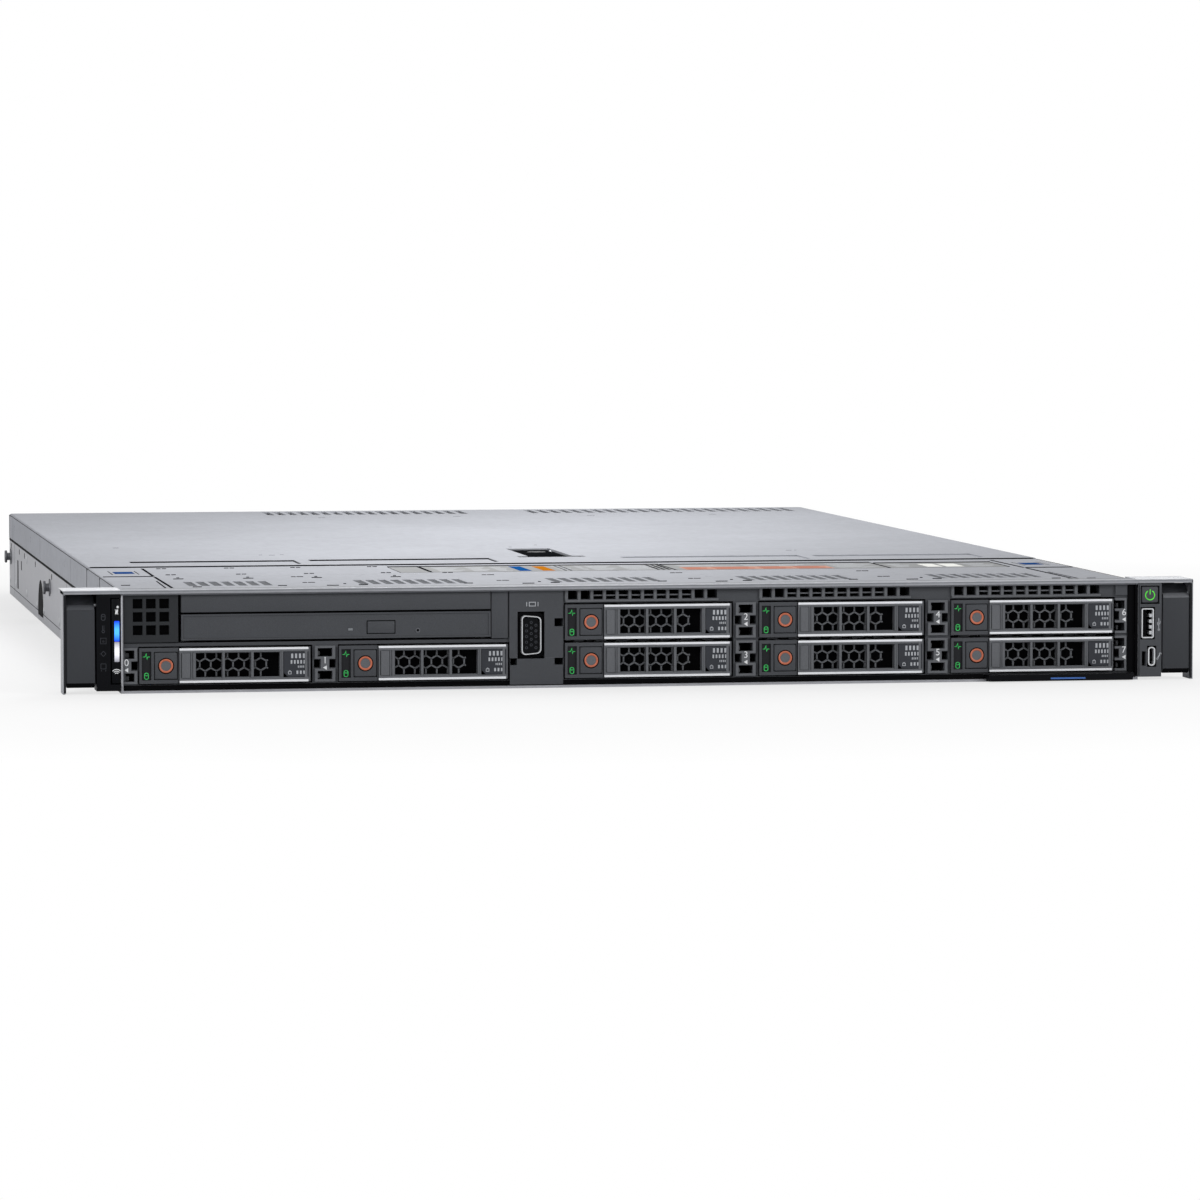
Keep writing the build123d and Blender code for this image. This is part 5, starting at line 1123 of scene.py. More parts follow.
def ear_shape():
    """Left ear of folded sheet: one bent outline for skin and plate, plus the top plate and the web."""
    low, (_, _, high) = span("rack_ears")
    outer, body = low[0], -WALL
    shape = Shape()
    shape.slab((0, 12.0), (0, high - 0.2), (outer, outer + 1.0), (), "yz")
    rim = [(0, high - 1.5), (0, high - 0.5), (0.15, high - 0.15), (0.5, high), (22.0, high),
           (22.0, high - 1.5)]
    shape.sweep([lay(rim, x, "yz") for x in (outer, body)])
    bolt = (-BOLT_X, BOLT_Z)
    outline = np.array([(outer + 2.5, body), (2.6, high - 1.4)])
    around = corner_points((outline[0, 1] - outline[0, 0]) / 2, (outline[1, 1] - outline[1, 0]) / 2, 1.5, 7)
    around += outline.mean(1)
    hole = np.stack([bolt + 2.9 * (ray / np.linalg.norm(ray)) for ray in around - bolt])
    # The plate round the bolt hole is plate black: painted shade behind the latch.
    shape.sweep([lay(around, 20.5), lay(hole, 20.5), lay(hole, 22.0), lay(around, 22.0)],
                closed=True, paint=2)
    shape.box((body - 1.4, body), (21.0, 61.8), (2.0, 28.0), 0.5)
    for y, z in ((30.0, 8.0), (30.0, 22.0), (44.0, 8.0), (44.0, 22.0), (56.0, 15.0)):
        shape.lathe([(2.2, body - 1.35), (2.2, body - 1.75), (1.5, body - 2.1), (0.4, body - 2.2)], (y, z),
                    "yz", 16, paint=1)
    # A black strip on the skin's front edge: painted shade on that edge and the gap behind it.
    shape.box((outer + 0.3, outer + 1.3), (-0.06, 1.2), (0.4, high - 1.7), 0.1, paint=2)
    return shape


def build_ears():
    """Both sheet steel ears with their rivets, and the captive screws behind the latches."""
    left = ear_shape()
    finishes = ["ear sheet", "screw metal", "plate black"]
    piece("ear_left", left, "chassis", finishes, ["rack_ears"], 0.2, wear_and_highlight="worn sheet")
    piece("ear_right", left.mirrored(), "chassis", finishes, bevel=0.2, wear_and_highlight="worn sheet")
    screws = Shape()
    for x in (-BOLT_X, BOLT_X):
        knurl = arc(0, 0, 1, 0, 360, 48)[:-1] * (3.9 - 0.28 * (np.arange(48) % 2))[:, None] + [x, BOLT_Z]
        screws.prism(knurl, (12.3, 17.0), edge=0.4)
        screws.lathe([(2.5, 16.9), (2.5, 20.6), (2.2, 21.8), (1.2, 22.0)], (x, BOLT_Z), steps=20)
        screws.lathe([(3.1, 12.35), (3.1, 12.1), (2.6, 12.1), (2.6, 12.35)], (x, BOLT_Z), steps=24,
                     closed=True)
    return piece("captive_screw_pair", screws, "chassis", ["screw metal"], ["captive_screws"])


def build_status_panel():
    """Left panel: black block with five dim marks, the long button with its two bars, and a bright trim."""
    low, high = span("status_panel")
    button_low, button_high = span("id_button")
    pocket = (button_low[0] - 0.45, high[0] + 1, button_low[2] - 0.3, button_high[2] + 0.3)
    block = Shape().slab((low[0], high[0]), (low[2], high[2]), (low[1], 12.0), [pocket])
    block.box((low[0] + 0.3, high[0]), (11.9, high[1]), (low[2] + 0.4, high[2] - 0.4), 0.3)
    block.slab((low[0] + 0.9, button_low[0] - 1.5), (low[2] + 1.5, high[2] - 1.6), (low[1], low[1] - 0.06))
    piece("status_block", block, "chassis", ["panel black"], ["status_panel"], 0.25)
    u = (low[0] + button_low[0]) / 2 - 0.3
    marks = cylinder_mark(u, 31.8, 0.78) + square_mark(u, 22.0, 1.15, 0.2) + square_mark(u, 11.5, 1.05, 0.2)
    marks.append((arc(u, 21.8, 0.32, 0, 360, 6)[:-1], 0.2, True))
    marks += [([(u - 0.3, 28.4), (u - 0.3, 26.3), (u + 0.3, 26.3), (u + 0.3, 28.4)], 0.2, False),
              (arc(u, 25.9, 0.55, 0, 360, 8)[:-1], 0.24, True)]
    marks += [(moved([(0, 1), (1, 0), (0, -1), (-1, 0)], u, 16.7, 0, 1.05), 0.2, True),
              ([(u - 1.6, 16.7), (u - 1.05, 16.7)], 0.2, False),
              ([(u - 0.9, 10.0), (u - 0.9, 9.4)], 0.2, False),
              ([(u + 0.9, 10.0), (u + 0.9, 9.4)], 0.2, False)]
    piece("status_marks", marks_shape(marks, (low[1] - 0.08, low[1] + 0.1)), "chassis", ["mark grey"])
    push = block_of("id_button", 0.5, 2)
    piece("id_push", push, "id_button", ["panel black"], ["id_button"])
    middle = (button_low[0] + button_high[0]) / 2 + 0.45
    for name, span_z, finish in (("id_blue_bar", (21.7, 30.2), "blue light"),
                                 ("id_white_bar", (13.2, 21.6), "white light")):
        bar = Shape().box((middle - 1.05, middle + 1.05), (button_low[1] - 0.12, button_low[1] + 0.6), span_z,
                          0.22, steps=2)
        piece(name, bar, "id_button", [finish])
    signal = wireless_mark(middle - 0.15, 8.8, 0.92)
    signal += [([(middle + 0.1, 34.95), (middle - 0.2, 32.95)], 1.0, False),
               ([(middle - 0.7, 34.75), (middle, 34.8)], 0.35, False),
               ([(middle - 0.2, 33.0), (middle + 0.6, 33.1)], 0.35, False)]
    marks = marks_shape(signal, (button_low[1] - 0.08, button_low[1] + 0.1))
    marks.lathe([(0.5, button_low[1] + 0.1), (0.5, button_low[1] - 0.08)], (middle + 0.4, 35.95), steps=12)
    piece("id_marks", marks, "id_button", ["mark white"])
    trim = Shape().box((high[0] + 0.06, high[0] + 0.58), (0.05, 1.9), (3.0, 40.4), 0.12)
    return piece("panel_trim", trim, "chassis", ["worn sheet"])


def port_shell(shape, u, v, y, wall, radius):
    """Open metal sleeve: outer rounded rectangle joined to an inner one at the mouth, with a flared lip."""
    middle = np.array([sum(u) / 2, sum(v) / 2])
    half = np.array([u[1] - u[0], v[1] - v[0]]) / 2

    def outline(inset):
        """The sleeve's outline, drawn in by inset."""
        return corner_points(half[0] - inset, half[1] - inset, max(radius - inset, 0.15), 5) + middle

    levels = [(0, y[1]), (0, y[0] + 0.15), (0.12, y[0]), (wall - 0.1, y[0]), (wall, y[0] + 0.15),
              (wall, y[1])]
    return shape.sweep([lay(outline(inset), depth) for inset, depth in levels], closed=True)


def build_control_panel():
    """Right panel: block with four pockets, lit power button, two port sleeves, tongues and marks."""
    low, high = span("control_panel")
    power_low, power_high = span("power_button")
    wide, small = (218.3, 223.8, 17.6, 30.5), (221.2, 224.5, 5.8, 14.0)
    pockets = [(power_low[0] - 0.55, power_high[0] + 0.5, power_low[2] - 0.55, power_high[2] + 0.45),
               (wide[0] - 0.5, wide[1] + 0.5, wide[2] - 0.5, wide[3] + 0.5),
               (small[0] - 0.45, small[1] + 0.5, small[2] - 0.45, small[3] + 0.45), (218.5, 220.3, 5.9, 12.1)]
    block = Shape().slab((low[0], high[0]), (low[2], high[2]), (low[1], 14.0), pockets)
    block.slab((low[0] + 0.2, high[0] - 0.2), (low[2] + 0.2, high[2] - 0.2), (14.0, high[1]), paint=1)
    # A black fill in the narrow pocket: painted shade inside the card slot.
    block.slab((218.2, 220.6), (5.6, 12.4), (3.0, 14.0), paint=1)
    piece("control_block", block, "chassis", ["charcoal", "deep black"], ["control_panel"],
          0.22, wear_and_highlight="charcoal edge")
    trim = Shape().box((low[0] + 0.05, low[0] + 0.55), (0.0, 0.6), (low[2] + 0.6, high[2] - 0.5), 0.12)
    piece("control_trim", trim, "chassis", ["charcoal edge"])
    push = block_of("power_button", 0.55, 3)
    piece("power_push", push, "power_button", ["charcoal"], ["power_button"])
    centre = ((power_low[0] + power_high[0]) / 2, (power_low[2] + power_high[2]) / 2 - 0.2)
    symbol = marks_shape(power_mark(*centre, 2.0, 0.42), (power_low[1] - 0.08, power_low[1] + 0.1))
    piece("power_symbol", symbol, "power_button", ["power light"])
    metal = Shape()
    port_shell(metal, wide[:2], wide[2:], (0.0, 13.7), 0.6, 0.9)
    port_shell(metal, small[:2], small[2:], (0.0, 7.5), 0.65, 1.5)
    for level in (20.0, 26.6):
        metal.box((223.1, 223.35), (0.9, 3.2), (level, level + 1.6), 0.1)
    inner = Shape().box((218.8, 220.9), (1.6, 13.2), (18.4, 29.7), 0.25)
    inner.box((222.55, 223.15), (1.4, 13.2), (18.3, 29.8), 0.1)
    inner.box((222.35, 223.35), (1.6, 7.4), (7.6, 12.2), 0.25)
    inner.slab((218.6, 223.5), (17.9, 30.2), (11.5, 13.2))
    inner.slab((221.4, 224.3), (6.0, 13.8), (6.6, 7.4))
    contacts = Shape()
    for level in 19.4 + 2.45 * np.arange(4):
        contacts.box((222.1, 223.3), (1.2, 9.0), (level - 0.2, level + 1.3), 0.1)
    for level in 8.1 + 0.8 * np.arange(5):
        contacts.box((222.25, 222.4), (1.7, 6.0), (level, level + 0.42), 0.05)
    piece("port_sleeves", metal, "chassis", ["port metal"])
    piece("port_tongues", inner, "chassis", ["deep black"])
    piece("port_contacts", contacts, "chassis", ["port metal"])
    fork = [([(225.9, 21.5), (225.9, 26.2)], 0.26, False),
            ([(225.9, 22.8), (225.3, 23.7), (225.3, 24.5)], 0.2, False),
            ([(225.9, 23.4), (226.5, 24.2), (226.5, 25.0)], 0.2, False),
            (arc(225.9, 21.3, 0.35, 0, 360, 8)[:-1], 0.25, True)]
    wrench = [([(225.4, 9.2), (226.5, 10.7)], 0.36, False),
              (arc(226.6, 10.9, 0.42, -20, 200, 6), 0.24, False),
              (arc(225.3, 9.0, 0.4, 160, 380, 6), 0.24, False)]
    return piece("port_marks", marks_shape(fork + wrench, (-0.08, 0.1)), "chassis", ["print grey"])


def build_tag():
    """Slide-out tag: a lip with rounded ends and a blue line, on a thin tongue."""
    low, high = span("information_tag")
    lip = [(low[0], -2.2), (low[0] + 0.5, -3.4), (low[0] + 1.8, -4.0), (high[0] - 1.8, -4.0),
           (high[0] - 0.5, -3.4), (high[0], -2.2), (high[0], -0.4), (low[0], -0.4)]
    shape = Shape().prism(lip, (low[2], high[2]), "xy")
    shape.slab((low[0], high[0]), (-1.0, high[1]), (1.3, 2.4), (), "xy")
    shape.box((low[0] + 2.0, high[0] - 2.0), (6.0, high[1] - 4.0), (2.35, 2.42), 0.03, paint=1)
    piece("tag_body", shape, "information_tag", ["panel black", "label silver"], ["information_tag"],
          0.3)
    line = Shape().box((177.4, 192.7), (-4.06, -3.8), (1.0, 1.75), 0.1)
    return piece("tag_line", line, "information_tag", ["tag blue"])


# Covers


def bent_cover(y, top, flange, slots=(), dents=()):
    """Roof plate with its slots, and a flange on each side whose bend is a quarter circle of 1.4 mm.

    dents are extra rectangular holes, as (x0, x1, y0, y1).
    """
    roof = top - 1.0
    shape = Shape()
    holes = [*slots, *dents]
    shape.slab((-BEND, BEND), y, (roof, top), holes, "xy")
    outer, inner = arc(-BEND, top - 1.4, 1.4, 90, 180, 6), arc(-BEND, top - 1.4, 0.4, 180, 90, 6)
    outline = np.concatenate([[(-215.59, top)], outer, [(-WALL, flange), (-WALL + 1.0, flange)], inner,
                              [(-215.59, roof)]])
    side = Shape().sweep([lay(outline, depth) for depth in y])
    return shape.copies(side, [(0, 0, 0)]).copies(side.mirrored(), [(0, 0, 0)])


def slot_rows(groups, y, pitch, width):
    """Holes of slot rows: group after group of (left edge, count)."""
    return [(left + i * pitch, left + i * pitch + width, *y) for left, count in groups for i in range(count)]


ROOF_DROP = 0.04
SLOT_PITCH = 5.3
FRONT_SLOTS = [(-185.2, 7), (-112.5, 9), (-29.5, 9), (54.0, 9), (138.0, 9)]
REAR_SLOTS = [(-82.5, 18), (60.0, 24)]
REAR_LANCES = [(x, 160.0, 4.4) for x in (-187.2, -157.1, -127.5, -93.2)]
LANCES = REAR_LANCES + [(x, 113.6, 4.4) for x in (-187.5, -156.8, -127.1, -93.3)]
SHORT_LANCES = [(-207.0, 17.6), (-184.5, 26.1), (-148.3, 29.5), (-114.1, 29.1), (-68.9, 32.4), (-32.0, 30.2),
                (14.5, 32.0), (51.0, 29.9),
                (97.4, 30.4), (134.1, 29.7), (185.2, 23.6), (191.2, 19.6), (200.0, 21.0), (-213.1, 42.3)]


def flange_marks(y, body, pins=(), folds=()):
    """Painted shade lines on both flanges of a roof sheet: along the top edge, in the gap at the rear end,
    round pressed pins and along thin folds.
    """
    lines = Shape()
    lines.slab((y[0] + 0.4, y[1] - 0.4), (42.0, 42.2), (-217.1, -216.95), (), "yz")
    lines.slab((y[1] - 0.7, y[1]), (30.0, 42.1), (-217.12, -216.9), (), "yz")
    for spot in pins:
        lines.lathe([(1.5, -216.9), (1.5, -217.0), (1.1, -217.0), (0.9, -216.7), (0.3, -216.7)],
                    (spot, 37.0), "yz", 18)
    for spot in folds:
        lines.slab((spot, spot + 0.6), (30.6, 41.4), (-217.03, -216.9), (), "yz", 1)
    return both_sides(f"{body}_lines", lines, body, ["deep black", "mark grey"])


def dashes(shape, places, top, depth=1.1, rise=0.26):
    """Short raised tabs, each from a left end, a front edge and a length; the pieces give them a dark finish
    that paints the shade on their steps.
    """
    for x, y, long in places:
        shape.box((x, x + long), (y, y + depth), (top - 0.1, top + rise), 0.06)
    return shape


def pad_edges(shape, x, y, top, rise):
    """Stepped rim of a pressed pad: its rear and right edges stand up, its front and left ones are low; the
    pieces give it a dark finish that paints the shade on these steps.
    """
    left, right, front, rear = x[0], x[1], y[0], y[1]
    shape.box((left, right), (rear - 0.4, rear), (top - 0.1, top + rise), 0.05)
    shape.box((right - 0.45, right), (front, rear), (top - 0.1, top + rise * 0.5), 0.05)
    shape.box((left, left + 0.35), (front, rear), (top - 0.1, top + 0.05), 0.03)
    shape.box((left, right), (front, front + 0.35), (top - 0.1, top + 0.03), 0.02)
    return shape


def roof_rivets(name, places, top, body, crown, rise):
    """Rivets in a roof sheet: a short skirt, a flat crown with its radius and rise, and a dimple."""
    studs = Shape()
    for spot in places:
        profile = [(2.4, top - 0.3), (2.3, top + 0.02), (crown, top + rise), (crown - 0.2, top - 0.1),
                   (0.4, top - 0.12)]
        studs.lathe(profile, spot, "xy", 20)
    return piece(name, studs, body, ["cover sheet"])


def build_front_top():
    """Fixed roof over the drives with its lip, slots, raised tabs, rivets and folded seams."""
    high = span("front_top_panel")[1]
    crest = high[2] - ROOF_DROP
    top = crest - chosen("roof_step")
    front_end, back_end = chosen("slot_front"), chosen("slot_back")
    slots = slot_rows(FRONT_SLOTS, (front_end, back_end), SLOT_PITCH, chosen("slot_width"))
    panel = bent_cover((22.3, high[1]), top, 30.0, slots)
    lip = [(0.0, 41.3), (0.0, crest - 0.55), (0.16, crest - 0.16), (0.55, crest), (13.6, crest), (14.6, top),
           (22.4, top), (22.4, top - 1.0), (6.0, top - 1.0), (6.0, 41.3)]
    panel.sweep([lay(lip, x, "yz") for x in (-WALL, WALL)])
    # A mid-grey plate under each row of slots: painted shade seen through the slots.
    for x, count in FRONT_SLOTS:
        floor = (front_end - 1.0, back_end + 1.0)
        panel.slab((x - 3, x + SLOT_PITCH * count + 1), floor, (top - 0.55, top - 0.35), (), "xy", 1)
    brow = Shape()
    brow.sweep([lay([(-0.02, 41.45), (-0.05, 42.4), (0.2, crest + 0.02), (1.4, crest + 0.03), (1.4, 41.45)],
                    x, "yz") for x in (-240.6, 240.6)])
    # A dark line along the brow's top edge: painted shade.
    brow.slab((-240.4, 240.4), (42.18, 42.4), (-0.08, 0.1), paint=1)
    piece("roof_brow", brow, "chassis", ["ear sheet", "charcoal edge"])
    # Painted shade: a band under the roof's front edge, and a strip on the lip's crest.
    shade = Shape().slab((-216.6, 216.6), (40.7, 41.35), (0.5, 1.6))
    shade.slab((-215.4, 215.4), (9.0, 12.6), (crest - 0.1, crest + 0.03), (), "xy")
    piece("roof_shade", shade, "chassis", ["charcoal edge"])
    flange_marks((22.3, high[1]), "chassis", (60.0,), (42.0,))
    piece("front_roof", panel, "chassis", ["cover sheet", "slot floor"], ["front_top_panel"],
          0.16, wear_and_highlight="worn sheet")
    # Raised seams and tabs in a dark finish: the dark paints the shade on their steps.
    seams = Shape()
    for side in (-1, 1):
        seams.stroke([(side * 193.6, 15.5), (side * 193.6, high[1] - 4)], 1.1, (top - 0.1, top + 0.12), "xy")
        seams.stroke([(side * 196.4, 15.5), (side * 195.6, 70.0)], 0.6, (top - 0.1, top + 0.1), "xy")
        seams.box(sorted((side * 194.0, side * 215.6)), (high[1] - 0.7, high[1]),
                  (top - 0.1, top + 0.3), 0.05)
    for x, _, long in REAR_LANCES:
        dashes(seams, [(x, 83.0, long), (x + 2.2, 91.0, 1.2)], top)
    for x in -135.5 + 83.3 * np.arange(4):
        dashes(seams, [(x, 91.0, 2.0), (x + 2.4, 91.0, 2.9), (x, 49.5, 2.0), (x + 2.4, 49.5, 2.9)],
               top, rise=0.2)
        dashes(seams, [(x + 7.6, 27.2, 5.0), (x + 41.8, 17.4, 5.0), (x + 16.0, 38.0, 1.1)], top)
    dashes(seams, [(x, y, 3.8) for x, y in SHORT_LANCES], top)
    piece("front_roof_seams", seams, "chassis", ["print and shade dark"])
    places = [(x, y) for x in (-200.0, -124.0, -41.0, 43.0, 127.0, 206.0) for y in (64.0, 78.0)]
    return roof_rivets("front_roof_rivets", places, top, "chassis", 1.8, 0.04)


def label_print(sheet, top):
    """Label plates in their pads: bars for lines of print, a blue and an orange patch, and a table."""
    plate = (top - 0.02, top + 0.035)
    ink = (top + 0.03, top + 0.05)
    for x, y in (((-84.3, -71.2), (115.0, 156.0)), ((-70.2, 37.6), (115.0, 156.0)),
                 ((38.6, 134.0), (113.0, 154.0)), ((135.6, 188.6), (113.0, 148.0))):
        sheet.slab(x, y, plate, (), "xy")
    sheet.slab((-31.0, -25.6), (118.0, 152.0), ink, (), "xy", 1)
    sheet.slab((-20.6, -15.2), (118.0, 152.0), ink, (), "xy", 6)
    sheet.slab((43.0, 110.0), (114.5, 134.0), ink, (), "xy", 3)
    for column, (x, width) in enumerate(((43.8, 11.5), (57.0, 19.0), (78.0, 14.0), (94.0, 15.0))):
        for row in range(4):
            sheet.slab((x, x + width - 2.0 * ((row + column) % 3)), (115.4 + 4.6 * row, 118.4 + 4.6 * row),
                       (top + 0.045, top + 0.06), (), "xy", 2)
    for x, width in ((-66.0, 12.0), (-51.0, 9.0), (-40.0, 6.0), (-12.0, 7.0), (-2.0, 3.0), (3.0, 12.0),
                     (18.0, 17.0), (44.0, 26.0), (74.0, 32.0), (113.0, 19.0), (139.0, 9.0), (174.0, 12.0)):
        rows, first = (3, 138.0) if 43 < x < 110 else (8, 119.0)
        for row in range(rows):
            level = first + 4.3 * row
            if level < (150.0 if x < 135 else 143.0):
                short = 0.12 * width * ((row * 3 + int(abs(x))) % 4)
                sheet.slab((x, x + width - short), (level, level + 2.0), ink, (), "xy", 4)
    for x in (31.0, 33.4, 35.8):
        sheet.stroke([(x, 117.0), (x + 0.8, 154.0)], 1.3, ink, "xy", paint=7)
    for x in (-10.5, -8.2):
        sheet.stroke([(x, 117.0), (x + 0.6, 154.0)], 0.8, ink, "xy", paint=7)
    for x, width in ((153.0, 7.0), (162.0, 8.0)):
        sheet.slab((x, x + width), (118.0, 140.0), ink, (), "xy", 5)
    return sheet


def build_backplane_cover():
    """Small cover with two touch marks and its label plates in pressed pads."""
    low, high = span("backplane_cover")
    top = high[2] - ROOF_DROP - chosen("roof_step")
    panel = bent_cover((low[1] + 0.15, high[1]), top, 30.0)
    piece("bay_cover", panel, "backplane_cover", ["cover sheet"], ["backplane_cover"], 0.16,
          wear_and_highlight="worn sheet")
    finishes = ["label silver", "label blue", "label orange", "label blush", "print grey", "label white",
                "label amber", "print and shade dark"]
    flange_marks((low[1] + 0.15, high[1]), "backplane_cover", (112.5,))
    piece("cover_label", label_print(Shape(), top), "backplane_cover", finishes)
    # Dark rims and lines round the pads, touch marks and seams: painted shade on their steps.
    rims = Shape()
    for x, y in (((-84.7, -70.8), (114.0, 157.0)), ((-70.6, 38.0), (114.0, 157.0)),
                 ((38.2, 134.6), (112.0, 155.0)), ((135.0, 189.2), (112.0, 149.0))):
        pad_edges(rims, x, y, top, 0.36)
    rims.box((-71.6, -70.2), (118.0, 157.0), (top - 0.1, top + 0.2), 0.08)
    dashes(rims, [(x, y, 1.9) for x, y, _ in LANCES] + [(x + 2.5, y, 1.9) for x, y, _ in LANCES], top)
    dashes(rims, [(-66.6, 110.5, 2.0), (-64.0, 110.5, 2.0)], top)
    touch = Shape()
    for side in (-1, 1):
        touch.slab(sorted((side * 199.8, side * 208.4)), (126.0, 141.0), (top - 0.02, top + 0.05), (), "xy")
        for y in 128.0 + 3.2 * np.arange(4):
            touch.slab(sorted((side * 201.5, side * 206.7)), (y, y + 1.0), (top + 0.04, top + 0.06),
                       (), "xy", 1)
        for x in (198.4, 209.9):
            rims.stroke([(side * x, 121.0), (side * x, 146.0)], 0.5, (top - 0.1, top + 0.03), "xy")
        rims.stroke([(side * 193.6, low[1] + 1.0), (side * 193.2, 163.0)], 1.1, (top - 0.1, top + 0.12), "xy")
    piece("cover_rims", rims, "backplane_cover", ["print and shade dark"])
    return piece("touch_marks", touch, "backplane_cover", ["touch blue", "label blue"])


def build_top_cover():
    """Main cover with rear slots, the latch's pan, pressed pads, small tabs and a stepped front edge; a black
    band on the step paints its shadow.
    """
    low, high = span("top_cover")
    top = high[2] - ROOF_DROP
    step = chosen("roof_step")
    slots = slot_rows(REAR_SLOTS, (636.0, 671.0), 6.1, 3.6)
    recess = [(-10.3, 10.3, 219.0, 288.0), (-15.5, 15.5, 216.0, 224.0)]
    pads = [((-194.9, -120.0), (181.0, 210.0)), ((-113.5, -30.3), (181.0, 212.0)),
            ((30.4, 113.5), (181.0, 212.0)), ((119.8, 194.9), (181.0, 210.0))]
    shelves = [(*x, *y) for x, y in pads]
    panel = bent_cover((low[1] + 0.1, high[1]), top, 30.0, slots, recess + shelves)
    for x0, x1, y0, y1 in shelves:
        panel.slab((x0 - 1, x1 + 1), (y0 - 1, y1 + 1), (top - 1.3, top - step), (), "xy")
    piece("main_cover", panel, "top_cover", ["cover sheet"], ["top_cover"], 0.16,
          wear_and_highlight="worn sheet")
    # Black pad rims, tabs and the front edge band: painted shade on their steps.
    rims = Shape()
    for x, y in pads[:2]:
        pad_edges(rims, x, y, top - step, step)
    rims.box((-215.4, 215.4), (low[1] - 0.1, low[1] + 0.35), (top - step - 0.5, top - 0.02), 0.04)
    for x, y, long in ((-126.6, 251.6, 2.8), (-192.0, 325.9, 2.8), (-6.5, 302.0, 1.4), (8.1, 317.5, 1.4),
                       (116.9, 251.6, 2.8), (121.0, 252.0, 1.0),
                       (-131.0, 254.0, 1.6), (-121.0, 255.0, 1.6), (-60.0, 604.0, 4.0), (12.0, 604.0, 4.0),
                       (84.0, 604.0, 4.0), (150.0, 604.0, 4.0)):
        dashes(rims, [(x, y, long)], top, rise=0.05)
    piece("cover_rims_rear", rims, "top_cover", ["deep black"])
    flange_marks((low[1] + 0.1, high[1]), "top_cover", (300.0, 520.0, 640.0), (262.0, 455.0, 652.0))
    pan = Shape().slab((-16.5, 16.5), (214.0, 289.0), (34.8, 35.8), (), "xy")
    for x, y in (((-11.3, -10.3), (224.0, 289.0)), ((10.3, 11.3), (224.0, 289.0)),
                 ((-11.3, 11.3), (288.0, 289.0)),
                 ((-16.5, -15.5), (214.0, 225.0)), ((15.5, 16.5), (214.0, 225.0)),
                 ((-16.5, -10.3), (224.0, 225.0)), ((10.3, 16.5), (224.0, 225.0))):
        pan.slab(x, y, (35.8, 41.8), (), "xy")
    bow = np.concatenate([arc(0, 230.5, 15.5, 205, 335, 20), [(16.5, 214.2), (-16.5, 214.2)]])
    pan.prism(bow, (35.8, 42.6), "xy")
    piece("latch_pan", pan, "top_cover", ["deep black"], bevel=0.25)
    places = [(x, y) for x in (-205.0, 205.0) for y in 190.0 + 60.0 * np.arange(8)]
    return roof_rivets("cover_rivets", places, top, "top_cover", 1.7, 0.03)


def build_cover_latch():
    """Dark lever with a ribbed thumb end and a turn-lock disc, on its steel pin."""
    low, high = span("cover_latch")
    top, pin = high[2], (281.5, 40.8)
    bottom = top - 3.2
    outline = np.concatenate([arc(281.5, pin[1], 1.6, -90, 90, 8),
                              [(232.0, top), (226.5, top - 0.4), (224.4, top - 1.2), (224.0, bottom + 0.6),
                               (225.0, bottom)]])
    sections = []
    for x, inset in ((-8.5, 0.5), (-8.2, 0.12), (-7.8, 0.0), (7.8, 0.0), (8.2, 0.12), (8.5, 0.5)):
        middle = np.array([255.0, top - 1.6])
        scale = 1 - inset / np.array([30.0, 1.6])
        sections.append(lay(middle + (outline - middle) * scale, x, "yz"))
    lever = Shape().sweep(sections)
    for y in 228.0 + 2.0 * np.arange(5):
        lever.box((-6.5, 6.5), (y, y + 1.0), (top - 0.2, top + 0.25), 0.12)
    lever.lathe([(4.4, top - 0.1), (4.2, top + 0.22), (3.6, top + 0.3), (0.5, top + 0.3)], (0, 262.0), "xy",
                32, paint=1)
    # A black bar across the disc: painted shade of its coin slot.
    lever.box((-2.8, 2.8), (261.5, 262.5), (top + 0.2, top + 0.34), 0.05, 2)
    rod = Shape().lathe([(1.2, low[0]), (1.2, high[0])], pin, "yz", 16)
    piece("latch_lever", lever, "cover_latch", ["lever black", "plate black", "deep black"], ["cover_latch"])
    return piece("latch_pin", rod, "cover_latch", ["screw metal"])


# Sides and rear


def dress(node, finish):
    """Gives a kept CAD node one finish on all of its material slots."""
    for place in frame["nodes"][node].material_slots:
        place.material = FINISHES[finish]


STUD_FIRST, STUD_PITCH, STUD_HEIGHT = 115.0, 276.0, 20.5
STUD_PROFILE = [(0.4, -216.8), (4.2, -216.8), (4.2, -217.45), (4.05, -217.6), (2.0, -217.6), (2.0, -219.2),
                (3.05, -219.2), (3.3, -219.4), (3.3, -220.15), (3.1, -220.4), (0.5, -220.4), (0.5, -220.1)]
WALL_RIVETS = [(34.0, 8.0), (98.0, 8.0), (98.0, 25.0), (158.0, 8.0), (236.0, 8.0), (236.0, 25.0),
               (330.0, 8.0), (430.0, 6.5),
               (476.0, 6.5), (548.0, 8.0), (548.0, 25.0), (628.0, 8.0), (672.0, 8.0), (672.0, 25.0)]


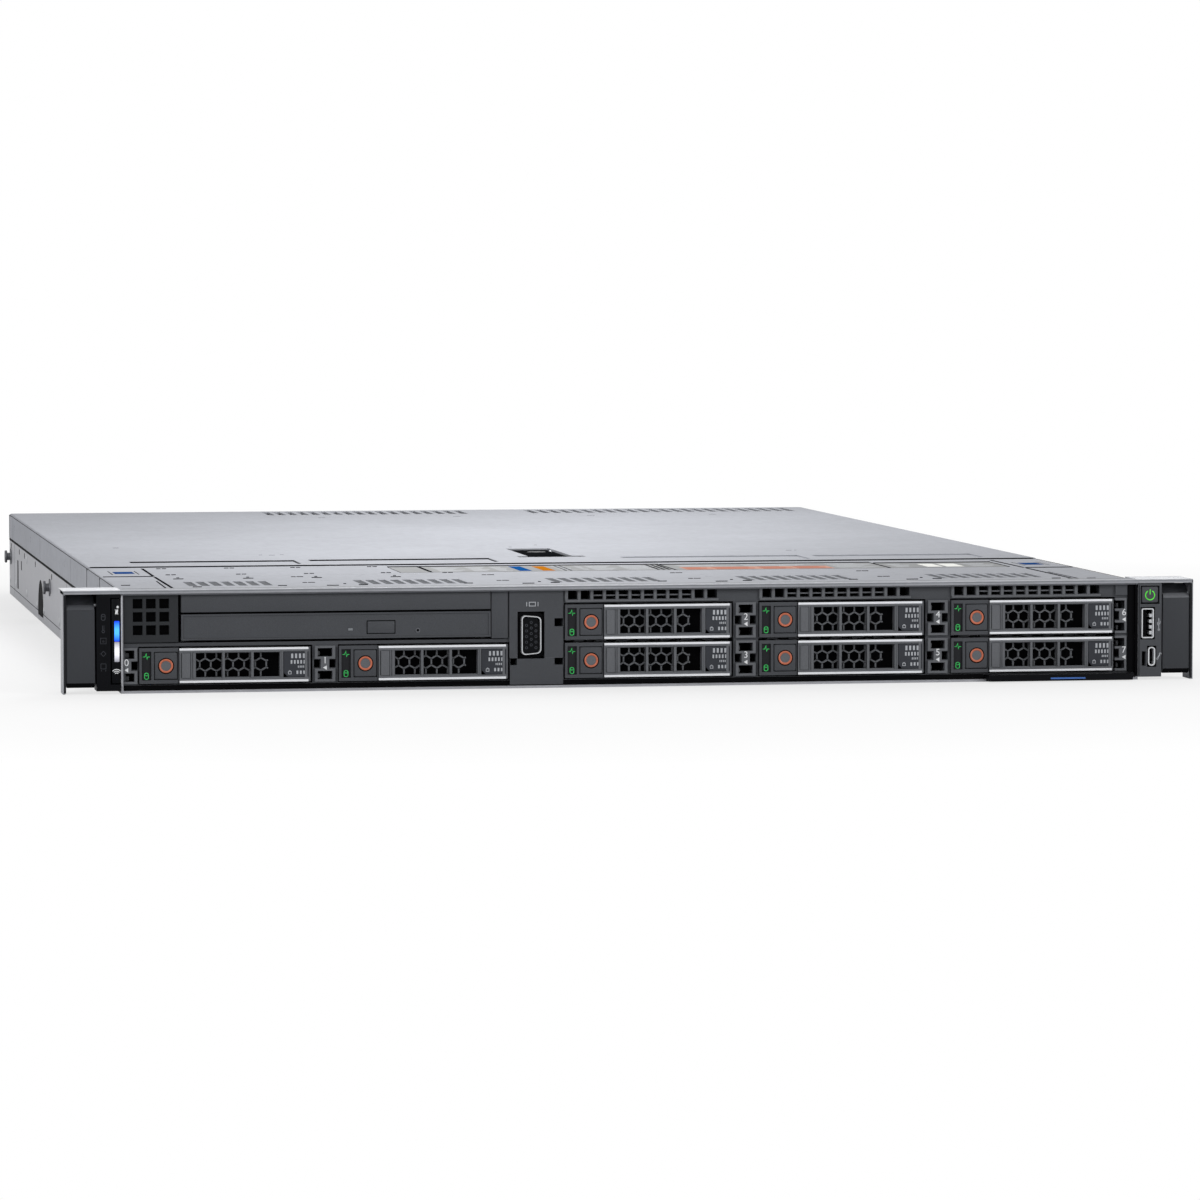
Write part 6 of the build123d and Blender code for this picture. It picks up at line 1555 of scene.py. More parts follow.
def build_sides():
    """Shoulder studs, rivets and folded seams on both side walls, and black plates, discs and a band that
    paint the shade in the walls' openings, in pressed dimples and under the flange.
    """
    studs = Shape()
    for y in STUD_FIRST + STUD_PITCH * np.arange(3):
        studs.lathe(STUD_PROFILE, (y, STUD_HEIGHT), "yz", 28)
    piece("studs_left", studs, "chassis", ["stud metal"], ["rail_studs"])
    piece("studs_right", studs.mirrored(), "chassis", ["stud metal"])
    rivets = Shape()
    for y, z in WALL_RIVETS:
        rivets.lathe([(2.0, -216.9), (2.0, -217.12), (1.5, -217.36), (0.4, -217.42)], (y, z), "yz", 18)
    both_sides("wall_rivets", rivets, "chassis", ["screw metal"])
    seams = Shape()
    for y, low, high in ((145.0, 1.5, 28.0), (174.0, 1.5, 29.5), (288.0, 2.0, 29.0), (452.5, 2.0, 8.0),
                         (640.0, 2.0, 29.0)):
        seams.stroke([(y, low), (y, high)], 0.5, (-217.03, -216.9), "yz")
    seams.stroke([(64.0, 4.4), (676.0, 4.4)], 0.35, (-217.02, -216.9), "yz")
    both_sides("wall_seams", seams, "chassis", ["print and shade dark"])
    # Black plates over the openings, black discs and a band under the flange: painted shade.
    shades = Shape()
    for (front, back), (low, high) in (((611.0, 618.0), (6.4, 21.2)), ((586.0, 590.0), (17.6, 22.3))):
        shades.slab((front, back), (low, high), (-217.08, -216.95), (), "yz")
    arch = np.concatenate([arc(452.5, 3.5, 17.0, 0, 180, 16), [(437.5, 2.6), (467.5, 2.6)]])
    shades.prism(arch, (-217.08, -216.95), "yz")
    for y in (379.0, 488.0, 565.0, 603.0, 664.0):
        shades.lathe([(1.5, -216.9), (1.5, -217.1)], (y, 26.3), "yz", 12)
    shades.slab((23.0, 678.6), (28.8, 29.95), (-217.12, -216.9), (), "yz")
    both_sides("wall_opening_shades", shades, "chassis", ["deep black"])
    for node, finish in (("chassis_base", "case sheet"), ("drive_cage", "case sheet"),
                         ("optical_drive", "supply sheet")):
        dress(node, finish)


REAR = 679.25
HANDLE_END = 714.6
TAB_PIN = (-81.0, 683.55)


def build_rear_ports():
    """Display, stacked and network sockets on the board's rear edge, with shells, contacts and lamps."""
    low = span("rear_ports")[0]
    back, left = REAR + 0.6, low[0]
    shells, black = Shape(), Shape()
    shells.box((left, left + 30.8), (back - 2.0, back), (8.6, 21.1), 0.2)
    black.slab((left + 0.3, left + 30.5), (8.8, 20.8), (back - 14.0, back - 2.0))
    face = corner_points(8.3, 4.0, 1.9, 5)
    face[:, 0] *= 1 + 0.045 * face[:, 1]
    centre = np.array([left + 15.4, 14.85])
    levels = [(1.0, back - 0.2), (1.0, back + 3.7), (0.97, back + 3.95), (0.95, back + 3.95),
              (0.93, back + 3.7), (0.93, back - 0.2)]
    shells.sweep([lay(face * scale + centre, y) for scale, y in levels], closed=True)
    insert = Shape().sweep([lay(face * 0.93 + centre, back), lay(face * 0.93 + centre, back + 3.0)])
    for row in range(3):
        for column in range(5):
            spot = centre + [(column - 2 + 0.25 * (row - 1)) * 2.6, (row - 1) * 2.3]
            # Black discs in the contact holes: painted shade.
            insert.lathe([(0.62, back + 2.6), (0.62, back + 3.02), (0.1, back + 3.02)], spot,
                         steps=10, paint=1)
    for side in (-12.4, 12.4):
        post = arc(centre[0] + side, centre[1], 2.3, 0, 300, 5)
        shells.prism(post, (back + 2.6, back - 0.2), edge=0.3)
        black.lathe([(1.1, back + 2.4), (1.1, back + 2.62), (0.1, back + 2.62)], centre + [side, 0], steps=14)
    stack = left + 34.0
    holes = [(stack + 0.9, stack + 13.7, 8.6 + rise, 8.6 + rise + 5.9) for rise in (1.1, 8.3)]
    shells.slab((stack, stack + 14.6), (8.6, 24.2), (back - 18.0, back), holes)
    gold = Shape()
    for _, _, low_z, _ in holes:
        black.slab((stack + 0.5, stack + 14.1), (low_z - 0.3, low_z + 6.2), (back - 17.5, back - 15.0))
        black.box((stack + 2.0, stack + 12.6), (back - 16.0, back - 1.4), (low_z + 3.2, low_z + 5.1), 0.3)
        for contact in range(4):
            gold.box((stack + 3.0 + contact * 2.3, stack + 4.2 + contact * 2.3), (back - 12.0, back - 2.0),
                     (low_z + 3.05, low_z + 3.3), 0.08)
    lamps = Shape()
    for index in range(2):
        x = stack + 18.0 + index * 17.4
        opening = (x + 2.2, x + 14.0, 10.4, 18.8)
        shells.slab((x, x + 16.2), (8.6, 22.2), (back - 1.2, back), [opening])
        black.slab((x + 0.4, x + 15.8), (9.0, 21.8), (back - 21.0, back - 1.2), [opening])
        black.slab((x + 0.5, x + 15.7), (9.2, 21.5), (back - 20.5, back - 16.0))
        black.slab((x + 2.2, x + 5.2), (10.4, 12.2), (back - 16.0, back - 0.4))
        black.slab((x + 11.0, x + 14.0), (10.4, 12.2), (back - 16.0, back - 0.4))
        for contact in range(8):
            gold.box((x + 3.5 + contact * 1.2, x + 3.95 + contact * 1.2), (back - 15.0, back - 4.0),
                     (17.7, 18.1), 0.08)
        for light, offset in ((0, 2.4), (1, 11.0)):
            lamps.box((x + offset, x + offset + 2.8), (back - 0.4, back + 0.08), (19.6, 21.2), 0.2, light)
        for rib in range(3):
            shells.box((x + 2.0 + rib * 5.0, x + 4.0 + rib * 5.0), (back - 0.2, back + 0.06),
                       (8.9, 9.6), 0.15)
    piece("socket_shells", shells, "chassis", ["port metal"], ["rear_ports"], 0.12)
    piece("socket_insides", black, "chassis", ["deep black"])
    piece("display_insert", insert, "chassis", ["touch blue", "deep black"])
    piece("socket_contacts", gold, "chassis", ["gold"])
    return piece("socket_lamps", lamps, "chassis", ["green light", "release plastic"])


def build_rear_fillers():
    """Louvred blank of the empty power bay, and two pierced expansion covers with bent lips and screws."""
    left, top = -214.1, 40.5
    blank = Shape()
    louvres = [(left + 8.0 + 12.4 * column, left + 17.0 + 12.4 * column, 7.0 + 5.6 * row, 9.2 + 5.6 * row)
               for column in range(6) for row in range(5)]
    blank.slab((left, left + 86.0), (1.3, top), (REAR, REAR + 1.0), louvres)
    for x in ((left, left + 1.0), (left + 85.0, left + 86.0)):
        blank.slab((REAR - 9.0, REAR + 0.1), (1.3, top), x, (), "yz")
    blank.slab((left + 1.0, left + 85.0), (1.3, 2.3), (REAR - 9.0, REAR))
    blank.slab((left + 1.0, left + 85.0), (top - 1.0, top), (REAR - 9.0, REAR))
    # A black plate behind the louvres: painted shade inside the bay.
    blank.slab((left + 0.8, left + 85.2), (2.0, top - 0.7), (REAR - 8.9, REAR - 8.0), paint=1)
    piece("bay_blank", blank, "chassis", ["supply sheet", "deep black"], ["rear_fillers"], 0.25,
          wear_and_highlight="worn sheet")
    covers, screws = Shape(), Shape()
    for x in (58.4, 136.4):
        holes = [(x + 4.0 + 4.4 * i, x + 7.0 + 4.4 * i, 20.2 + 4.4 * j, 22.8 + 4.4 * j) for i in range(15)
                 for j in range(3)]
        covers.slab((x + 0.4, x + 73.6), (18.4, 36.1), (REAR - 1.2, REAR - 0.2), holes)
        covers.slab((x - 1.5, x + 75.5), (16.5, 38.0), (REAR - 2.0, REAR - 1.05),
                    [(x + 2.0, x + 72.0, 19.0, 35.5)])
        covers.box((x + 71.0, x + 73.0), (REAR - 1.0, REAR + 0.4), (21.0, 33.0), 0.3)
    for x in (56.4, 134.4, 212.4):
        screws.lathe([(0.3, REAR + 0.5), (2.0, REAR + 0.9), (2.4, REAR + 0.5), (2.4, REAR)],
                     (x - 0.6, 39.0 if x < 212 else 8.0), steps=20)
    piece("slot_covers", covers, "chassis", ["case sheet"], bevel=0.15)
    return piece("rear_screws", screws, "chassis", ["screw metal"])


def frame_round(shape, u, v, centre, radius, w, paint=0):
    """Plate from a rectangle to a round hole: each outline point runs along its own ray to the circle."""
    outline = corner_points((u[1] - u[0]) / 2, (v[1] - v[0]) / 2, 0.6, 11) + [sum(u) / 2, sum(v) / 2]
    outline = np.concatenate([outline, (outline + np.roll(outline, -1, 0)) / 2], 1).reshape(-1, 2)
    ray = outline - centre
    hole = centre + radius * ray / np.linalg.norm(ray, axis=1)[:, None]
    return shape.sweep([lay(outline, w[0]), lay(hole, w[0]), lay(hole, w[1]), lay(outline, w[1])],
                       closed=True, paint=paint)


def radial_bar(angle, start, end, half, centre):
    """Outline of a straight bar along a ray from a centre, half wide on each side of the ray."""
    ray = arc(0, 0, 1, angle, angle, 1)[0]
    across = np.array([-ray[1], ray[0]]) * half
    return np.stack([ray * start + across, ray * end + across, ray * end - across,
                     ray * start - across]) + centre


def wheel_shape(radius, hub, depth, x, y_back, z, blades=7):
    """Hub with a rounded nose, and blades: an aerofoil ellipse carried outwards as its pitch flattens."""
    shape = Shape()
    nose = y_back - depth
    profile = [(0.4, y_back), (hub - 0.8, y_back), (hub, y_back - 0.8), (hub, nose + 1.6),
               (hub - 0.5, nose + 0.5), (hub - 1.6, nose), (0.4, nose)]
    shape.lathe(profile, (x, z), steps=40)
    turn = np.linspace(0, TURN, 15)[:-1]
    for blade in range(blades):
        sections = []
        for r in np.linspace(hub - 0.6, radius, 6):
            share = (r - hub) / (radius - hub)
            pitch = np.radians(46 - 14 * share)
            half = 0.46 * depth / np.sin(pitch) * (0.86 if share < 0.5 else 0.8)
            along = half * np.cos(turn)
            across = 0.62 * np.sin(turn) + 0.09 * half * np.cos(2 * turn)
            turned = (along * np.cos(pitch) - across * np.sin(pitch)) / r
            angle = blade * TURN / blades + turned + 0.12 * share
            y = (y_back + nose) / 2 + along * np.sin(pitch) + across * np.cos(pitch)
            sections.append(np.stack([x + r * np.cos(angle), np.clip(y, nose + 0.1, y_back - 0.1),
                                      z + r * np.sin(angle)], -1))
        shape.sweep(sections)
    return shape


# Power supply

SUPPLY_X, SUPPLY_Y, SUPPLY_Z = (-126.5, -40.5), (493.75, 680.75), (1.3, 40.5)
INLET = (SUPPLY_X[0] + 1.2, SUPPLY_X[0] + 19.6, 6.0, 33.4)
FAN_CENTRE = np.array([-62.3, 20.9])


def build_supply_shell():
    """Sheet shell of the power supply, open at its inlet and fan, and the round fan guard."""
    (left, right), (front, face), (low, top) = SUPPLY_X, SUPPLY_Y, SUPPLY_Z
    shell = Shape()
    shell.slab((front, face), (low, top), (left, left + 1.0),
               [(front + 20 + 9 * i, front + 26 + 9 * i, 12.0, 14.5) for i in range(8)], "yz")
    shell.slab((front, face), (low, top), (right - 1.0, right), (), "yz")
    shell.slab((left + 1.0, right - 1.0), (front, face), (low, low + 1.0), (), "xy")
    shell.slab((left + 1.0, right - 1.0), (front, face), (top - 1.0, top), (), "xy")
    slots = [(left + 8 + 8 * i, left + 12 + 8 * i, low + 8, top - 8) for i in range(9)]
    shell.slab((left + 1.0, right - 1.0), (low + 1.0, top - 1.0), (front, front + 1.0), slots)
    shell.slab((left + 1.0, -82.0), (low + 1.0, top - 1.0), (face - 1.5, face), [INLET])
    frame_round(shell, (-82.0, right - 1.0), (low + 1.0, top - 1.0), FAN_CENTRE, 18.0, (face - 1.5, face))
    ends = ((-79.0, 5.2), (-45.6, 5.2), (-79.0, 36.8), (-45.6, 36.8))
    guard = Shape()
    for radius in (5.4, 9.4, 14.0):
        guard.lathe([(radius - 0.6, face - 1.4), (radius - 0.6, face - 0.1), (radius + 0.6, face - 0.1),
                     (radius + 0.6, face - 1.4)], FAN_CENTRE, steps=44, closed=True)
    guard.lathe([(5.0, face - 4.4), (5.0, face - 0.3), (4.6, face), (0.4, face)], FAN_CENTRE, steps=30)
    for angle in (45, 135, 225, 315):
        guard.prism(radial_bar(angle, 4.8, 18.4, 0.8, FAN_CENTRE), (face - 1.3, face - 0.2))
    for spot in ends:
        guard.lathe([(0.3, face + 0.35), (1.3, face + 0.6), (1.9, face + 0.3), (1.9, face - 0.2)], spot,
                    steps=18, paint=1)
    piece("supply_shell", shell, "power_supply", ["supply sheet"], ["power_supply"], 0.25,
          wear_and_highlight="worn sheet")
    return piece("fan_guard", guard, "power_supply", ["soft black", "screw metal"])


def build_supply_face():
    """Rear face of the power supply: inlet with its pins, handle, tab bearings, lamp and top label."""
    (left, right), (front, face), (_, top) = SUPPLY_X, SUPPLY_Y, SUPPLY_Z
    black = Shape()
    centre = np.array([(INLET[0] + INLET[1]) / 2, (INLET[2] + INLET[3]) / 2])
    half = np.array([INLET[1] - INLET[0], INLET[3] - INLET[2]]) / 2
    levels = [(0.0, face - 17), (0.0, face + 0.6), (0.35, face + 1.0), (1.4, face + 1.0), (1.6, face + 0.7),
              (1.6, face - 17)]
    black.sweep([lay(corner_points(half[0] - d, half[1] - d, 1.4, 4) + centre, y) for d, y in levels],
                closed=True)
    black.slab((INLET[0] + 0.5, INLET[1] - 0.5), (INLET[2] + 0.5, INLET[3] - 0.5), (face - 17.0, face - 15.2))
    pins = Shape()
    for x, z in ((-2.6, -7.0), (-2.6, 7.0), (2.4, 0.0)):
        pins.box((centre[0] + x - 0.9, centre[0] + x + 0.9), (face - 15.6, face - 2.5),
                 (centre[1] + z - 1.9, centre[1] + z + 1.9), 0.3)
    handle = Shape().slab((face - 0.2, HANDLE_END), (8.0, top), (-106.0, -88.0),
                          [(face - 1.0, 708.0, 13.0, 35.5)], "yz")
    piece("supply_handle", handle, "power_supply", ["soft black"],
          bevel=2.0, segments=4)
    grip = Shape()
    for z in 15.5 + 2.6 * np.arange(8):
        grip.box((-104.0, -90.0), (HANDLE_END - 0.6, HANDLE_END), (z, z + 1.2), 0.25)
    piece("handle_ribs", grip, "power_supply", ["soft black"])
    for z in (27.15, 37.25):
        black.slab((-83.4, -78.6), (face - 0.2, 683.55), (z, z + 1.6), (), "xy")
        black.lathe([(2.4, z), (2.4, z + 1.6)], TAB_PIN, "xy", 24)
    piece("supply_inlet", black, "power_supply", ["soft black"])
    piece("inlet_pins", pins, "power_supply", ["gold"])
    lamp = Shape().lathe([(1.5, face - 0.2), (1.5, face + 0.25), (0.9, face + 0.45), (0.2, face + 0.5)],
                         (-84.5, 9.0), steps=20)
    piece("supply_lamp", lamp, "power_supply", ["green light"])
    plate = Shape().slab((left + 8.0, right - 22.0), (front + 40.0, face - 30.0),
                         (top - 0.02, top + 0.06), (), "xy")
    for row in range(9):
        plate.slab((left + 12.0, left + 12.0 + 30.0 + 8 * (row % 4)),
                   (front + 48.0 + 10 * row, front + 51.0 + 10 * row), (top + 0.05, top + 0.08), (), "xy", 1)
    return piece("supply_plate", plate, "power_supply", ["label white", "print grey"])


def build_supply_latch():
    """Release tab on its pin, and the power supply's fan wheel."""
    tab = Shape().lathe([(2.4, 29.0), (2.4, 37.0)], TAB_PIN, "xy", 24)
    tab.box((-82.2, -79.8), (684.5, 701.75), (29.0, 37.0), 0.5)
    tab.box((-85.0, -80.2), (699.4, 701.75), (29.0, 37.0), 0.8)
    for z in 30.2 + 1.5 * np.arange(4):
        tab.box((-79.9, -79.5), (690.0, 700.5), (z, z + 0.7), 0.12)
    tab.lathe([(1.0, 27.15), (1.0, 38.85)], TAB_PIN, "xy", 16, paint=1)
    piece("release_tab", tab, "psu_latch", ["release plastic", "screw metal"], ["psu_latch"])
    wheel = wheel_shape(17.2, 8.5, 12.0, FAN_CENTRE[0], SUPPLY_Y[1] - 1.5 - 3.15, FAN_CENTRE[1], 9)
    return piece("supply_wheel", wheel, "psu_fan_rotor", ["fan plastic"], ["psu_fan_rotor"], angle=50)


def build_supply_inside():
    """Board in the power supply, with capacitors, a block, a wound ring and cooling fins."""
    (left, right), (front, face), (low, _) = SUPPLY_X, SUPPLY_Y, SUPPLY_Z
    inner = Shape().slab((left + 4.0, right - 4.0), (front + 4.0, face - 42.0),
                         (low + 1.0, low + 2.6), (), "xy")
    piece("supply_board", inner, "power_supply", ["board"])
    parts = Shape()
    for y in (520.0, 547.0):
        parts.lathe([(12.6, low + 2.6), (12.6, low + 26.0), (11.8, low + 27.0), (11.2, low + 26.6),
                     (0.5, low + 26.6)], (left + 19.2, y), "xy", 32)
    parts.box((left + 40.0, left + 73.0), (front + 60.0, front + 105.0), (low + 2.6, low + 31.0), 1.0, 1)
    parts.lathe([(6.0, low + 3.0), (11.5, low + 3.0), (11.5, low + 14.0), (6.0, low + 14.0)],
                (left + 20.0, front + 104.0), "xy", 32, True, 2)
    for x in left + 39.0 + 4.4 * np.arange(8):
        parts.slab((front + 14.0, front + 44.0), (low + 2.6, low + 26.0), (x, x + 1.4), (), "yz", 3)
    return piece("supply_parts", parts, "power_supply", ["capacitor", "copper", "chip", "heatsink"])


# Inside

MODULE_OFFSETS = 49.0 + 8.4 * np.arange(8)
COOLER_X = 20
FAN_XS = (-70.0, -10.0, 50.0, 110.0)


def build_board():
    """Mainboard with sockets, power stages, cooler, connectors, coin cell and small chips."""
    side = span("mainboard")[1][0]
    supply_front = REAR - 187.0 - 8.0
    edge = -37.9
    sheet = Shape().slab((-side, side), (262.0, REAR - 1.3), (7.0, 8.6),
                         [(-side - 1, edge, supply_front, REAR)], "xy")
    piece("board_sheet", sheet, "chassis", ["board"], ["mainboard"])
    top = 8.6
    rows = Shape()
    rows.slab((-18.0, 58.0), (318.0, 412.0), (top, top + 3.4), (), "xy", 1)
    rows.box((-12.0, 52.0), (326.0, 404.0), (top + 3.2, top + 4.9), 0.6, 2)
    for x in [COOLER_X + side * m for side in (-1, 1) for m in MODULE_OFFSETS]:
        rows.slab((x - 3.25, x + 3.25), (298.0, 439.35), (top, top + 5.0),
                  [(x - 0.85, x + 0.85, 301.6, 435.8)], "xy")
        for y in (298.6, 435.6):
            rows.box((x - 2.2, x + 2.2), (y, y + 3.2), (top + 4.6, top + 12.0), 0.5, 3)
    piece("board_sockets", rows, "chassis", ["socket plastic", "screw metal", "heatsink", "ivory plastic"])
    parts = Shape()
    for i in range(12):
        parts.box((-32.0 + 9 * i, -26.0 + 9 * i), (449.0, 457.0), (top, top + 6.0), 0.5, 1)
        for y in (464.0, 292.0):
            parts.lathe([(2.9, top), (2.9, top + 7.6), (2.5, top + 8.0), (0.3, top + 8.0)],
                        (-29.0 + 9 * i, y), "xy", 18, paint=2)
    for x, y, w, d, h in ((-20, 610, 20, 20, 3.2), (40, 560, 14, 14, 1.6), (66, 600, 12, 18, 1.4),
                          (110, 530, 17, 17, 2), (-150, 330, 12, 12, 1.6),
                          (-168, 360, 10, 14, 1.5), (160, 330, 12, 16, 1.6), (176, 390, 9, 9, 1.4),
                          (90, 640, 16, 10, 2), (150, 560, 24, 24, 2.6)):
        parts.box((x, x + w), (y, y + d), (top, top + h), 0.25)
    for x, y, w, d, h in ((-170, 420, 40, 8, 11), (-170, 434, 40, 8, 11), (-190, 280, 46, 9, 9),
                          (-60, 272, 22, 10, 10), (60, 272, 22, 10, 10),
                          (130, 272, 30, 10, 10), (70, 500, 8, 90, 9), (150, 480, 8, 70, 9)):
        parts.slab((x, x + w), (y, y + d), (top, top + h),
                   [(x + 1.2, x + w - 1.2, y + 1.2, y + d - 1.2)], "xy", 3)
        parts.slab((x + 1, x + w - 1), (y + 1, y + d - 1), (top, top + h * 0.6), (), "xy")
    parts.lathe([(10.0, top), (10.0, top + 2.6), (9.4, top + 3.2), (0.5, top + 3.2)], (120.0, 600.0), "xy",
                36, paint=4)
    parts.box((10.0, 40.0), (520.0, 550.0), (top, top + 2.0), 0.4, 5)
    for x in 10.4 + 2.8 * np.arange(11):
        parts.slab((520.5, 549.5), (top + 1.8, top + 8.0), (x, x + 1.0), (), "yz", 5)
    spots = [(x, 472.0) for x in -150 + 14.0 * np.arange(6)]
    spots += [(x, y) for x in (-30, -22, 52, 60, 180, 190) for y in (500, 512, 524, 536, 580, 592, 630, 650)]
    for x, y in spots:
        parts.slab((x, x + 3.2), (y, y + 1.6), (top, top + 0.9), (), "xy", 6)
    finishes = ["chip", "chip", "capacitor", "socket plastic", "screw metal", "heatsink", "ivory plastic"]
    return piece("board_parts", parts, "chassis", finishes)


def build_memory():
    """Sixteen memory modules: thin board, nine chips a side, gold edge and a plain label."""
    module = Shape().slab((302.0, 435.35), (10.8, 40.5), (-0.63, 0.63),
                          [(301, 303.5, 24, 27), (433.8, 436, 24, 27)], "yz")
    for i in range(9):
        y = 306.0 + 14.2 * i
        for x in ((0.6, 1.6), (-1.6, -0.6)):
            module.slab((y, y + 9.6), (21.0, 33.5), x, (), "yz", 1)
    module.slab((303.5, 434.0), (10.7, 13.6), (-0.68, 0.68), (), "yz", 2)
    module.slab((340.0, 398.0), (22.0, 33.0), (1.58, 1.68), (), "yz", 3)
    modules = Shape().copies(module, [(COOLER_X + side * m, 0, 0) for side in (-1, 1)
                                      for m in MODULE_OFFSETS])
    return piece("memory_rows", modules, "chassis", ["memory board", "chip", "gold", "label white"],
                 ["memory_modules"])


def build_cooler():
    """Processor cooler: base, 21 fins on copper pipes, and four sprung screws."""
    cooler = Shape().box((-22.0, 62.0), (313.0, 417.0), (13.6, 18.6), 0.4)
    step = 83.0 / 20
    for i in range(21):
        x = -22.0 + i * step
        holes = [(313, 325, 15, 45), (405, 418, 15, 45)] if i in (0, 1, 19, 20) else ()
        cooler.slab((313.0, 417.0), (18.5, 39.6), (x, x + 0.9), holes, "yz")
    for y in (334.0, 352.0, 378.0, 396.0):
        cooler.lathe([(3.0, -22.6), (3.0, 62.6)], (y, 30.0), "yz", 16, paint=1)
    for x in (-20.0, 60.0):
        for y in (318.5, 411.5):
            cooler.lathe([(3.2, 18.6), (3.2, 27.0), (2.6, 27.6), (0.4, 27.6)], (x, y), "xy", 20, paint=2)
    return piece("cooler", cooler, "chassis", ["heatsink", "copper", "screw metal"],
                 ["cpu_heatsink"])


def build_fans():
    """Four case fans: square housings with a round bore, struts to the motor, blue grips and wheels."""
    low, high = span("fan_frames")
    half = (high[2] - low[2]) / 2
    z = (high[2] + low[2]) / 2
    y0, y1 = low[1], high[1]
    frames = Shape()
    for index, x in enumerate(FAN_XS):
        centre = np.array([x, z])
        outline = corner_points(half, half, 2.5, 10) + centre
        ray = (outline - centre) / np.linalg.norm(outline - centre, axis=1)[:, None]
        levels = [lay(outline, y0), lay(outline, y1)]
        bore = ((half - 1.0, y1), (half - 1.3, y1 - 2.0), (half - 1.3, y0 + 2.0), (half - 1.0, y0))
        levels += [lay(centre + ray * r, y) for r, y in bore]
        frames.sweep(levels, closed=True)
        for angle in np.arange(4) * 90.0:
            frames.prism(radial_bar(angle, 9, half - 0.8, 1.3, centre), (y1 - 2.8, y1 - 0.2))
        frames.lathe([(10.0, y1 - 2.9), (10.0, y1 - 0.5), (9.4, y1), (0.5, y1)], centre, steps=36)
        wheel = wheel_shape(half - 1.9, 10.0, 22.0, x, y1 - 3.3, z)
        node = f"fan_rotor_{index + 1}"
        piece(f"fan_wheel_{index + 1}", wheel, node, ["fan plastic"], [node], angle=50)
    piece("fan_housings", frames, "chassis", ["soft black"], ["fan_frames"])
    grips = Shape()
    for x in FAN_XS:
        grips.box((x - 9.0, x + 9.0), (y0 + 8.0, y0 + 14.0), (high[2] - 0.1, high[2] + 0.35), 0.15)
        grips.box((x - 15.0, x - 11.0), (y1 - 12.0, y1 - 2.0), (high[2] - 0.1, high[2] + 0.35), 0.15, 1)
    return piece("fan_grips", grips, "chassis", ["touch blue", "label white"])


def build_backplane():
    """Details of the board behind the drives: socket fronts, small chips and cable connectors at its back."""
    dress("backplane", "board")
    back = span("backplane")[1][1]
    parts = Shape()
    for x in (-190.0, -100.0, -8.0, 62.0, 156.0):
        parts.slab((x, x + 26.0), (4.5, 9.5), (back - 0.1, back + 2.0), (), "xz")
        parts.slab((x + 30.0, x + 36.0), (5.0, 11.0), (back - 0.1, back + 1.3), (), "xz", 1)
        for j in range(5):
            parts.slab((x + 2.0 + 4 * j, x + 4.0 + 4 * j), (12.0, 13.2), (back - 0.1, back + 0.8),
                       (), "xz", 2)
    return piece("backplane_parts", parts, "chassis", ["socket plastic", "chip", "ivory plastic"])


# Stage

FLOOR = -0.0002
FLOOR_HALF = 20.0
CAMERA_TILT, CAMERA_TURN = 3.6336, 10.0616


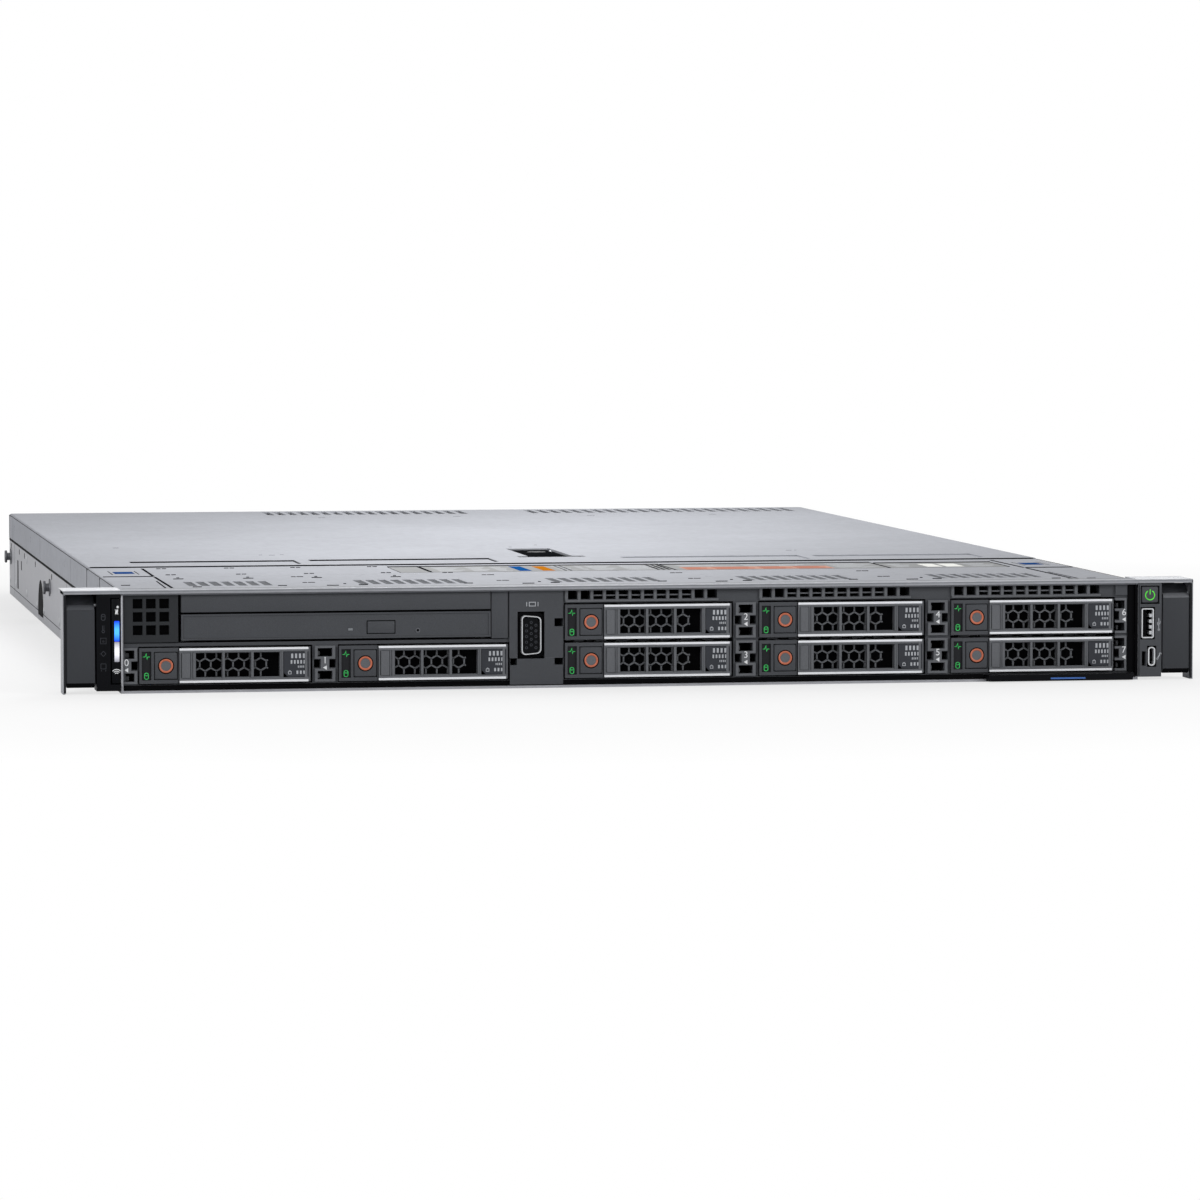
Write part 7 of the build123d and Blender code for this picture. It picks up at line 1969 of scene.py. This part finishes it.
def build_stage(sizes):
    """Pale seamless floor and backdrop, soft lamps, and the camera at the photograph's angle."""
    half = FLOOR_HALF
    mesh = bpy.data.meshes.new("floor")
    mesh.from_pydata([(-half, -half, FLOOR), (half, -half, FLOOR), (half, half, FLOOR), (-half, half, FLOOR)],
                     [], [(0, 1, 2, 3)])
    floor = bpy.data.objects.new("floor", mesh)
    bpy.context.scene.collection.objects.link(floor)
    paper = Finish("studio_paper", (250, 250, 251), 0.85, Specular_IOR_Level=0.1)
    cloud = paper.noise(900.0, 2.0)
    paper.feed("Base Color", paper.tone(cloud, 0.985, 1.0)).bump(cloud, 0.5, 0.05)
    away = paper.node("ShaderNodeVectorMath", {"operation": "LENGTH"}, {0: paper.coordinates()}, "Value")
    seen = paper.node("ShaderNodeLightPath", {}, {}, "Is Camera Ray")
    glow = paper.node("ShaderNodeEmission", {}, {"Color": (1, 1, 1, 1), "Strength": 1.0})
    fade = away.ramp(0.3, 0.7, 0.6, 1.0) * seen
    mixed = paper.node("ShaderNodeMixShader", {}, {0: fade, 1: Wire(paper, paper.shader.outputs[0]), 2: glow})
    paper.tree.links.new(mixed.socket, paper.tree.nodes["Material Output"].inputs["Surface"])
    mesh.materials.append(paper.material)

    world = bpy.data.worlds.new("studio")
    bpy.context.scene.world = world
    world.use_nodes = True
    nodes, links = world.node_tree.nodes, world.node_tree.links
    path = nodes.new("ShaderNodeLightPath")
    most = nodes.new("ShaderNodeMath")
    most.operation = "MAXIMUM"
    both = nodes.new("ShaderNodeMath")
    both.operation = "MAXIMUM"
    links.new(path.outputs["Is Camera Ray"], most.inputs[0])
    links.new(path.outputs["Is Glossy Ray"], most.inputs[1])
    links.new(most.outputs[0], both.inputs[0])
    links.new(path.outputs["Is Transmission Ray"], both.inputs[1])
    strength = nodes.new("ShaderNodeMapRange")
    links.new(both.outputs[0], strength.inputs["Value"])
    strength.inputs["To Min"].default_value = sizes.fill
    strength.inputs["To Max"].default_value = 1.0
    links.new(strength.outputs[0], nodes["Background"].inputs["Strength"])
    nodes["Background"].inputs["Color"].default_value = (1, 1, 1, 1)

    lamps = [("overhead", (0.0, 0.05, 0.31), (0.0005, 0.051, 0), 0.14, 0.62, sizes.overhead),
             ("front_left", (-2.2, -2.6, 1.7), (0, -0.3, 0), 1.6, 1.2, sizes.front * 0.8),
             ("front_right", (2.4, -2.4, 1.2), (0, -0.3, 0), 1.2, 1.2, sizes.front),
             ("left", (-2.4, 0.35, 0.3), (0, 0.2, 0.03), 1.0, 1.0, sizes.front * 0.22),
             ("rear", (0.6, 3.0, 1.8), (0, 0.3, 0), 2.0, 1.0, sizes.front * 0.5)]
    for name, place, aim, size_x, size_y, power in lamps:
        light = bpy.data.lights.new(name, "AREA")
        light.shape, light.size, light.size_y, light.energy = "RECTANGLE", size_x, size_y, power
        lamp = bpy.data.objects.new(name, light)
        direction = np.array(aim) - np.array(place)
        yaw = np.arctan2(direction[1], direction[0]) - TURN / 4
        pitch = np.arctan2(np.hypot(*direction[:2]), -direction[2])
        lamp.location, lamp.rotation_euler = place, Euler((pitch, 0, yaw))
        bpy.context.scene.collection.objects.link(lamp)

    lens = bpy.data.cameras.new("view")
    lens.sensor_width, lens.lens = 36.0, sizes.lens
    lens.clip_end = 100.0
    camera = bpy.data.objects.new("view", lens)
    camera.location = (sizes.camera_x, FRONT + sizes.camera_y, sizes.camera_z)
    camera.rotation_euler = Euler((TURN / 4 - np.radians(CAMERA_TILT), 0, -np.radians(CAMERA_TURN)))
    bpy.context.scene.collection.objects.link(camera)
    bpy.context.scene.camera = camera
    bpy.context.scene.view_settings.view_transform = "Standard"
    return floor


# The add-on's settings, operators and panel


def length(name, description, default):
    """A size in metres."""
    return bpy.props.FloatProperty(name=name, description=description, default=default, unit="LENGTH",
                                   precision=4)


def colour(name, description, default):
    """A colour as it looks on a screen, written from 0 to 255."""
    return bpy.props.FloatVectorProperty(name=name, description=description, subtype="COLOR_GAMMA", size=3,
                                         default=[part / 255 for part in default], min=0.0, max=1.0)


class ColourSettings(bpy.types.PropertyGroup):
    """Main colours of the server."""

    roof: colour("Roof sheet", "Colour of the three roof sheets and their flanges", (162, 164, 170))
    case: colour("Case sheet", "Colour of the side walls, rear wall and drive cage", (158, 159, 164))
    ear: colour("Ear sheet", "Colour of the rack ears and the roof's front edge", (150, 152, 157))
    frame: colour("Front frame", "Colour of the moulded front: drive bay frame, carriers and right panel",
                  (70, 72, 76))
    handle: colour("Drive handles", "Colour of the drives' handles", (98, 100, 104))
    latch: colour("Ear latches", "Colour of the grips on both ears", (56, 58, 62))
    ring: colour("Release rings", "Colour of the ring on each drive's button", (188, 98, 66))
    tag: colour("Tag stripe", "Colour of the stripe on the pull-out tag", (64, 106, 178))
    release: colour("Release tab", "Colour of the power supply's release tab", (196, 88, 58))


class SizeSettings(bpy.types.PropertyGroup):
    """Sizes of details that only the dressed model has."""

    lattice_bar: length("Lattice bar",
                        "Width of the bars of the honeycomb behind the drives' windows", 0.00062)
    lattice_pitch: length("Lattice pitch", "Distance from one honeycomb cell to the next", 0.00462)
    roof_step: length("Roof step", "Drop from the main cover to the roof sheets in front of it", 0.00055)
    slot_front: length("Slot front end", "Distance of the front roof's slots behind the ears' front", 0.034)
    slot_back: length("Slot back end", "Distance of the slots' far ends behind the ears' front", 0.064)
    slot_width: length("Slot width", "Width of one slot in the front roof", 0.0036)


class StudioSettings(bpy.types.PropertyGroup):
    """Camera place and lamp powers of the stage."""

    camera_x: length("Camera X", "Camera's distance to the right of the middle", -0.412186)
    camera_y: length("Camera Y",
                     "Camera's distance behind the ears' front plane, so negative in front of it", -2.231106)
    camera_z: length("Camera height", "Camera's height above the floor", 0.180532)
    lens: bpy.props.FloatProperty(name="Lens", description="Focal length in millimetres on a 36 mm sensor",
                                  default=162.63)
    fill: bpy.props.FloatProperty(name="Fill", description="Strength of the even light from all round",
                                  default=0.37, min=0.0)
    overhead: bpy.props.FloatProperty(name="Overhead lamp", description="Power of the lamp above",
                                      default=1.2, min=0.0, unit="POWER")
    front: bpy.props.FloatProperty(name="Front lamps", description="Power of the larger front lamp",
                                   default=39.0, min=0.0, unit="POWER")


class DriveOperator(bpy.types.Operator):
    """Builds the eight drives with their carriers, handles, buttons and lights."""

    bl_idname = "rack_server.drives"
    bl_label = "Drives"

    def execute(self, context):
        for slot in DRIVES:
            build_drive(slot)
        return {"FINISHED"}


class BezelOperator(bpy.types.Operator):
    """Builds the drive bay frame, the display port and the upper bay's panels."""

    bl_idname = "rack_server.bezel"
    bl_label = "Drive bay frame"

    def execute(self, context):
        build_bezel()
        build_display_port()
        build_fillers()
        build_disc_tray()
        build_eject_button()
        return {"FINISHED"}


class EarOperator(bpy.types.Operator):
    """Builds the rack ears, their latches and screws, both panels, and the tag."""

    bl_idname = "rack_server.ears"
    bl_label = "Ears and panels"

    def execute(self, context):
        build_ears()
        build_ear_latches()
        build_status_panel()
        build_control_panel()
        build_tag()
        return {"FINISHED"}


class CoverOperator(bpy.types.Operator):
    """Builds the three roof sheets and the cover latch."""

    bl_idname = "rack_server.covers"
    bl_label = "Covers"

    def execute(self, context):
        build_front_top()
        build_backplane_cover()
        build_top_cover()
        build_cover_latch()
        return {"FINISHED"}


class RearOperator(bpy.types.Operator):
    """Builds the side walls' details, the rear sockets and fillers, and the power supply."""

    bl_idname = "rack_server.rear"
    bl_label = "Sides and rear"

    def execute(self, context):
        build_sides()
        build_rear_ports()
        build_rear_fillers()
        build_supply_shell()
        build_supply_face()
        build_supply_latch()
        build_supply_inside()
        return {"FINISHED"}


class InsideOperator(bpy.types.Operator):
    """Builds what the covers hide: boards, memory, cooler and fans."""

    bl_idname = "rack_server.inside"
    bl_label = "Inside"

    def execute(self, context):
        build_board()
        build_memory()
        build_cooler()
        build_fans()
        build_backplane()
        return {"FINISHED"}


class StageOperator(bpy.types.Operator):
    """Builds the floor, the lamps and the camera."""

    bl_idname = "rack_server.stage"
    bl_label = "Stage"

    def execute(self, context):
        build_stage(context.scene.rack_server_studio)
        return {"FINISHED"}


PIECE_OPERATORS = [DriveOperator, BezelOperator, EarOperator, CoverOperator, RearOperator, InsideOperator,
                   StageOperator]


class RackServerPanel(bpy.types.Panel):
    """Lists the operators and the settings in the sidebar."""

    bl_idname = "VIEW3D_PT_rack_server"
    bl_label = "Rack server"
    bl_space_type = "VIEW_3D"
    bl_region_type = "UI"
    bl_category = "Rack server"

    def draw(self, context):
        for operator in PIECE_OPERATORS:
            self.layout.operator(operator.bl_idname)
        for name, group in SETTINGS.items():
            for entry in group.__annotations__:
                self.layout.prop(getattr(context.scene, name), entry)


SETTINGS = {"rack_server_colours": ColourSettings, "rack_server_sizes": SizeSettings,
            "rack_server_studio": StudioSettings}
CLASSES = [*SETTINGS.values(), *PIECE_OPERATORS, RackServerPanel]


def register():
    """Registers the classes and the settings on the scene."""
    for item in CLASSES:
        bpy.utils.register_class(item)
    for name, group in SETTINGS.items():
        setattr(bpy.types.Scene, name, bpy.props.PointerProperty(type=group))


def unregister():
    """Takes the settings and the classes away again."""
    for name in SETTINGS:
        delattr(bpy.types.Scene, name)
    for item in reversed(CLASSES):
        bpy.utils.unregister_class(item)


def main():
    register()
    FINISHES.update(make_finishes(bpy.context.scene.rack_server_colours))
    for operator in PIECE_OPERATORS:
        group, name = operator.bl_idname.split(".")
        getattr(getattr(bpy.ops, group), name)()
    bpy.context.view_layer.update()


if __name__ == "__main__":
    main()
